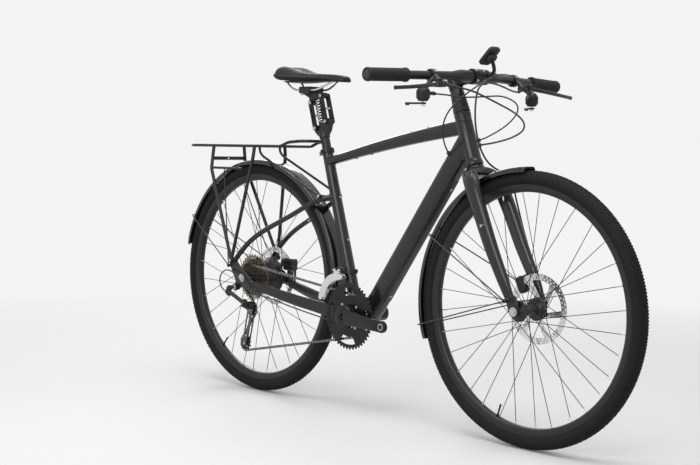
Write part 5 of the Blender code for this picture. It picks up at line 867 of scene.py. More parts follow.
def frame_tubes():
    """The whole welded frame as one skin: tubes, stays, dropouts, eyelets and bridges."""
    bm = bmesh.new()
    wide, deep = 0.0236, 0.0276
    beam(bm, [
        (down_tube(-0.02, 0), wide, deep * 0.93), (down_tube(0.06, 0), wide, deep), (down_tube(0.3, 0), wide, deep),
        (down_tube(DOWN_TUBE_LENGTH - 0.1, 0), wide, deep), (down_tube(DOWN_TUBE_LENGTH, 0), wide * 0.88, deep),
    ], 3.4, 48)
    beam(bm, [(top_tube(share), 0.0166, 0.0118 + 0.009 * share) for share in (0, 0.33, 0.66, 0.99)], 2.6, 40)
    lathe(bm, [(0, -0.0035), (0.0183, -0.0035), (0.0157, 0.4915), (0, 0.4915)], SEAT_FOOT, SEAT_UP, 40)
    head = [
        (0, 0.0005), (0.0246, 0.0005), (0.0246, 0.01), (0.0219, 0.018), (0.0217, 0.133), (0.0228, 0.138),
        (0.0228, 0.1465), (0, 0.1465),
    ]
    lathe(bm, head, CROWN_RACE, STEER_UP, 48)
    shell = [(0, -SHELL_HALF), (0.0213, -SHELL_HALF), (0.0213, SHELL_HALF), (0, SHELL_HALF)]
    lathe(bm, shell, BOTTOM_BRACKET, LEFT, 48)
    for side in (1, -1):
        chain_stay(bm, side)
        seat_stay(bm, side)
        dropout(bm, side)
        for eyelet, radius in ((RACK_EYELET, 0.0073), (MUDGUARD_EYELET, 0.0046)):
            rod(bm, sided(eyelet, side), Vector((eyelet.x, side * DROPOUT_Y, eyelet.z)), radius, 20)
    bridges = (SEAT_BRIDGE, BRIDGE_RADIUS, 0.036), (CHAIN_BRIDGE, BRIDGE_RADIUS, 0.032), (STRUT_EYELET, 0.0053, 0.036)
    for place, radius, reach in bridges:
        cross_rod(bm, place, radius, -reach, reach, 24)
    block(bm, (0.033, 0.0096, 0.021), rear(0.0675, 0.0655, -0.0102))
    cast(piece("frame_tubes", bm, FRAME_PAINT, "main_frame"), 0.0021, 8)


def hollow_ends():
    """The metal faces where the bottom bracket's shell and the dropouts are open."""
    bm = bmesh.new()
    for side, inner, outer in ((-1, -0.0005, 0.001), (1, -0.001, 0.0005)):
        face = [(0.016, inner), (0.0214, inner), (0.0214, outer), (0.016, outer)]
        lathe(bm, face, BOTTOM_BRACKET + side * (SHELL_HALF + 0.0005) * LEFT, LEFT, 48)
    piece("shell_faces", bm, ANODISED, "main_frame")
    bm = bmesh.new()
    for side in (1, -1):
        centre = REAR_AXLE + side * (DROPOUT_Y + 0.0032) * LEFT
        lathe(bm, [(0.0063, 0), (0.0125, 0), (0.0125, 0.0006), (0.0063, 0.0006)], centre, side * LEFT, 32)
    piece("dropout_faces", bm, STEEL, "main_frame")


def bolt(bm, centre, axis, radius, height=0.0022):
    """A round-headed bolt with a socket in its top."""
    profile = [(0, 0.3), (0.45, 0.3), (0.48, 1), (0.86, 1), (1, 0.72), (1, 0), (0, 0)]
    lathe(bm, [(radius * out, height * up) for out, up in profile], centre, axis, 24)


def bolt_pair(bm, centre, away, radius, height):
    """A bolt on the left and one on the right, each as far away from the centre and facing outwards."""
    for side in (1, -1):
        bolt(bm, centre + side * away * LEFT, side * LEFT, radius, height)


def bosses():
    """The threaded bosses for bottles, bag and rack, with their bolts."""
    places = []
    for along in (0.345, 0.219):
        tube_radius = 0.0185 - 0.0027 * along / SEAT_TUBE_LENGTH
        places.append((seat(along, tube_radius - 0.0012), -SEAT_BACK))
    places += [(down_tube(along, -0.0272), -UNDERSIDE) for along in (0.18, 0.244)]
    places += [(top_tube(share, 0.0008 - top_tube_half_height(share)), -UP) for share in (0.215, 0.335)]
    places += [(top_tube(share, top_tube_half_height(share) - 0.0008), UP) for share in (0.632, 0.746)]
    collars, bolts = bmesh.new(), bmesh.new()
    for place, axis in places:
        lathe(collars, [(0, 0), (0.0047, 0), (0.0042, 0.0022), (0, 0.0022)], place, axis, 24)
        bolt(bolts, place + 0.0018 * axis, axis, 0.0034, 0.0011)
    piece("boss_collars", collars, FRAME_PAINT, "main_frame")
    piece("boss_bolts", bolts, STEEL, "main_frame")


def battery_cover():
    """The removable cover let into the down tube's underside, with its two fixing screws."""
    size = (COVER_LENGTH - 0.002, 0.0286, 0.0046)
    bm = bmesh.new()
    block(bm, size, down_tube(COVER_START + COVER_LENGTH / 2, 0.0262), aligned(DOWN_TUBE_RUN, UNDERSIDE), 0.0021, 3)
    piece("battery_cover_skin", bm, SATIN_BLACK, "battery_cover")
    bm = bmesh.new()
    for along in (COVER_START + 0.02, COVER_START + COVER_LENGTH - 0.03):
        bolt(bm, down_tube(along, 0.0283), UNDERSIDE, 0.0039, 0.0019)
    piece("battery_cover_screws", bm, STEEL, "battery_cover")


def cable_ports():
    """The rubber plugs where a hose and two cables enter the frame."""
    bm = bmesh.new()
    for path in (REAR_HOSE, REAR_GEAR_CABLE, FRONT_GEAR_CABLE):
        inner, outer = path[-1], path[-2]
        length = (outer - inner).length
        plug = [
            (0.0024, 0.006), (0.0052, 0.006), (0.0058, 0.009), (0.0058, length - 0.0012),
            (0.0046, length - 0.0004), (0.0024, length - 0.0004),
        ]
        lathe(bm, plug, inner, (outer - inner).normalized(), 28)
    piece("cable_ports", bm, TOP_COVER, "main_frame")


def seat_collar():
    """The clamp round the seat tube's top, with the two ears behind and the bolt through them."""
    bm = bmesh.new()
    band = [
        (0.016, -0.0128), (0.0194, -0.0128), (0.0204, -0.0118), (0.0204, -0.0004), (0.0194, 0.0006), (0.016, 0.0006),
    ]
    lathe(bm, band, SEAT_TOP, SEAT_UP, 56)
    middle = SEAT_TOP - 0.006 * SEAT_UP
    for side in (1, -1):
        ear = middle + 0.0226 * SEAT_BACK + side * 0.0044 * LEFT
        block(bm, (0.0118, 0.007, 0.0114), ear, aligned(SEAT_BACK, SEAT_UP), 0.0016, 3)
    piece("seat_collar", bm, ANODISED, "seat_clamp")
    bm = bmesh.new()
    centre = middle + 0.024 * SEAT_BACK
    chamfered_rod(bm, centre - 0.0098 * LEFT, centre + 0.01 * LEFT, 0.0027, 20, 0.0005)
    piece("seat_collar_bolt", bm, STEEL, "seat_clamp")


# Fork, stem and handlebar

LEG_DOWN = Vector((0.4618, 0, -0.887))
LEG_FORE = Vector((0.887, 0, 0.4618))
FORK_TIP_Y = 0.056
FORK_EYELET = front(-0.015, 0.0735, 0.027)
FRONT_CALIPER = front(-0.057, 0.0448, 0.057)
BAR_SWEEP = (front(-0.216, BAR_HALF, 0.577) - BAR_CENTRE - BAR_HALF * LEFT) / (BAR_HALF - BAR_BEND)
BAR_RUN = (LEFT + BAR_SWEEP).normalized()
CONTROL_Y = 0.16
LEVER_PIVOT = front(-0.154, 0.181, 0.563)
SHIFTER_POD = front(-0.174, 0.213, 0.535)


def bar_point(y):
    return BAR_CENTRE + y * LEFT + max(0.0, abs(y) - BAR_BEND) * BAR_SWEEP


def bar_direction(side):
    return Vector((BAR_RUN.x, side * BAR_RUN.y, BAR_RUN.z))


def fork():
    """The crown, the two swept legs, their tips and the mounts on them."""
    bm = bmesh.new()
    half_crown = [
        (steer(-0.028, 0.01, 0.05), 0.0185, 0.0118), (steer(-0.019, 0.004, 0.03), 0.0216, 0.0132),
    ]
    right_half = [(sided(centre, -1), wide, high) for centre, wide, high in half_crown]
    crown = [*right_half, (steer(-0.0165, 0, 0), 0.0236, 0.0133), *reversed(half_crown)]
    loft(bm, crown, STEER_FORE, STEER_UP, 5, 2.6)
    rod(bm, steer(-0.014, 0, 0), steer(-0.0006, 0, 0), 0.0238, 40)
    leg = [
        (steer(-0.016, 0.005, 0.036), 0.012, 0.02), (front(-0.154, 0.05, 0.32), 0.0148, 0.0228),
        (front(-0.122, 0.058, 0.26), 0.0138, 0.0213), (front(-0.075, 0.06, 0.157), 0.0118, 0.0193),
        (front(-0.03, 0.0612, 0.071), 0.0093, 0.0163), (front(-0.0095, 0.06, 0.029), 0.0068, 0.0128),
    ]
    tip = [
        (0.014, -0.003), (0.01, -0.012), (0.0, -0.0147), (-0.01, -0.012), (-0.016, 0.0), (-0.0247, 0.024),
        (-0.022, 0.045), (0.004, 0.039), (0.012, 0.018),
    ]
    for side in (1, -1):
        loft(bm, [(sided(centre, side), wide, high) for centre, wide, high in leg], LEFT, LEG_FORE, 6, 2.4)
        punched(bm, [tip], 0.0077, in_side_view(FRONT_AXLE + side * FORK_TIP_Y * LEFT))
        rod(bm, Vector((FORK_EYELET.x, side * FORK_TIP_Y, FORK_EYELET.z)), sided(FORK_EYELET, side), 0.0049, 20)
    boss = front(-0.0975, -0.06, 0.209)
    rod(bm, boss, boss - 0.0144 * LEFT, 0.0049, 20)
    mount = FRONT_CALIPER + 0.0155 * LEFT
    rod(bm, mount + 0.03 * LEG_FORE, mount + 0.0116 * LEG_FORE, 0.0083, 24)
    cast(piece("fork_body", bm, FORK_PAINT, "fork"), 0.0017, 7)
    bm = bmesh.new()
    for side in (1, -1):
        face = FRONT_AXLE + side * (FORK_TIP_Y + 0.0037) * LEFT
        lathe(bm, [(0.0063, 0), (0.0115, 0), (0.0115, 0.0005), (0.0063, 0.0005)], face, side * LEFT, 32)
    bolt(bm, boss - 0.014 * LEFT, -LEFT, 0.0034, 0.001)
    piece("fork_trim", bm, STEEL, "fork")


def stem():
    """The stem's body and bar clamp with their bolts, and the tapering spacers below."""
    bm = bmesh.new()
    sleeve = [
        (0.0148, 0.213), (0.0189, 0.2133), (0.019, 0.214), (0.019, 0.249), (0.018, 0.2506), (0.0148, 0.251),
    ]
    lathe(bm, sleeve, CROWN_RACE, STEER_UP, 56)
    middle = steer(0.2323, 0, 0)
    reach = BAR_CENTRE - middle
    beam(bm, [
        (middle, 0.015, 0.0158), (middle.lerp(BAR_CENTRE, 0.5), 0.0143, 0.0138),
        (BAR_CENTRE - reach * 0.12, 0.0182, 0.0149),
    ], 2.6, 40, 6)
    cast(piece("stem_body", bm, ANODISED, "stem"), 0.0013, 5)
    bm = bmesh.new()
    collar(bm, BAR_CENTRE, LEFT, 0.0162, 0.0205, 0.0208, (0.0005, 0.0006), 56)
    piece("stem_clamp", bm, ANODISED, "stem")
    bm = bmesh.new()
    forward = reach.normalized()
    upward = forward.cross(LEFT) * -1
    for across in (-0.0135, 0.0135):
        for height in (-0.0128, 0.0128):
            place = BAR_CENTRE + across * LEFT + height * upward
            bolt(bm, place + 0.0152 * forward, forward, 0.0034, 0.0022)
    for along in (0.2225, 0.2405):
        chamfered_rod(bm, steer(along, -0.0172, -0.0095), steer(along, -0.0172, 0.0095), 0.0023, 18, 0.0004)
    cap = [
        (0, 0.2506), (0.0136, 0.2506), (0.014, 0.2512), (0.0134, 0.2528), (0.0042, 0.2532), (0.0038, 0.252),
        (0, 0.252),
    ]
    lathe(bm, cap, CROWN_RACE, STEER_UP, 48)
    piece("stem_bolts", bm, STEEL, "stem")
    bm = bmesh.new()
    for spacer in (
        [(0.015, 0.1473), (0.0224, 0.1473), (0.0226, 0.1482), (0.0216, 0.1632), (0.0212, 0.164), (0.015, 0.164)],
        [(0.015, 0.1645), (0.0211, 0.1645), (0.0213, 0.1652), (0.0178, 0.2082), (0.0174, 0.209), (0.015, 0.209)],
        [(0.015, 0.2095), (0.0184, 0.2095), (0.0188, 0.21), (0.0189, 0.2124), (0.015, 0.2128)],
    ):
        lathe(bm, spacer, CROWN_RACE, STEER_UP, 56)
    piece("spacer_cone", bm, SATIN_BLACK, "stem")


def handlebar():
    """The bar, thick in the middle, where the stem clamps it, and thinner outwards."""
    half = (
        (0.058, 0.01585), (0.066, 0.0156), (0.078, 0.0133), (0.09, 0.0114), (0.1, 0.0111), (0.13, 0.0111),
        (0.24, 0.0111), (0.3668, 0.0111),
    )
    stations = [(-y, radius) for y, radius in reversed(half)] + [(0, 0.01585), *half]
    bm = bmesh.new()
    pipe(bm, [bar_point(y) for y, _ in stations], None, 40, [radius for _, radius in stations])
    piece("handlebar_tube", bm, SATIN_BLACK, "handlebar")


def grip(side):
    """A rubber grip with raised ribs under the fingers, a flanged inner end and a plugged outer end."""
    end, run, name = bar_point(side * BAR_HALF), bar_direction(side), hand(side)
    profile = [(0.0115, -0.128), (0.0172, -0.128), (0.0178, -0.1272), (0.018, -0.1215), (0.0168, -0.119)]
    along = -0.1165
    while along < -0.016:
        profile += [(0.0158, along), (0.0165, along + 0.0006), (0.0165, along + 0.0022), (0.0158, along + 0.0028)]
        along += 0.0042
    profile += [(0.016, -0.0125), (0.0172, -0.0095), (0.0172, -0.003), (0.0158, -0.0005), (0.0115, -0.0005)]
    bm = bmesh.new()
    lathe(bm, profile, end, run, 56)
    piece(f"{name}_grip_sleeve", bm, GRIP_RUBBER, f"grip_{name}", angle=40)
    bm = bmesh.new()
    lathe(bm, [(0, -0.006), (0.0114, -0.006), (0.0114, -0.0012), (0.0105, -0.0002), (0, -0.0002)], end, run, 40)
    piece(f"{name}_bar_plug", bm, GLOSS_BLACK, f"grip_{name}")


def control(side):
    """The bar clamp, lever body and round shifter pod of one side, with their bolts and the hoses' boots."""
    name = hand(side)
    node = f"controls_{name}"
    place, pivot, pod = bar_point(side * CONTROL_Y), sided(LEVER_PIVOT, side), sided(SHIFTER_POD, side)
    ahead = place + 0.0135 * FORWARD
    bm = bmesh.new()
    rod(bm, ahead - 0.004 * FORWARD, sided(front(-0.162, 0.162, 0.563), side), 0.007, 28)
    barrel = sided(front(-0.163, 0.146, 0.562), side), sided(front(-0.16, 0.1715, 0.563), side)
    chamfered_rod(bm, *barrel, 0.0084, 36, 0.0012)
    for way in (1, -1):
        jaw = pivot + way * 0.009 * UP - side * 0.0035 * LEFT - 0.001 * FORWARD
        block(bm, (0.0166, 0.0225, 0.0034), jaw, None, 0.0012, 3)
    collar(bm, place, bar_direction(side), 0.0115, 0.0165, 0.0074, (0.0005, 0.0008), 48)
    cast(piece(f"{name}_lever_body", bm, SATIN_BLACK, node), 0.0009, 4)
    bm = bmesh.new()
    lathe(bm, [
        (0, -0.018), (0.0108, -0.018), (0.0114, -0.0174), (0.0168, -0.0102), (0.017, -0.0094), (0.0174, 0.0066),
        (0.017, 0.0078), (0.0112, 0.0172), (0.0102, 0.018), (0, 0.018),
    ], pod, UP, 56)
    chamfered_rod(bm, pod, sided(front(-0.1647, 0.186, 0.5375), side), 0.0046, 28, 0.0008)
    rod(bm, ahead - 0.003 * FORWARD - 0.003 * UP, pod + 0.01 * UP, 0.0058, 24)
    piece(f"{name}_shifter_pod", bm, MATTE_BLACK, node)
    bm = bmesh.new()
    rod(bm, pod - 0.014 * UP, pod - 0.0278 * UP, 0.0029, 20)
    washer = [(0, 0), (0.005, 0), (0.0058, 0.0006), (0.0058, 0.0022), (0, 0.0022)]
    lathe(bm, washer, pod - 0.0303 * UP, UP, 32)
    centred(bm, pivot, 0.01 * UP, 0.0026, 20)
    bolt(bm, pivot + 0.0104 * UP, UP, 0.0036, 0.001)
    bolt(bm, pod + 0.0172 * UP, UP, 0.004, 0.0008)
    bolt(bm, place + 0.013 * FORWARD + 0.01 * UP, (FORWARD + UP).normalized(), 0.003, 0.0012)
    piece(f"{name}_control_bolts", bm, STEEL, node)
    hose, cable = (FRONT_HOSE, FRONT_GEAR_CABLE) if side > 0 else (REAR_HOSE, REAR_GEAR_CABLE)
    bm = bmesh.new()
    ribs = smooth_path(hose[:4], 5)[:9]
    pipe(bm, ribs, None, 24, [0.0046 if k % 2 else 0.0038 for k in range(len(ribs))])
    boot = [
        (0.0024, -0.002), (0.0043, -0.002), (0.0046, 0.0), (0.0046, 0.007), (0.0036, 0.01), (0.0024, 0.01),
    ]
    lathe(bm, boot, cable[0], (cable[1] - cable[0]).normalized(), 24)
    piece(f"{name}_hose_boots", bm, TOP_COVER, node)


def brake_lever(side):
    """A slender blade that thins outwards to a small bulb at its tip."""
    name = hand(side)
    points = [sided(point, side) for point in (
        LEVER_PIVOT, front(-0.1425, 0.198, 0.559), front(-0.138, 0.212, 0.557), front(-0.1355, 0.243, 0.5535),
        front(-0.135, 0.275, 0.55), front(-0.1375, 0.305, 0.5472), front(-0.141, 0.335, 0.545),
        front(-0.145, 0.346, 0.544),
    )]
    path = smooth_path(points, 6)
    bm = bmesh.new()
    rings = []
    for index, point in enumerate(path):
        run = run_at(path, index)
        fore = run.cross(UP).normalized()
        upward = fore.cross(run).normalized()
        share = index / (len(path) - 1)
        tip = 0.3 if share > 0.985 else 1.0
        bulb = 0.0009 * max(0.0, 1 - abs(share - 0.95) / 0.06)
        wide, high = (0.0042 + bulb) * tip, (0.0054 - 0.001 * share + bulb) * tip
        rings.append(oval_ring(bm, point, fore, upward, wide, high, 28, 2.4))
    skin(bm, rings)
    pivot = sided(LEVER_PIVOT, side)
    chamfered_rod(bm, pivot - 0.0066 * UP, pivot + 0.0066 * UP, 0.0073, 36, 0.0008)
    piece(f"{name}_brake_blade", bm, SATIN_BLACK, f"brake_lever_{name}")


def shift_lever(side):
    name = hand(side)
    pivot = sided(SHIFTER_POD, side) - 0.0232 * UP
    reach = Vector((-0.034, side * 0.02, 0))
    outline = band_outline([(0, 0, 0.0079), (-0.034, side * 0.02, 0.0061)], 28)
    bm = bmesh.new()
    punched(bm, [outline, round_outline(0.0034, 20)], 0.0044, Matrix.Translation(pivot))
    rounded(piece(f"{name}_shift_blade", bm, MATTE_BLACK, f"shift_lever_{name}"), 0.0009, 3)
    bm = bmesh.new()
    pad = [(0, -0.005), (0.0042, -0.005), (0.0051, -0.0042), (0.0051, 0.0012), (0.0046, 0.002), (0, 0.002)]
    lathe(bm, pad, pivot + reach, UP, 32)
    piece(f"{name}_shift_pad", bm, GRIP_RUBBER, f"shift_lever_{name}")


def display():
    """The small display with its window, and the clamp and bent arm that carry it."""
    tilt = math.radians(44)
    centre = front(-0.144, 0, 0.639)
    long_way = heading(tilt)
    face = leftward(tilt)

    def plate(half_length, half_width, levels, power):
        """A plate with a rounded rim, as (height, shrinkage) levels."""
        bm = bmesh.new()
        skin(bm, [
            oval_ring(bm, centre + level * face, long_way, LEFT, half_length - less, half_width - less, 64, power)
            for level, less in levels
        ])
        return bm

    case_levels = (
        (-0.00515, 0.003), (-0.0045, 0.0012), (-0.0022, 0.0002), (0.003, 0.0002), (0.0044, 0.0008), (0.005, 0.002),
        (0.0052, 0.0034),
    )
    piece("display_case", plate(0.029, 0.02, case_levels, 6.0), MATTE_BLACK, "display")
    window_levels = (0.0046, 0.0), (0.00522, 0.0), (0.0054, 0.0006)
    piece("display_window", plate(0.025, 0.0165, window_levels, 7.0), SCREEN, "display")
    puck = centre - 0.00555 * face
    bm = bmesh.new()
    lathe(bm, [
        (0, -0.0085), (0.014, -0.0085), (0.0149, -0.0076), (0.0149, -0.001), (0.0142, -0.0002), (0, -0.0002),
    ], puck, face, 48)
    place = bar_point(0.0295)
    collar(bm, place, LEFT, 0.0162, 0.0201, 0.0059, (0.0005, 0.0007), 48)
    arm = [
        place + 0.018 * FORWARD, place + 0.026 * FORWARD + 0.005 * UP, front(-0.148, 0.024, 0.605),
        puck - 0.006 * face,
    ]
    pipe(bm, smooth_path(arm, 8), 0.0048, 24)
    piece("display_arm", bm, MATTE_BLACK, "display_mount")
    bm = bmesh.new()
    bolt(bm, place + 0.0205 * FORWARD, FORWARD, 0.0026, 0.0014)
    piece("display_arm_bolt", bm, STEEL, "display_mount")


# Wheels

ROTOR_SEAT = 0.0173
TYRE_CENTRE = 0.3306
TYRE_HALF_HEIGHT = 0.0184
TYRE_HALF_WIDTH = 0.0197
KNOB_ROWS = 132
KNOB_HEIGHT = 0.002
KNOB_LIFT = 0.0004
SPOKES_A_SIDE = 16
VALVE_FRONT = math.radians(-108)
VALVE_REAR = math.radians(-128)


def tyre_section(angle):
    """The tyre's round section: the radius and the width out at an angle from its crown."""
    return TYRE_CENTRE + TYRE_HALF_HEIGHT * math.cos(angle), TYRE_HALF_WIDTH * math.sin(angle)


def knob(bm):
    """A unit block that narrows towards its top."""
    for vert in bmesh.ops.create_cube(bm, size=1)["verts"]:
        if vert.co.z > 0:
            vert.co.x *= 0.74
            vert.co.y *= 0.8


def tyre(name, centre):
    """The casing, and on it rows of small slanted knobs that grow and spread towards the shoulders."""
    section = [tyre_section(math.radians(degrees)) for degrees in range(-140, 141, 7)]
    bm = bmesh.new()
    beads = (0.3112, -0.0104), (0.315, -0.0108), (0.315, 0.0108), (0.3112, 0.0104)
    lathe(bm, [*beads[:2], *section, *beads[2:]], centre, LEFT, 160)
    piece(f"{name}_casing", bm, TYRE_RUBBER, f"{name}_tyre", angle=60)
    # degrees from the crown, width, length and lag behind the row
    kinds = (
        (0.0, 0.0036, 0.0058, 0.0), (13.0, 0.0036, 0.005, 0.5), (26.0, 0.0034, 0.0052, 0.0),
        (40.0, 0.0034, 0.0056, 0.5), (55.0, 0.0048, 0.0062, 0.0),
    )
    places = []
    for row in range(KNOB_ROWS):
        for degrees, wide, long, lag in kinds:
            for sign in ((1, -1) if degrees else (1,)):
                tilt = sign * math.radians(degrees)
                radius, y = tyre_section(tilt)
                outward = Vector((math.cos(tilt), math.sin(tilt), 0))
                spin = Matrix.Rotation(-math.tau * (row + lag) / KNOB_ROWS, 4, "Y")
                lift = Matrix.Translation((radius + KNOB_LIFT * outward.x, y + KNOB_LIFT * outward.y, 0))
                stand = Matrix((outward.cross(UP) * -1, UP, outward)).transposed().to_4x4()
                skew = Matrix.Rotation(sign * 0.35, 4, "Z")
                size = Matrix.Diagonal((wide, long, KNOB_HEIGHT, 1))
                places.append(Matrix.Translation(centre) @ spin @ lift @ stand @ skew @ size)
    bm = bmesh.new()
    copies(bm, knob, places)
    piece(f"{name}_knobs", bm, TYRE_RUBBER, f"{name}_tyre", weld=0.0, angle=20)


def rim(name, centre, valve_angle):
    """The hooked hoop and its valve."""
    half = [
        (0.308, 0.0), (0.3085, 0.006), (0.3104, 0.01), (0.3106, 0.0109), (0.3155, 0.0109), (0.3162, 0.0114),
        (0.3162, 0.0121), (0.3158, 0.0125), (0.3115, 0.0125), (0.306, 0.0121), (0.301, 0.0106), (0.2978, 0.0082),
        (0.2963, 0.0052), (0.296, 0.002),
    ]
    bm = bmesh.new()
    lathe(bm, half + [(radius, -y) for radius, y in reversed(half)][:-1], centre, LEFT, 160)
    piece(f"{name}_rim_hoop", bm, SATIN_BLACK, f"{name}_rim", angle=40)
    outward = turned_by(FORWARD, valve_angle)
    bm = bmesh.new()
    lathe(bm, [
        (0, -0.033), (0.0018, -0.033), (0.0023, -0.0324), (0.0023, -0.029), (0.003, -0.0284), (0.003, -0.0262),
        (0.0023, -0.0256), (0.0023, -0.004), (0.004, -0.0036), (0.004, -0.0006), (0.0028, 0.0002), (0.0028, 0.006),
        (0, 0.006),
    ], centre + 0.296 * outward, outward, 24)
    piece(f"{name}_valve", bm, ANODISED, f"{name}_rim")


def laced(name, hub, centre, flanges, crosses):
    """Round spokes with their heads and nipples, each crossing others on its own side."""
    wires, nipples = bmesh.new(), bmesh.new()
    spacing = math.tau / SPOKES_A_SIDE
    for side, (flange_y, flange_radius) in zip((1, -1), flanges):
        for k in range(SPOKES_A_SIDE):
            way = 1 if k % 2 else -1
            hub_angle = spacing * k + spacing / 4 * side
            rim_angle = hub_angle + way * crosses * spacing
            start = centre + (flange_radius - 0.0025) * turned_by(FORWARD, hub_angle)
            end = centre + 0.2945 * turned_by(FORWARD, rim_angle)
            start.y = flange_y + way * 0.0014
            end.y = side * 0.0032 + way * 0.0011
            run = (end - start).normalized()
            rod(wires, start, end, 0.00095, 10)
            ball(wires, start + way * 0.0004 * LEFT, 0.0018, 10)
            rod(nipples, end - 0.0105 * run, end + 0.0005 * run, 0.0016, 12, 0.002)
    piece(f"{name}_spokes", wires, SATIN_BLACK, hub)
    piece(f"{name}_nipples", nipples, STEEL, hub)


def drilled_rotor(name, centre, y):
    """A brake disc with two rows of cooling holes on slanted arms."""
    outlines = [round_outline(0.0898, 120)]
    for start in around(6):
        outer = [start + 0.03 + 0.8 * j / 9 for j in range(10)]
        inner = [start + 0.35 - 0.6 * j / 6 for j in range(7)]
        outlines.append(arc(0.0735, outer) + arc(0.029, inner))
    # ring radius, hole radius, how many and their lag in steps
    for ring, radius, count, lag in ((0.078, 0.0021, 42, 0.0), (0.085, 0.0021, 42, 0.5), (0.0252, 0.0016, 12, 0.25)):
        for place in arc(ring, around(count, math.tau * lag / count)):
            outlines.append(round_outline(radius, 8, place))
    outlines.append(round_outline(ROTOR_SEAT + 0.0003, 40))
    bm = bmesh.new()
    punched(bm, outlines, 0.0018, in_side_view(centre + y * LEFT))
    piece(f"{name}_disc", bm, POLISHED, f"{name}_rotor", angle=20)


def front_hub():
    """The shell with its two flanges and the rotor's seat, and its spokes."""
    bm = bmesh.new()
    lathe(bm, [
        (0.0066, 0.0517), (0.0095, 0.0517), (0.01, 0.0512), (0.014, 0.0478), (0.0165, 0.047), (0.0173, 0.0462),
        (0.0173, 0.0393), (0.0222, 0.0393), (0.0232, 0.0386), (0.0278, 0.035), (0.0288, 0.034), (0.029, 0.0332),
        (0.029, 0.0298), (0.0284, 0.029), (0.02, 0.0262), (0.016, 0.0238), (0.0148, 0.02), (0.0142, 0.0),
        (0.0148, -0.028), (0.0165, -0.0305), (0.0256, -0.0338), (0.0264, -0.0346), (0.0265, -0.0354),
        (0.0265, -0.0388), (0.0258, -0.0396), (0.015, -0.0424), (0.012, -0.044), (0.01, -0.051),
        (0.0095, -0.0517), (0.0066, -0.0517),
    ], FRONT_AXLE, LEFT, 72)
    piece("front_hub_shell", bm, SATIN_BLACK, "front_hub", angle=28)
    laced("front", "front_hub", FRONT_AXLE, ((0.0318, 0.029), (-0.037, 0.0265)), 3)


def motor_hub():
    """The motor's drum with its grooves, ribs and screws, and its spokes."""
    bm = bmesh.new()
    lathe(bm, [
        (0.0066, 0.0707), (0.01, 0.0707), (0.0108, 0.07), (0.0165, 0.0624), (0.0173, 0.0616), (0.0173, 0.0543),
        (0.0226, 0.0543), (0.024, 0.0536), (0.042, 0.0494), (0.044, 0.0484), (0.0548, 0.0448), (0.056, 0.0438),
        (0.056, 0.0402), (0.0554, 0.0394), (0.0535, 0.0378), (0.053, 0.0368), (0.053, 0.0242), (0.0524, 0.0236),
        (0.0524, 0.0224), (0.053, 0.0218), (0.053, -0.001), (0.0524, -0.0016), (0.0524, -0.0028),
        (0.053, -0.0034), (0.053, -0.016), (0.0536, -0.0172), (0.0554, -0.0182), (0.056, -0.019),
        (0.056, -0.0228), (0.0552, -0.0237), (0.043, -0.0255), (0.018, -0.0265), (0.0148, -0.027),
        (0.0148, -0.0664), (0.011, -0.069), (0.01, -0.0707), (0.0066, -0.0707),
    ], REAR_AXLE, LEFT, 96)
    piece("motor_hub_shell", bm, SATIN_BLACK, "motor_hub", angle=24)
    bm = bmesh.new()
    for angle in around(8):
        bolt(bm, REAR_AXLE + 0.0475 * turned_by(FORWARD, angle) + 0.0462 * LEFT, LEFT, 0.0026, 0.0012)
    piece("motor_hub_screws", bm, STEEL, "motor_hub")
    laced("rear", "motor_hub", REAR_AXLE, ((0.042, 0.056), (-0.021, 0.056)), 2)


def lockring(name, hub, centre, y):
    """The ring that holds the brake disc, with the splines for its tool."""
    bm = bmesh.new()
    ring = [(0.011, 0), (0.0192, 0), (0.0194, 0.0004), (0.019, 0.0018), (0.016, 0.0024), (0.011, 0.0024)]
    lathe(bm, ring, centre + y * LEFT, LEFT, 48)
    for angle in around(24):
        place = centre + 0.0188 * turned_by(FORWARD, angle) + (y + 0.0012) * LEFT
        centred(bm, place, 0.001 * LEFT, 0.0007, 8)
    piece(f"{name}_lockring", bm, ANODISED, hub)


def wheels():
    for name, axle in (("front", FRONT_AXLE), ("rear", REAR_AXLE)):
        tyre(name, axle)
    rim("front", FRONT_AXLE, VALVE_FRONT)
    rim("rear", REAR_AXLE, VALVE_REAR)
    front_hub()
    motor_hub()
    drilled_rotor("front", FRONT_AXLE, 0.0405)
    drilled_rotor("rear", REAR_AXLE, 0.0555)
    lockring("front", "front_hub", FRONT_AXLE, 0.0415)
    lockring("rear", "motor_hub", REAR_AXLE, 0.0565)


# Drivetrain

GUIDE_PULLEY = rear(0.014, CHAIN_Y, -0.096)
CAGE_LENGTH = 0.11
CAGE_PIVOT = rear(0.0225, CHAIN_Y, -0.083)
LINK_START = rear(-0.044, -0.089, -0.045)
LINK_END = rear(0.02, -0.083, -0.075)
LINK_RUN = (LINK_END - LINK_START).normalized()
LINK_AXIS = LINK_RUN.cross(LEFT).normalized()
HANGER_HOLE = rear(-0.022, -DROPOUT_Y, -0.029)
SPROCKETS = (11, 13, 15, 17, 20, 23, 26, 30, 34)
SPROCKET_PITCH = 0.00434
CAGE_PLATE_Y = 0.0081
LARGE_RING_Y = CHAIN_Y - 0.008


def pitch_radius(teeth):
    return teeth * CHAIN_PITCH / math.tau


def in_chain_plane(point):
    return Vector((point.x, CHAIN_Y, point.z))


def chain_wheels(cage_angle):
    """The toothed wheels in the chain's order, as (centre, reach); a reach below 0 turns the other way."""
    pulley = pitch_radius(11)
    return [
        (in_chain_plane(BOTTOM_BRACKET), pitch_radius(30)),
        (GUIDE_PULLEY + CAGE_LENGTH * heading(cage_angle), pulley), (GUIDE_PULLEY, -pulley),
        (in_chain_plane(REAR_AXLE), pitch_radius(20)),
    ]


def run_heading(first, second):
    gap = second[0] - first[0]
    return math.atan2(gap.z, gap.x) + math.asin((second[1] - first[1]) / gap.length)


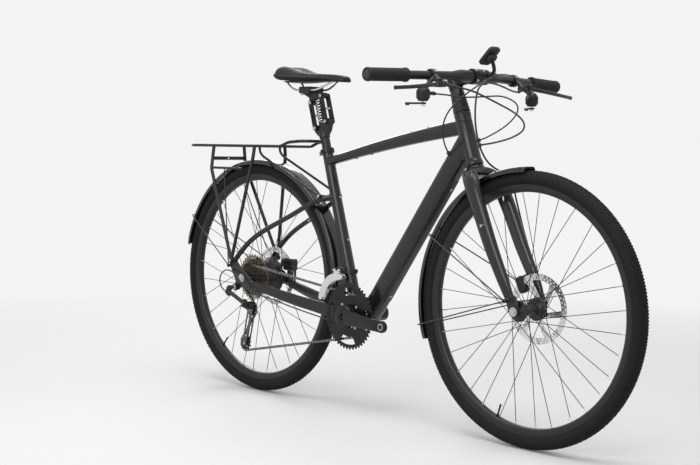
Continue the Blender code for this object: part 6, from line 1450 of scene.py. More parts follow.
def pitch_line(wheels_in_order):
    """The chain's pitch line as stretches: length, start, heading and the reach of the wheel it bends round."""
    stretches = []
    for index, (centre, reach) in enumerate(wheels_in_order):
        following = wheels_in_order[(index + 1) % len(wheels_in_order)]
        arriving = run_heading(wheels_in_order[index - 1], (centre, reach))
        leaving = run_heading((centre, reach), following)
        turn = (math.copysign(1, reach) * (arriving - leaving)) % math.tau
        run = math.sqrt((following[0] - centre).length_squared - (following[1] - reach) ** 2)
        stretches.append((abs(reach) * turn, centre + reach * leftward(arriving), arriving, reach))
        stretches.append((run, centre + reach * leftward(leaving), leaving, None))
    return stretches


def taut_cage_angle():
    """The cage's angle that makes the chain a whole, even number of links."""
    rest = math.radians(-107)

    def line_length(angle):
        return sum(length for length, _, _, _ in pitch_line(chain_wheels(angle)))

    goal = round(line_length(rest) / CHAIN_PITCH / 2) * 2 * CHAIN_PITCH
    rearmost, foremost = rest - 0.35, rest + 0.35
    for _ in range(40):
        middle = (rearmost + foremost) / 2
        if line_length(middle) > goal:
            rearmost = middle
        else:
            foremost = middle
    return middle


CAGE_ANGLE = taut_cage_angle()
STRETCHES = pitch_line(chain_wheels(CAGE_ANGLE))
TENSION_PULLEY = GUIDE_PULLEY + CAGE_LENGTH * heading(CAGE_ANGLE)


def tooth_phases():
    """The angle of one tooth of each wheel, so that every tooth stands between two chain pins."""
    phases = []
    passed = 0.0
    for length, _, angle, reach in STRETCHES:
        if reach is not None:
            first_gap = (math.ceil(passed / CHAIN_PITCH - 0.5) + 0.5) * CHAIN_PITCH - passed
            outward = math.copysign(1, reach) * leftward(angle - first_gap / reach)
            phases.append(math.atan2(outward.z, outward.x))
        passed += length
    return phases


RING_PHASE, TENSION_PHASE, GUIDE_PHASE, SPROCKET_PHASE = tooth_phases()


def chain_pins():
    """The chain's pins in order, one pitch apart along its line."""
    total = sum(length for length, _, _, _ in STRETCHES)
    count = round(total / CHAIN_PITCH)
    pins = []
    for k in range(count):
        left = k * total / count
        for length, start, angle, reach in STRETCHES:
            if left < length or (length, start) == STRETCHES[-1][:2]:
                break
            left -= length
        if reach is None:
            pins.append(start + left * heading(angle))
        else:
            pins.append(start + reach * (leftward(angle - left / reach) - leftward(angle)))
    return pins


def waisted(half_length, eye, waist):
    """The outline of a chain plate: two round eyes and a narrower waist."""
    outline = []
    for sign in (1, -1):
        for k in range(9):
            angle = math.pi * (k / 8 - 0.5) * 1.24
            outline.append((sign * (half_length + eye * math.cos(angle)), sign * eye * math.sin(angle)))
        outline.append((0, sign * waist))
    return outline


def chain():
    """Every link of the chain: rollers and pins, with inner and outer plates by turns."""
    pins = chain_pins()
    plates, rollers = bmesh.new(), bmesh.new()
    outline = waisted(CHAIN_PITCH / 2, 0.0039, 0.0027)
    inner_and_outer = ([], [])
    for k, pin in enumerate(pins):
        following = pins[(k + 1) % len(pins)]
        run = (following - pin).normalized()
        turn = Matrix((run, LEFT.cross(run) * -1, LEFT * -1)).transposed().to_4x4()
        middle = (pin + following) / 2
        reach = 0.00225 if k % 2 else 0.0013
        for side in (1, -1):
            inner_and_outer[k % 2].append(Matrix.Translation(middle + side * reach * LEFT) @ turn)
    for places in inner_and_outer:
        copies(plates, lambda target: punched(target, [outline], 0.0008, Matrix.Identity(4)), places)
    turn = onto(Vector(), LEFT)
    places = [Matrix.Translation(pin) @ turn for pin in pins]
    for sides, radius, depth in ((14, 0.0037, 0.0019), (10, 0.0017, 0.0058)):
        size = {"segments": sides, "radius1": radius, "radius2": radius, "depth": depth}
        copies(rollers, lambda target: bmesh.ops.create_cone(target, cap_ends=True, **size), places)
    piece("chain_plates", plates, CHAIN_STEEL, "chain", weld=0.0, angle=25)
    piece("chain_rollers", rollers, STEEL, "chain", weld=0.0, angle=25)


def toothed(teeth, phase):
    """A toothed outline with flanks and cut tips, one tooth at phase."""
    radius = pitch_radius(teeth)
    step = math.tau / teeth
    outline = []
    for k in range(teeth):
        for reach, share in (
            (-0.0044, -0.5), (-0.004, -0.33), (-0.0005, -0.2), (0.0017, -0.09), (0.0017, 0.09), (-0.0005, 0.2),
            (-0.004, 0.33),
        ):
            angle = phase + step * (k + share)
            outline.append(((radius + reach) * math.cos(angle), (radius + reach) * math.sin(angle)))
    return outline


def toothed_plate(bm, centre, teeth, phase, thickness, holes=()):
    punched(bm, [toothed(teeth, phase), *holes], thickness, in_side_view(centre))


def cassette():
    """The nine sprockets, the larger ones with windows, and the sleeve they sit on."""
    bm = bmesh.new()
    for index, teeth in enumerate(SPROCKETS):
        holes = []
        if teeth > 17:
            inner, outer = 0.0215, pitch_radius(teeth) - 0.0085
            count = 5 if teeth < 26 else 8
            for k in range(count):
                start = math.tau * (k + 0.1 * index) / count
                sweep = [start + math.tau / count * 0.62 * j / 6 for j in range(7)]
                holes.append(arc(outer, sweep) + arc(inner, [angle + 0.18 for angle in reversed(sweep)]))
        holes.append(round_outline(0.0165, 36))
        centre = REAR_AXLE + (CHAIN_Y + (index - 4) * SPROCKET_PITCH) * LEFT
        toothed_plate(bm, centre, teeth, SPROCKET_PHASE if teeth == 20 else 0.0, 0.0018, holes)
    piece("sprocket_stack", bm, BRONZED, "cassette", angle=20)
    bm = bmesh.new()
    core = [(0.0151, -0.066), (0.0171, -0.066), (0.0171, -0.0285), (0.0151, -0.0285)]
    lathe(bm, core, REAR_AXLE, LEFT, 48)
    piece("sprocket_core", bm, ANODISED, "cassette")


def ring_bolt_places():
    return [BOTTOM_BRACKET + 0.04 * heading(CRANK_HEADING + math.pi * (k + 0.5) / 2) for k in range(4)]


def chainring(teeth, y, phase, node):
    centre = BOTTOM_BRACKET + y * LEFT
    holes = [round_outline(0.033, 64)]
    for place in ring_bolt_places():
        offset = place - BOTTOM_BRACKET
        holes.append(round_outline(0.0043, 20, (offset.x, offset.z)))
    if teeth == 46:
        for k in range(4):
            middle = CRANK_HEADING + math.pi * k / 2
            outer = [middle + 0.4 - 0.8 * j / 8 for j in range(9)]
            inner = [middle - 0.34 + 0.68 * j / 6 for j in range(7)]
            holes.append(arc(0.08, outer) + arc(0.058, inner))
    bm = bmesh.new()
    toothed_plate(bm, centre, teeth, phase, 0.0021, holes)
    piece(node + "_plate", bm, ANODISED if teeth == 46 else STEEL, node, angle=20)


def crank(side):
    """A crank arm that narrows towards its pedal thread."""
    name = hand(side)
    angle = CRANK_HEADING + (math.pi if side > 0 else 0)
    run = heading(angle)
    rings = []
    for share, high, thick in (
        (0.02, 0.0232, 0.0062), (0.15, 0.0218, 0.0062), (0.3, 0.02, 0.0062), (0.5, 0.018, 0.006),
        (0.7, 0.0168, 0.0058), (0.85, 0.0163, 0.0058), (1.0, 0.016, 0.0058),
    ):
        centre = BOTTOM_BRACKET + share * CRANK_LENGTH * run
        centre.y = side * 0.076 + side * 0.019 * min(1.0, share * 1.25)
        rings.append((centre, thick, high))
    bm = bmesh.new()
    loft(bm, rings, LEFT, leftward(angle), 4, 3.2)
    end = BOTTOM_BRACKET + CRANK_LENGTH * run + side * 0.095 * LEFT
    centred(bm, end, 0.0058 * LEFT, 0.0163, 40)
    cast(piece(f"{name}_crank_arm", bm, ANODISED, f"crank_{name}"), 0.0013, 6)
    bm = bmesh.new()
    outer_lip = [(0.0071, 0.0052), (0.0092, 0.0052), (0.0094, 0.0058), (0.0092, 0.006), (0.0071, 0.006)]
    inner_lip = [(0.0071, -0.0052), (0.0092, -0.0052), (0.0092, -0.006), (0.0071, -0.006)]
    bottom_face = [(0, 0.0053), (0.007, 0.0053), (0.007, 0.0054), (0, 0.0054)]
    for profile, steps in ((outer_lip, 32), (inner_lip, 32), (bottom_face, 24)):
        lathe(bm, profile, end, side * LEFT, steps)
    piece(f"{name}_pedal_thread", bm, STEEL, f"crank_{name}")


def left_boss():
    bm = bmesh.new()
    lathe(bm, [
        (0.0124, 0.0376), (0.0218, 0.0376), (0.0225, 0.0384), (0.0225, 0.0806), (0.0214, 0.0818), (0, 0.082),
        (0, 0.079), (0.0124, 0.079),
    ], BOTTOM_BRACKET, LEFT, 64)
    piece("left_crank_boss", bm, ANODISED, "crank_left")


def right_boss():
    """The right crank's boss with the spindle, the four arms to the rings, and the rings' bolts."""
    bm = bmesh.new()
    lathe(bm, [
        (0, -0.082), (0.013, -0.082), (0.014, -0.0812), (0.0285, -0.0812), (0.03, -0.0804), (0.0325, -0.0782),
        (0.033, -0.077), (0.033, -0.0602), (0.0322, -0.0594), (0.0302, -0.058), (0.0302, -0.049), (0.019, -0.049),
        (0.019, -0.0377), (0.012, -0.0375), (0.012, 0.077), (0, 0.0775),
    ], BOTTOM_BRACKET, LEFT, 72)
    for place in ring_bolt_places():
        reach = place - BOTTOM_BRACKET
        outline = band_outline([(0, 0, 0.0118), (reach.x, reach.z, 0.0083)], 28)
        punched(bm, [outline], 0.0052, in_side_view(BOTTOM_BRACKET - 0.0514 * LEFT))
    piece("right_crank_boss", bm, ANODISED, "crank_right")
    bm = bmesh.new()
    for place in ring_bolt_places():
        bolt(bm, place - 0.0564 * LEFT, -LEFT, 0.0046, 0.0014)
        rod(bm, place - 0.0565 * LEFT, place - 0.0455 * LEFT, 0.0038, 20)
    piece("ring_bolts", bm, STEEL, "crank_right")
    bm = bmesh.new()
    bolt(bm, BOTTOM_BRACKET - 0.0806 * LEFT, -LEFT, 0.01, 0.0014)
    piece("crank_cap", bm, SATIN_BLACK, "crank_right")


def pulley(name, node, centre, phase):
    holes = [round_outline(0.0032, 20), *[round_outline(0.0028, 12, place) for place in arc(0.0105, around(5))]]
    bm = bmesh.new()
    toothed_plate(bm, centre, 11, phase, 0.0022, holes)
    piece(name, bm, MATTE_BLACK, node, angle=20)


def cage_plate(bm, discs, y, thickness, windows=()):
    discs = [(place.x - GUIDE_PULLEY.x, place.z - GUIDE_PULLEY.z, radius) for place, radius in discs]
    centre = Vector((GUIDE_PULLEY.x, y, GUIDE_PULLEY.z))
    punched(bm, [band_outline(discs, 40), *windows], thickness, in_side_view(centre))


def rear_derailleur():
    """The cage's two plates with their windows, the pulleys between them and the arms that carry it."""
    down = heading(CAGE_ANGLE)
    windows = []
    for start, end, half in ((0.022, 0.05, 0.0042), (0.058, 0.088, 0.0038)):
        first, last = start * down, end * down
        windows.append(band_outline([(first.x, first.z, half), (last.x, last.z, half * 0.9)], 20))
    bm = bmesh.new()
    discs = [(GUIDE_PULLEY, 0.0095), (TENSION_PULLEY, 0.0083)]
    cage_plate(bm, [(CAGE_PIVOT, 0.0104), *discs], CHAIN_Y - CAGE_PLATE_Y, 0.0017, windows)
    cage_plate(bm, discs, CHAIN_Y + CAGE_PLATE_Y, 0.0017, windows)
    rounded(piece("derailleur_cage_plates", bm, POLISHED_DARK, "derailleur_cage"), 0.0004, 2)
    bm = bmesh.new()
    for centre in (GUIDE_PULLEY, TENSION_PULLEY):
        centred(bm, centre, 0.0088 * LEFT, 0.0027, 20)
        bolt(bm, centre - 0.0086 * LEFT, -LEFT, 0.004, 0.0004)
    piece("pulley_bolts", bm, STEEL, "derailleur_cage")
    pulley("upper_jockey_wheel", "guide_pulley", GUIDE_PULLEY, GUIDE_PHASE)
    pulley("lower_jockey_wheel", "tension_pulley", TENSION_PULLEY, TENSION_PHASE)
    knuckles()


def yoke(bm, pivot, away, radius):
    """The bar beside a pivot of the parallelogram link, with the two ears that hold the link's pin."""
    bar = pivot + away
    centred(bm, bar, 0.0113 * LINK_AXIS, 0.0045, 28)
    for way in (1, -1):
        ear = pivot + way * 0.0098 * LINK_AXIS
        centred(bm, ear, 0.0021 * LINK_AXIS, radius, 32)
        rod(bm, ear, ear + away, 0.0022, 20)


def link_pin(bm, pivot):
    centred(bm, pivot, 0.0104 * LINK_AXIS, 0.0021, 16)


def knuckles():
    """The derailleur's body: hanger knuckle, parallelogram link and cage knuckle."""
    face = HANGER_HOLE.y - 0.0038
    away = 0.0102 * LINK_RUN
    middle = Vector((HANGER_HOLE.x, 0, HANGER_HOLE.z))
    bm = bmesh.new()
    chamfered_rod(bm, middle + face * LEFT, middle + (face - 0.0105) * LEFT, 0.0104, 40, 0.0012)
    rod(bm, middle + (face - 0.006) * LEFT, LINK_START - away + 0.0108 * LINK_AXIS, 0.0056, 28)
    yoke(bm, LINK_START, -away, 0.0064)
    cast(piece("hanger_knuckle", bm, SATIN_BLACK, "derailleur_b_knuckle"), 0.0007, 3)
    bm = bmesh.new()
    link_pin(bm, LINK_START)
    bolt(bm, middle + (face - 0.01) * LEFT, -LEFT, 0.0072, 0.0007)
    piece("hanger_bolt", bm, STEEL, "derailleur_b_knuckle")
    bm = bmesh.new()
    thin = LINK_RUN.cross(LINK_AXIS)
    for point in (LINK_START, LINK_END):
        collar(bm, point, LINK_AXIS, 0.0024, 0.0052, 0.007, (0.0002, 0.0004), 32)
    stations = [LINK_START.lerp(LINK_END, share) for share in (0.03, 0.2, 0.4, 0.6, 0.8, 0.97)]
    skin(bm, [oval_ring(bm, centre, LINK_AXIS, thin, 0.0067, 0.0026, 36, 3.6) for centre in stations])
    piece("parallelogram_link", bm, GLOSS_BLACK, "derailleur_link")
    inner_face = CHAIN_Y - CAGE_PLATE_Y - 0.0012
    pivot = Vector((CAGE_PIVOT.x, 0, CAGE_PIVOT.z))
    bm = bmesh.new()
    chamfered_rod(bm, pivot + inner_face * LEFT, pivot - 0.0738 * LEFT, 0.0124, 44, 0.0016)
    rod(bm, LINK_END + away, pivot - 0.0705 * LEFT, 0.0041, 28)
    yoke(bm, LINK_END, away, 0.0061)
    cast(piece("cage_knuckle", bm, SATIN_BLACK, "derailleur_p_knuckle"), 0.0007, 3)
    bm = bmesh.new()
    link_pin(bm, LINK_END)
    piece("cage_knuckle_pin", bm, STEEL, "derailleur_p_knuckle")


def drivetrain():
    chain()
    cassette()
    chainring(30, CHAIN_Y, RING_PHASE, "chainring_small")
    chainring(46, LARGE_RING_Y, 0.0, "chainring_large")
    crank(1)
    left_boss()
    crank(-1)
    right_boss()
    rear_derailleur()


# Mudguards, rack, hoses and brakes

RACK_HEIGHT = 0.401


def filleted(points, radius, steps=6):
    """The polyline with each inner corner rounded."""
    path = [points[0]]
    for before, corner, after in zip(points, points[1:], points[2:]):
        reach = min(radius, (corner - before).length * 0.48, (after - corner).length * 0.48)
        start = corner + (before - corner).normalized() * reach
        end = corner + (after - corner).normalized() * reach
        for k in range(steps + 1):
            t = k / steps
            path.append((1 - t) ** 2 * start + 2 * t * (1 - t) * corner + t * t * end)
    return [*path, points[-1]]


def wheel_point(axle, radius, angle, y=0.0):
    return axle + radius * turned_by(FORWARD, angle) + y * LEFT


def placed_ring(bm, points):
    verts = bmesh.ops.create_circle(bm, segments=len(points), radius=1)["verts"]
    for vert, point in zip(verts, points):
        vert.co = point
    return verts


def mudguard(name, axle, start, end):
    """A rolled mudguard with turned-down edges and rounded ends."""
    outer = [
        (0.3458, 0.0248), (0.35, 0.025), (0.354, 0.0247), (0.357, 0.023), (0.3588, 0.0196), (0.3596, 0.015),
        (0.3597, 0.008), (0.3597, 0.0),
    ]
    inner = [
        (0.3577, 0.0), (0.3577, 0.008), (0.3575, 0.0146), (0.3568, 0.0186), (0.3552, 0.0214), (0.3532, 0.0228),
        (0.35, 0.0231), (0.3458, 0.023),
    ]
    profile = [
        *outer, *[(r, -y) for r, y in reversed(outer[:-1])], *[(r, -y) for r, y in reversed(inner)], *inner[1:]
    ]
    steps = max(2, round(math.degrees(end - start) / 1.5))
    bm = bmesh.new()
    rings = []
    for k in range(steps + 1):
        angle = start + (end - start) * k / steps
        near_end = min(k, steps - k)
        narrow = 1.0 - 0.1 * max(0, 3 - near_end) ** 2 / 9
        rings.append(placed_ring(bm, [wheel_point(axle, r, angle, y * narrow) for r, y in profile]))
    skin(bm, rings)
    piece(f"{name}_mudguard_skin", bm, GLOSS_BLACK, f"{name}_mudguard", angle=40)


def mudguard_studs(name, node, axle, targets):
    """The bolts that carry a mudguard, from its roof to each target or a standoff short of it."""
    bm = bmesh.new()
    for target, standoff in targets:
        away = (target - axle).normalized()
        rod(bm, axle + 0.359 * away, target - standoff * away, 0.004, 20)
        rod(bm, axle + 0.3592 * away, axle + 0.3612 * away, 0.0068, 24)
        bolt(bm, axle + 0.3577 * away, -away, 0.0048, 0.0014)
    piece(name, bm, STEEL, node)


def stays(name, axle, eyelet, angles):
    """Wire stays bent over the mudguard's back, with their clips and eyes."""
    start = eyelet + 0.0029 * LEFT
    over, beside = 0.3619, 0.0288
    bm = bmesh.new()
    clips = bmesh.new()
    for angle in angles:
        corners = [wheel_point(axle, over, angle, beside), wheel_point(axle, over, angle, -beside)]
        pipe(bm, filleted([start, *corners, sided(start, -1)], 0.008, 7), 0.0018, 14)
        outward = turned_by(FORWARD, angle)
        turn = aligned(outward, turned_by(UP, angle))
        block(clips, (0.0046, 0.0246, 0.0126), axle + 0.3624 * outward, turn, 0.0014, 3)
        for y in (0.008, -0.008):
            bolt(clips, axle + 0.3644 * outward + y * LEFT, outward, 0.0024, 0.0006)
    for side in (1, -1):
        place = sided(start, side)
        collar(bm, place, LEFT, 0.0024, 0.0055, 0.0024, (0.0005, 0.0006), 28)
        bolt(clips, place + side * 0.0016 * LEFT, side * LEFT, 0.0036, 0.001)
    piece(f"{name}_stay_wires", bm, GLOSS_BLACK, f"{name}_mudguard_stays")
    piece(f"{name}_stay_clips", clips, MATTE_BLACK, f"{name}_mudguard_stays")


def rack():
    """The rear rack: a looped platform with cross bars, legs, struts and the plate for a lamp."""
    half = [rear(*place) for place in (
        (0.255, 0.03, 0.417), (0.236, 0.052, 0.417), (0.185, 0.06, 0.413), (0.158, 0.06, RACK_HEIGHT),
        (-0.272, 0.06, RACK_HEIGHT), (-0.296, 0.042, RACK_HEIGHT),
    )]
    loop = half + [sided(point, -1) for point in reversed(half)]
    middle = loop[0].lerp(loop[-1], 0.5)
    bm = bmesh.new()
    pipe(bm, filleted([middle, *loop, middle], 0.022, 7)[:-1], 0.0048, 24, closed=True)
    for y in (0.022, -0.022):
        rod(bm, rear(-0.296, y, RACK_HEIGHT), rear(0.16, y, RACK_HEIGHT), 0.0037, 20)
    for x in (0.16, 0.035, -0.06, -0.163):
        cross_rod(bm, rear(x, 0, RACK_HEIGHT), 0.0039, -0.06, 0.06, 20)
    foot, strut = RACK_EYELET + 0.0068 * LEFT, STRUT_EYELET + 0.0048 * LEFT
    tubes = (
        ([rear(-0.163, 0.06, RACK_HEIGHT), rear(-0.164, 0.066, 0.349), rear(-0.162, 0.07, 0.329), foot], 0.0053),
        ([rear(0.035, 0.06, RACK_HEIGHT), rear(0.034, 0.064, 0.369), foot], 0.0053),
        ([rear(0.035, 0.04, RACK_HEIGHT), rear(0.036, 0.04, 0.384), rear(0.05, 0.0405, 0.371), strut], 0.0039),
    )
    for side in (1, -1):
        for points, radius in tubes:
            pipe(bm, filleted([sided(point, side) for point in points], 0.016, 6), radius, 20)
        rod(bm, rear(-0.162, side * 0.07, 0.332), rear(-0.01, side * 0.0705, 0.332), 0.0039, 20)
        centred(bm, sided(foot, side), 0.0063 * LEFT, 0.0083, 28)
        centred(bm, sided(strut, side), 0.0043 * LEFT, 0.0063, 24)
    cast(piece("rack_tubes", bm, SATIN_BLACK, "rear_rack"), 0.0012, 3)
    bm = bmesh.new()
    oblong = [(-0.067, -0.0055), (0.067, -0.0055), (0.067, 0.0055), (-0.067, 0.0055)]
    upright = Matrix.Rotation(math.pi / 2, 4, "Z") @ Matrix.Rotation(math.pi / 2, 4, "X")
    punched(bm, [oblong, round_outline(0.003, 20)], 0.003, Matrix.Translation(rear(-0.166, 0, 0.361)) @ upright)
    rounded(piece("rack_lamp_plate", bm, SATIN_BLACK, "rear_rack"), 0.0006)
    bm = bmesh.new()
    for side in (1, -1):
        bolt(bm, sided(foot, side) + side * 0.006 * LEFT, side * LEFT, 0.005, 0.0022)
        bolt(bm, sided(strut, side) + side * 0.004 * LEFT, side * LEFT, 0.004, 0.0018)
    piece("rack_bolts", bm, STEEL, "rear_rack")


def hoses():
    """The hoses and cables; those from the bar to the frame bend as the bar turns, more the lower they hang."""
    for name, path, radius, bends in (
        ("front_brake_hose", FRONT_HOSE, 0.0024, False), ("rear_brake_hose", REAR_HOSE, 0.0024, True),
        ("rear_gear_cable", REAR_GEAR_CABLE, 0.002, True), ("front_gear_cable", FRONT_GEAR_CABLE, 0.002, True),
        ("derailleur_cable", DERAILLEUR_CABLE, 0.002, False),
    ):
        bm = bmesh.new()
        pipe(bm, smooth_path(path, 8), radius, 14)
        run = piece(name + "_run", bm, HOSE, name, bends)
        if bends:
            start = Vector((path[-1].x, path[-1].y, min(path[0].z, path[1].z)))
            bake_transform(run, "front_assembly", "frame", start=start, end=path[-1])


def caliper_fittings(name, centre, across):
    """A brake caliper's rounded body with its mounting bolts, piston cap and hose fitting."""
    node = f"{name}_caliper"
    cast(piece(f"{name}_caliper_body", copied(node), SATIN_BLACK, node), 0.0007, 4)
    bm = bmesh.new()
    cap = [(0, 0), (0.0085, 0), (0.0092, 0.0006), (0.0092, 0.001), (0, 0.001)]
    lathe(bm, cap, centre + 0.0124 * LEFT - 0.001 * LEFT, LEFT, 32)
    for way in (-0.0165, 0.0165):
        bolt(bm, centre + way * across + 0.0105 * LEFT, LEFT, 0.0034, 0.0014)
    piece(f"{name}_caliper_fittings", bm, STEEL, node)


def carriers():
    mudguard("front", FRONT_AXLE, math.radians(91), math.radians(198))
    mudguard("rear", REAR_AXLE, math.radians(-16), math.radians(167))
    mudguard_studs("front_mudguard_bolt", "front_mudguard", FRONT_AXLE, ((steer(-0.03, 0, 0), 0.0006),))
    mudguard_studs("rear_mudguard_bolts", "rear_mudguard", REAR_AXLE, ((SEAT_BRIDGE, 0.0064), (CHAIN_BRIDGE, 0.0064)))
    stays("front", FRONT_AXLE, FORK_EYELET, (math.radians(151.6), math.radians(191.6)))
    stays("rear", REAR_AXLE, MUDGUARD_EYELET, (math.radians(114.6), math.radians(150.8)))
    rack()
    hoses()
    caliper_fittings("front", FRONT_CALIPER, LEG_DOWN)
    caliper_fittings("rear", REAR_AXLE + Vector((0.0675, 0.0601, 0.039)), FORWARD)


# Seat post, linkage and saddle

LOWER_PIVOTS = (top(0.0066, 0, 0.0811), top(-0.0374, 0, 0.0611))
LINK_VECTOR = Vector((-0.022, 0, 0.074))


def outlined(bm, points, thickness):
    origin = points[0]
    punched(bm, [[(p.x - origin.x, p.z - origin.z) for p in points]], thickness, in_side_view(origin))


def seat_post():
    """The post and the fork-shaped housing on it that carries the links' lower pins."""
    bm = bmesh.new()
    neck = SEAT_TOP + 0.046 * SEAT_UP
    rod(bm, SEAT_TOP - 0.195 * SEAT_UP, neck, 0.0135, 48)
    rod(bm, neck - 0.012 * SEAT_UP, neck + 0.002 * SEAT_UP, 0.016, 48)
    outlined(bm, [top(x, 0, z) for x, z in (
        (-0.0284, 0.0371), (-0.0024, 0.0371), (0.0096, 0.0531), (0.0161, 0.0751), (0.0146, 0.0871),
        (0.0066, 0.0911), (-0.0009, 0.0871), (-0.0074, 0.0741), (-0.0124, 0.0721), (-0.0314, 0.0696),
        (-0.0384, 0.0706), (-0.0459, 0.0671), (-0.0474, 0.0571), (-0.0424, 0.0481),
    )], 0.0186)
    cast(piece("seat_post_body", bm, SATIN_BLACK, "seatpost"), 0.001, 5)
    bm = bmesh.new()
    pivot_pins(bm, Vector())
    piece("lower_pivots", bm, STEEL, "seatpost")


def links():
    """The two pairs of slotted plates, each pair joined by a bridge."""
    ends = [(0, 0), (LINK_VECTOR.x, LINK_VECTOR.z)]
    slot = band_outline([(LINK_VECTOR.x * share, LINK_VECTOR.z * share, 0.0026) for share in (0.26, 0.74)], 20)
    outlines = [
        band_outline([(*end, 0.0077) for end in ends], 40), *[round_outline(0.0042, 24, end) for end in ends], slot
    ]
    for name, lower, offset in (("front", LOWER_PIVOTS[0], 0.003), ("rear", LOWER_PIVOTS[1], 0.0)):
        node = f"suspension_{name}_link"
        bm = bmesh.new()
        for side in (1, -1):
            punched(bm, outlines, 0.0064, in_side_view(lower + side * 0.0133 * LEFT))
        rounded(piece(f"{name}_link_plates", bm, ANODISED, node), 0.0009, 3)
        bm = bmesh.new()
        cross_rod(bm, lower + LINK_VECTOR / 2 + offset * FORWARD, 0.0033, -0.011, 0.011)
        piece(f"{name}_link_bridge", bm, STEEL, node)


def pivot_pins(bm, height):
    """The pins through the links at their lower ends or, a link's length higher, at their upper ends."""
    for pivot in LOWER_PIVOTS:
        cross_rod(bm, pivot + height, 0.0038, -0.0172, 0.0172)
        bolt_pair(bm, pivot + height, 0.0168, 0.0046, 0.0009)


def suspension_head():
    """The arm on the links' upper pins, with the saddle clamp on it."""
    bm = bmesh.new()
    outlined(bm, [top(x, 0, z) for x, z in (
        (-0.0594, 0.1271), (-0.0524, 0.1291), (-0.0494, 0.1466), (-0.0284, 0.1466), (-0.0234, 0.1501),
        (-0.0184, 0.1471), (-0.0114, 0.1481), (-0.0074, 0.1551), (-0.0114, 0.1631), (-0.0424, 0.1671),
        (-0.0964, 0.1671), (-0.0934, 0.1591), (-0.0724, 0.1501), (-0.0674, 0.1351),
    )], 0.0186)
    block(bm, (0.0455, 0.0595, 0.0195), top(-0.0724, 0, 0.1721), None, 0.003, 3)
    cast(piece("head_body", bm, SATIN_BLACK, "suspension_head"), 0.0009, 4)
    bm = bmesh.new()
    pivot_pins(bm, LINK_VECTOR)
    place = top(-0.0884, -0.0145, 0.1631)
    chamfered_rod(bm, place, place - 0.0098 * LEFT, 0.006, 32, 0.001)
    piece("head_bolts", bm, STEEL, "suspension_head")


def spring():
    """The coil spring, which shortens and leans as the seat sinks."""
    foot, head = top(-0.0224, 0, 0.0751), top(-0.0389, 0, 0.1441)
    along = head - foot
    upward = along.normalized()
    fore = LEFT.cross(upward).normalized()
    steps = 8 * 20
    points = []
    for k in range(steps + 1):
        height = 0.0021 + (along.length - 0.0042) * (k / steps)
        angle = math.tau * k / 20
        points.append(foot + height * upward + 0.0092 * (math.cos(angle) * fore + math.sin(angle) * LEFT))
    bm = bmesh.new()
    pipe(bm, points, 0.0015, 12)
    wire = piece("spring_wire", bm, CHROME, "coil_spring", bends=True)
    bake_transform(wire, "post", "front_link", start=foot, end=head)


# x, half width, then crown, edge and underside heights of the saddle at its stations
SADDLE_STATIONS = (
    (-0.18, 0.038, 0.2325, 0.224, 0.218), (-0.177, 0.052, 0.238, 0.2222, 0.2138),
    (-0.1674, 0.0655, 0.2422, 0.2205, 0.2086), (-0.15, 0.0715, 0.2418, 0.218, 0.2025),
    (-0.1324, 0.072, 0.2378, 0.215, 0.1998), (-0.1124, 0.07, 0.2318, 0.2136, 0.1993),
    (-0.0924, 0.065, 0.226, 0.2124, 0.1993), (-0.0724, 0.0565, 0.2221, 0.2112, 0.1993),
    (-0.0524, 0.0466, 0.2194, 0.2101, 0.1993), (-0.0274, 0.0366, 0.218, 0.209, 0.1993),
    (-0.0024, 0.0298, 0.2168, 0.2075, 0.1993), (0.025, 0.0262, 0.2152, 0.205, 0.1972),
    (0.0476, 0.0242, 0.2128, 0.2022, 0.1938), (0.066, 0.0222, 0.2098, 0.2, 0.1918),
    (0.077, 0.0182, 0.2066, 0.1988, 0.1922), (0.0822, 0.011, 0.2022, 0.1982, 0.1946),
)


def saddle_section(x, half, crown, edge, low):
    """Half of the saddle's section, from the middle of its top round its edge to its underside."""
    groove = 0.0034 if -0.15 < x < 0.03 else 0.0012
    drop = crown - edge
    shape = (
        (0.0, crown - groove), (0.14, crown - groove * 0.72), (0.3, crown - 0.0006), (0.48, crown),
        (0.66, crown - drop * 0.14), (0.82, crown - drop * 0.45), (0.94, edge), (1.0, low + (edge - low) * 0.66),
        (0.985, low + (edge - low) * 0.3), (0.93, low + 0.0012), (0.84, low),
    )
    return [Vector((x, half * share, z)) for share, z in shape]


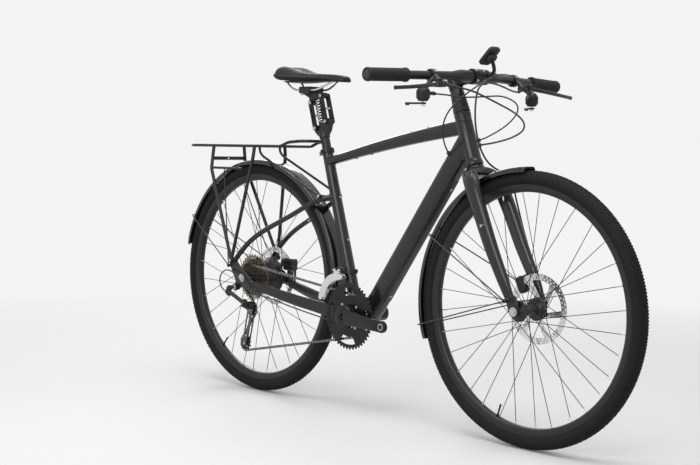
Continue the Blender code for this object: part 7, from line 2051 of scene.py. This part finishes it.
def saddle():
    """The padded cover, crowned and grooved, with its seams and the shell and rails below."""
    stations = smooth_path([Vector(station[:3]) for station in SADDLE_STATIONS], 4)
    edges = smooth_path([Vector((*station[3:], 0)) for station in SADDLE_STATIONS], 4)
    bm = bmesh.new()
    rings, seam = [], []
    for station, edge in zip(stations, edges):
        half = smooth_path(saddle_section(*station, edge.x, edge.y), 3)
        seam.append(half[19])
        ring = half + [Vector((p.x, -p.y, p.z)) for p in reversed(half[1:])]
        rings.append(placed_ring(bm, [SEAT_TOP + point for point in ring]))
    skin(bm, rings)
    cover = piece("saddle_cover", bm, SEAT_COVER, "saddle", angle=50)
    bm = bmesh.new()
    for side in (1, -1):
        line = [SEAT_TOP + Vector((p.x, side * (p.y + 0.0001), p.z + 0.0001)) for p in seam[2:-2]]
        pipe(bm, line, 0.0007, 8)
    piece("saddle_seams", bm, THREAD, "saddle")
    bm = bmesh.new()
    widths = (
        (-0.148, 0.03), (-0.144, 0.042), (-0.1324, 0.049), (-0.0924, 0.0455), (-0.0424, 0.0275), (0.005, 0.018),
        (0.0476, 0.0135),
    )
    section = (1.0, 0.1987), (1.0, 0.197), (0.93, 0.195), (-0.93, 0.195), (-1.0, 0.197), (-1.0, 0.1987)
    path = smooth_path([Vector((x, half, 0)) for x, half in widths], 4)
    skin(bm, [placed_ring(bm, [top(spot.x, spot.y * share, z) for share, z in section]) for spot in path])
    piece("saddle_shell", bm, MATTE_BLACK, "saddle_base")
    bm = bmesh.new()
    rail = [
        top(-0.1464, 0.028, 0.1942), top(-0.1344, 0.026, 0.1821), top(-0.1164, 0.022, 0.1721),
        top(-0.0244, 0.022, 0.1721), top(0.0076, 0.016, 0.1841), top(0.0296, 0.0085, 0.1942),
    ]
    for side in (1, -1):
        pipe(bm, filleted([sided(point, side) for point in rail], 0.014, 7), 0.0034, 20)
    piece("saddle_rails", bm, POLISHED, "saddle_base")


def seating():
    seat_post()
    links()
    suspension_head()
    spring()
    saddle()


# Front derailleur, axles and charging port

CAGE_HINGE = bottom(-0.068, -0.0385, 0.1235)
GUIDE_INNER_Y = CHAIN_Y + 0.0065
GUIDE_OUTER_Y = CHAIN_Y - 0.007


def front_derailleur():
    """The clamp band and arm on the seat tube, and the swinging cage that guides the chain."""
    arm = copied("front_derailleur_body")
    cast(piece("front_derailleur_arm", arm, SATIN_BLACK, "front_derailleur_body"), 0.0006, 3)
    bm = bmesh.new()
    for x, radius, height in ((0, 0.003, 0.001), (0.011, 0.0019, 0.0008), (-0.011, 0.0019, 0.0008)):
        bolt(bm, CAGE_HINGE + Vector((x, 0.013, 0.0062)), UP, radius, height)
    piece("derailleur_screws", bm, STEEL, "front_derailleur_body")
    outline = smooth_loop([bottom(x, 0, z) for x, z in (
        (-0.032, 0.103), (-0.039, 0.114), (-0.064, 0.1155), (-0.09, 0.106), (-0.11, 0.087), (-0.123, 0.063),
        (-0.128, 0.041), (-0.119, 0.036), (-0.106, 0.051), (-0.088, 0.077), (-0.066, 0.093),
    )], 5)
    origin = bottom(-0.074, 0, 0.081)
    flat = [(point.x - origin.x, point.z - origin.z) for point in outline]
    bm = bmesh.new()
    for y in (GUIDE_INNER_Y, GUIDE_OUTER_Y):
        punched(bm, [flat], 0.0013, in_side_view(origin + y * LEFT))
    width = GUIDE_INNER_Y - GUIDE_OUTER_Y
    block(bm, (0.0115, width, 0.0026), bottom(-0.042, CHAIN_Y, 0.111), None, 0.0005, 2)
    block(bm, (0.0055, width, 0.0036), bottom(-0.1225, CHAIN_Y, 0.0405), None, 0.0005, 2)
    rounded(piece("shift_guide", bm, POLISHED, "front_derailleur_cage"), 0.0004, 2)
    bm = bmesh.new()
    for way in (1, -1):
        lathe(
            bm,
            [(0.0024, 0.0148), (0.0024, 0.015), (0.0043, 0.015), (0.0045, 0.0147), (0.0045, 0.004), (0.0024, 0.004)],
            CAGE_HINGE, way * FORWARD, 28,
        )
    block(bm, (0.0255, 0.0022, 0.0165), Vector((CAGE_HINGE.x, GUIDE_INNER_Y, CAGE_HINGE.z - 0.0095)), None, 0.0006, 2)
    piece("guide_knuckle", bm, POLISHED, "front_derailleur_cage")


def charging_port():
    """The rubber flap over the charging port, with its rolled hinge and thumb ridge."""
    cast(piece("port_flap", copied("charge_port_cover"), TOP_COVER, "charge_port_cover"), 0.0005, 2)


def small_parts():
    front_derailleur()
    charging_port()
    eased("front_axle", "front_through_axle", STEEL, 0.0004)
    eased("rear_axle", "rear_through_axle", STEEL, 0.0004)


def dress_nodes():
    """Gives the CAD nodes a plain finish; pieces stand for all of them in the pictures."""
    for obj in NODES.values():
        obj.data.materials.clear()
        obj.data.materials.append(SATIN_BLACK)


frame_tubes()
hollow_ends()
bosses()
battery_cover()
cable_ports()
seat_collar()
fork()
stem()
handlebar()
for side in (1, -1):
    grip(side)
    control(side)
    brake_lever(side)
    shift_lever(side)
display()
wheels()
drivetrain()
carriers()
seating()
small_parts()
dress_nodes()
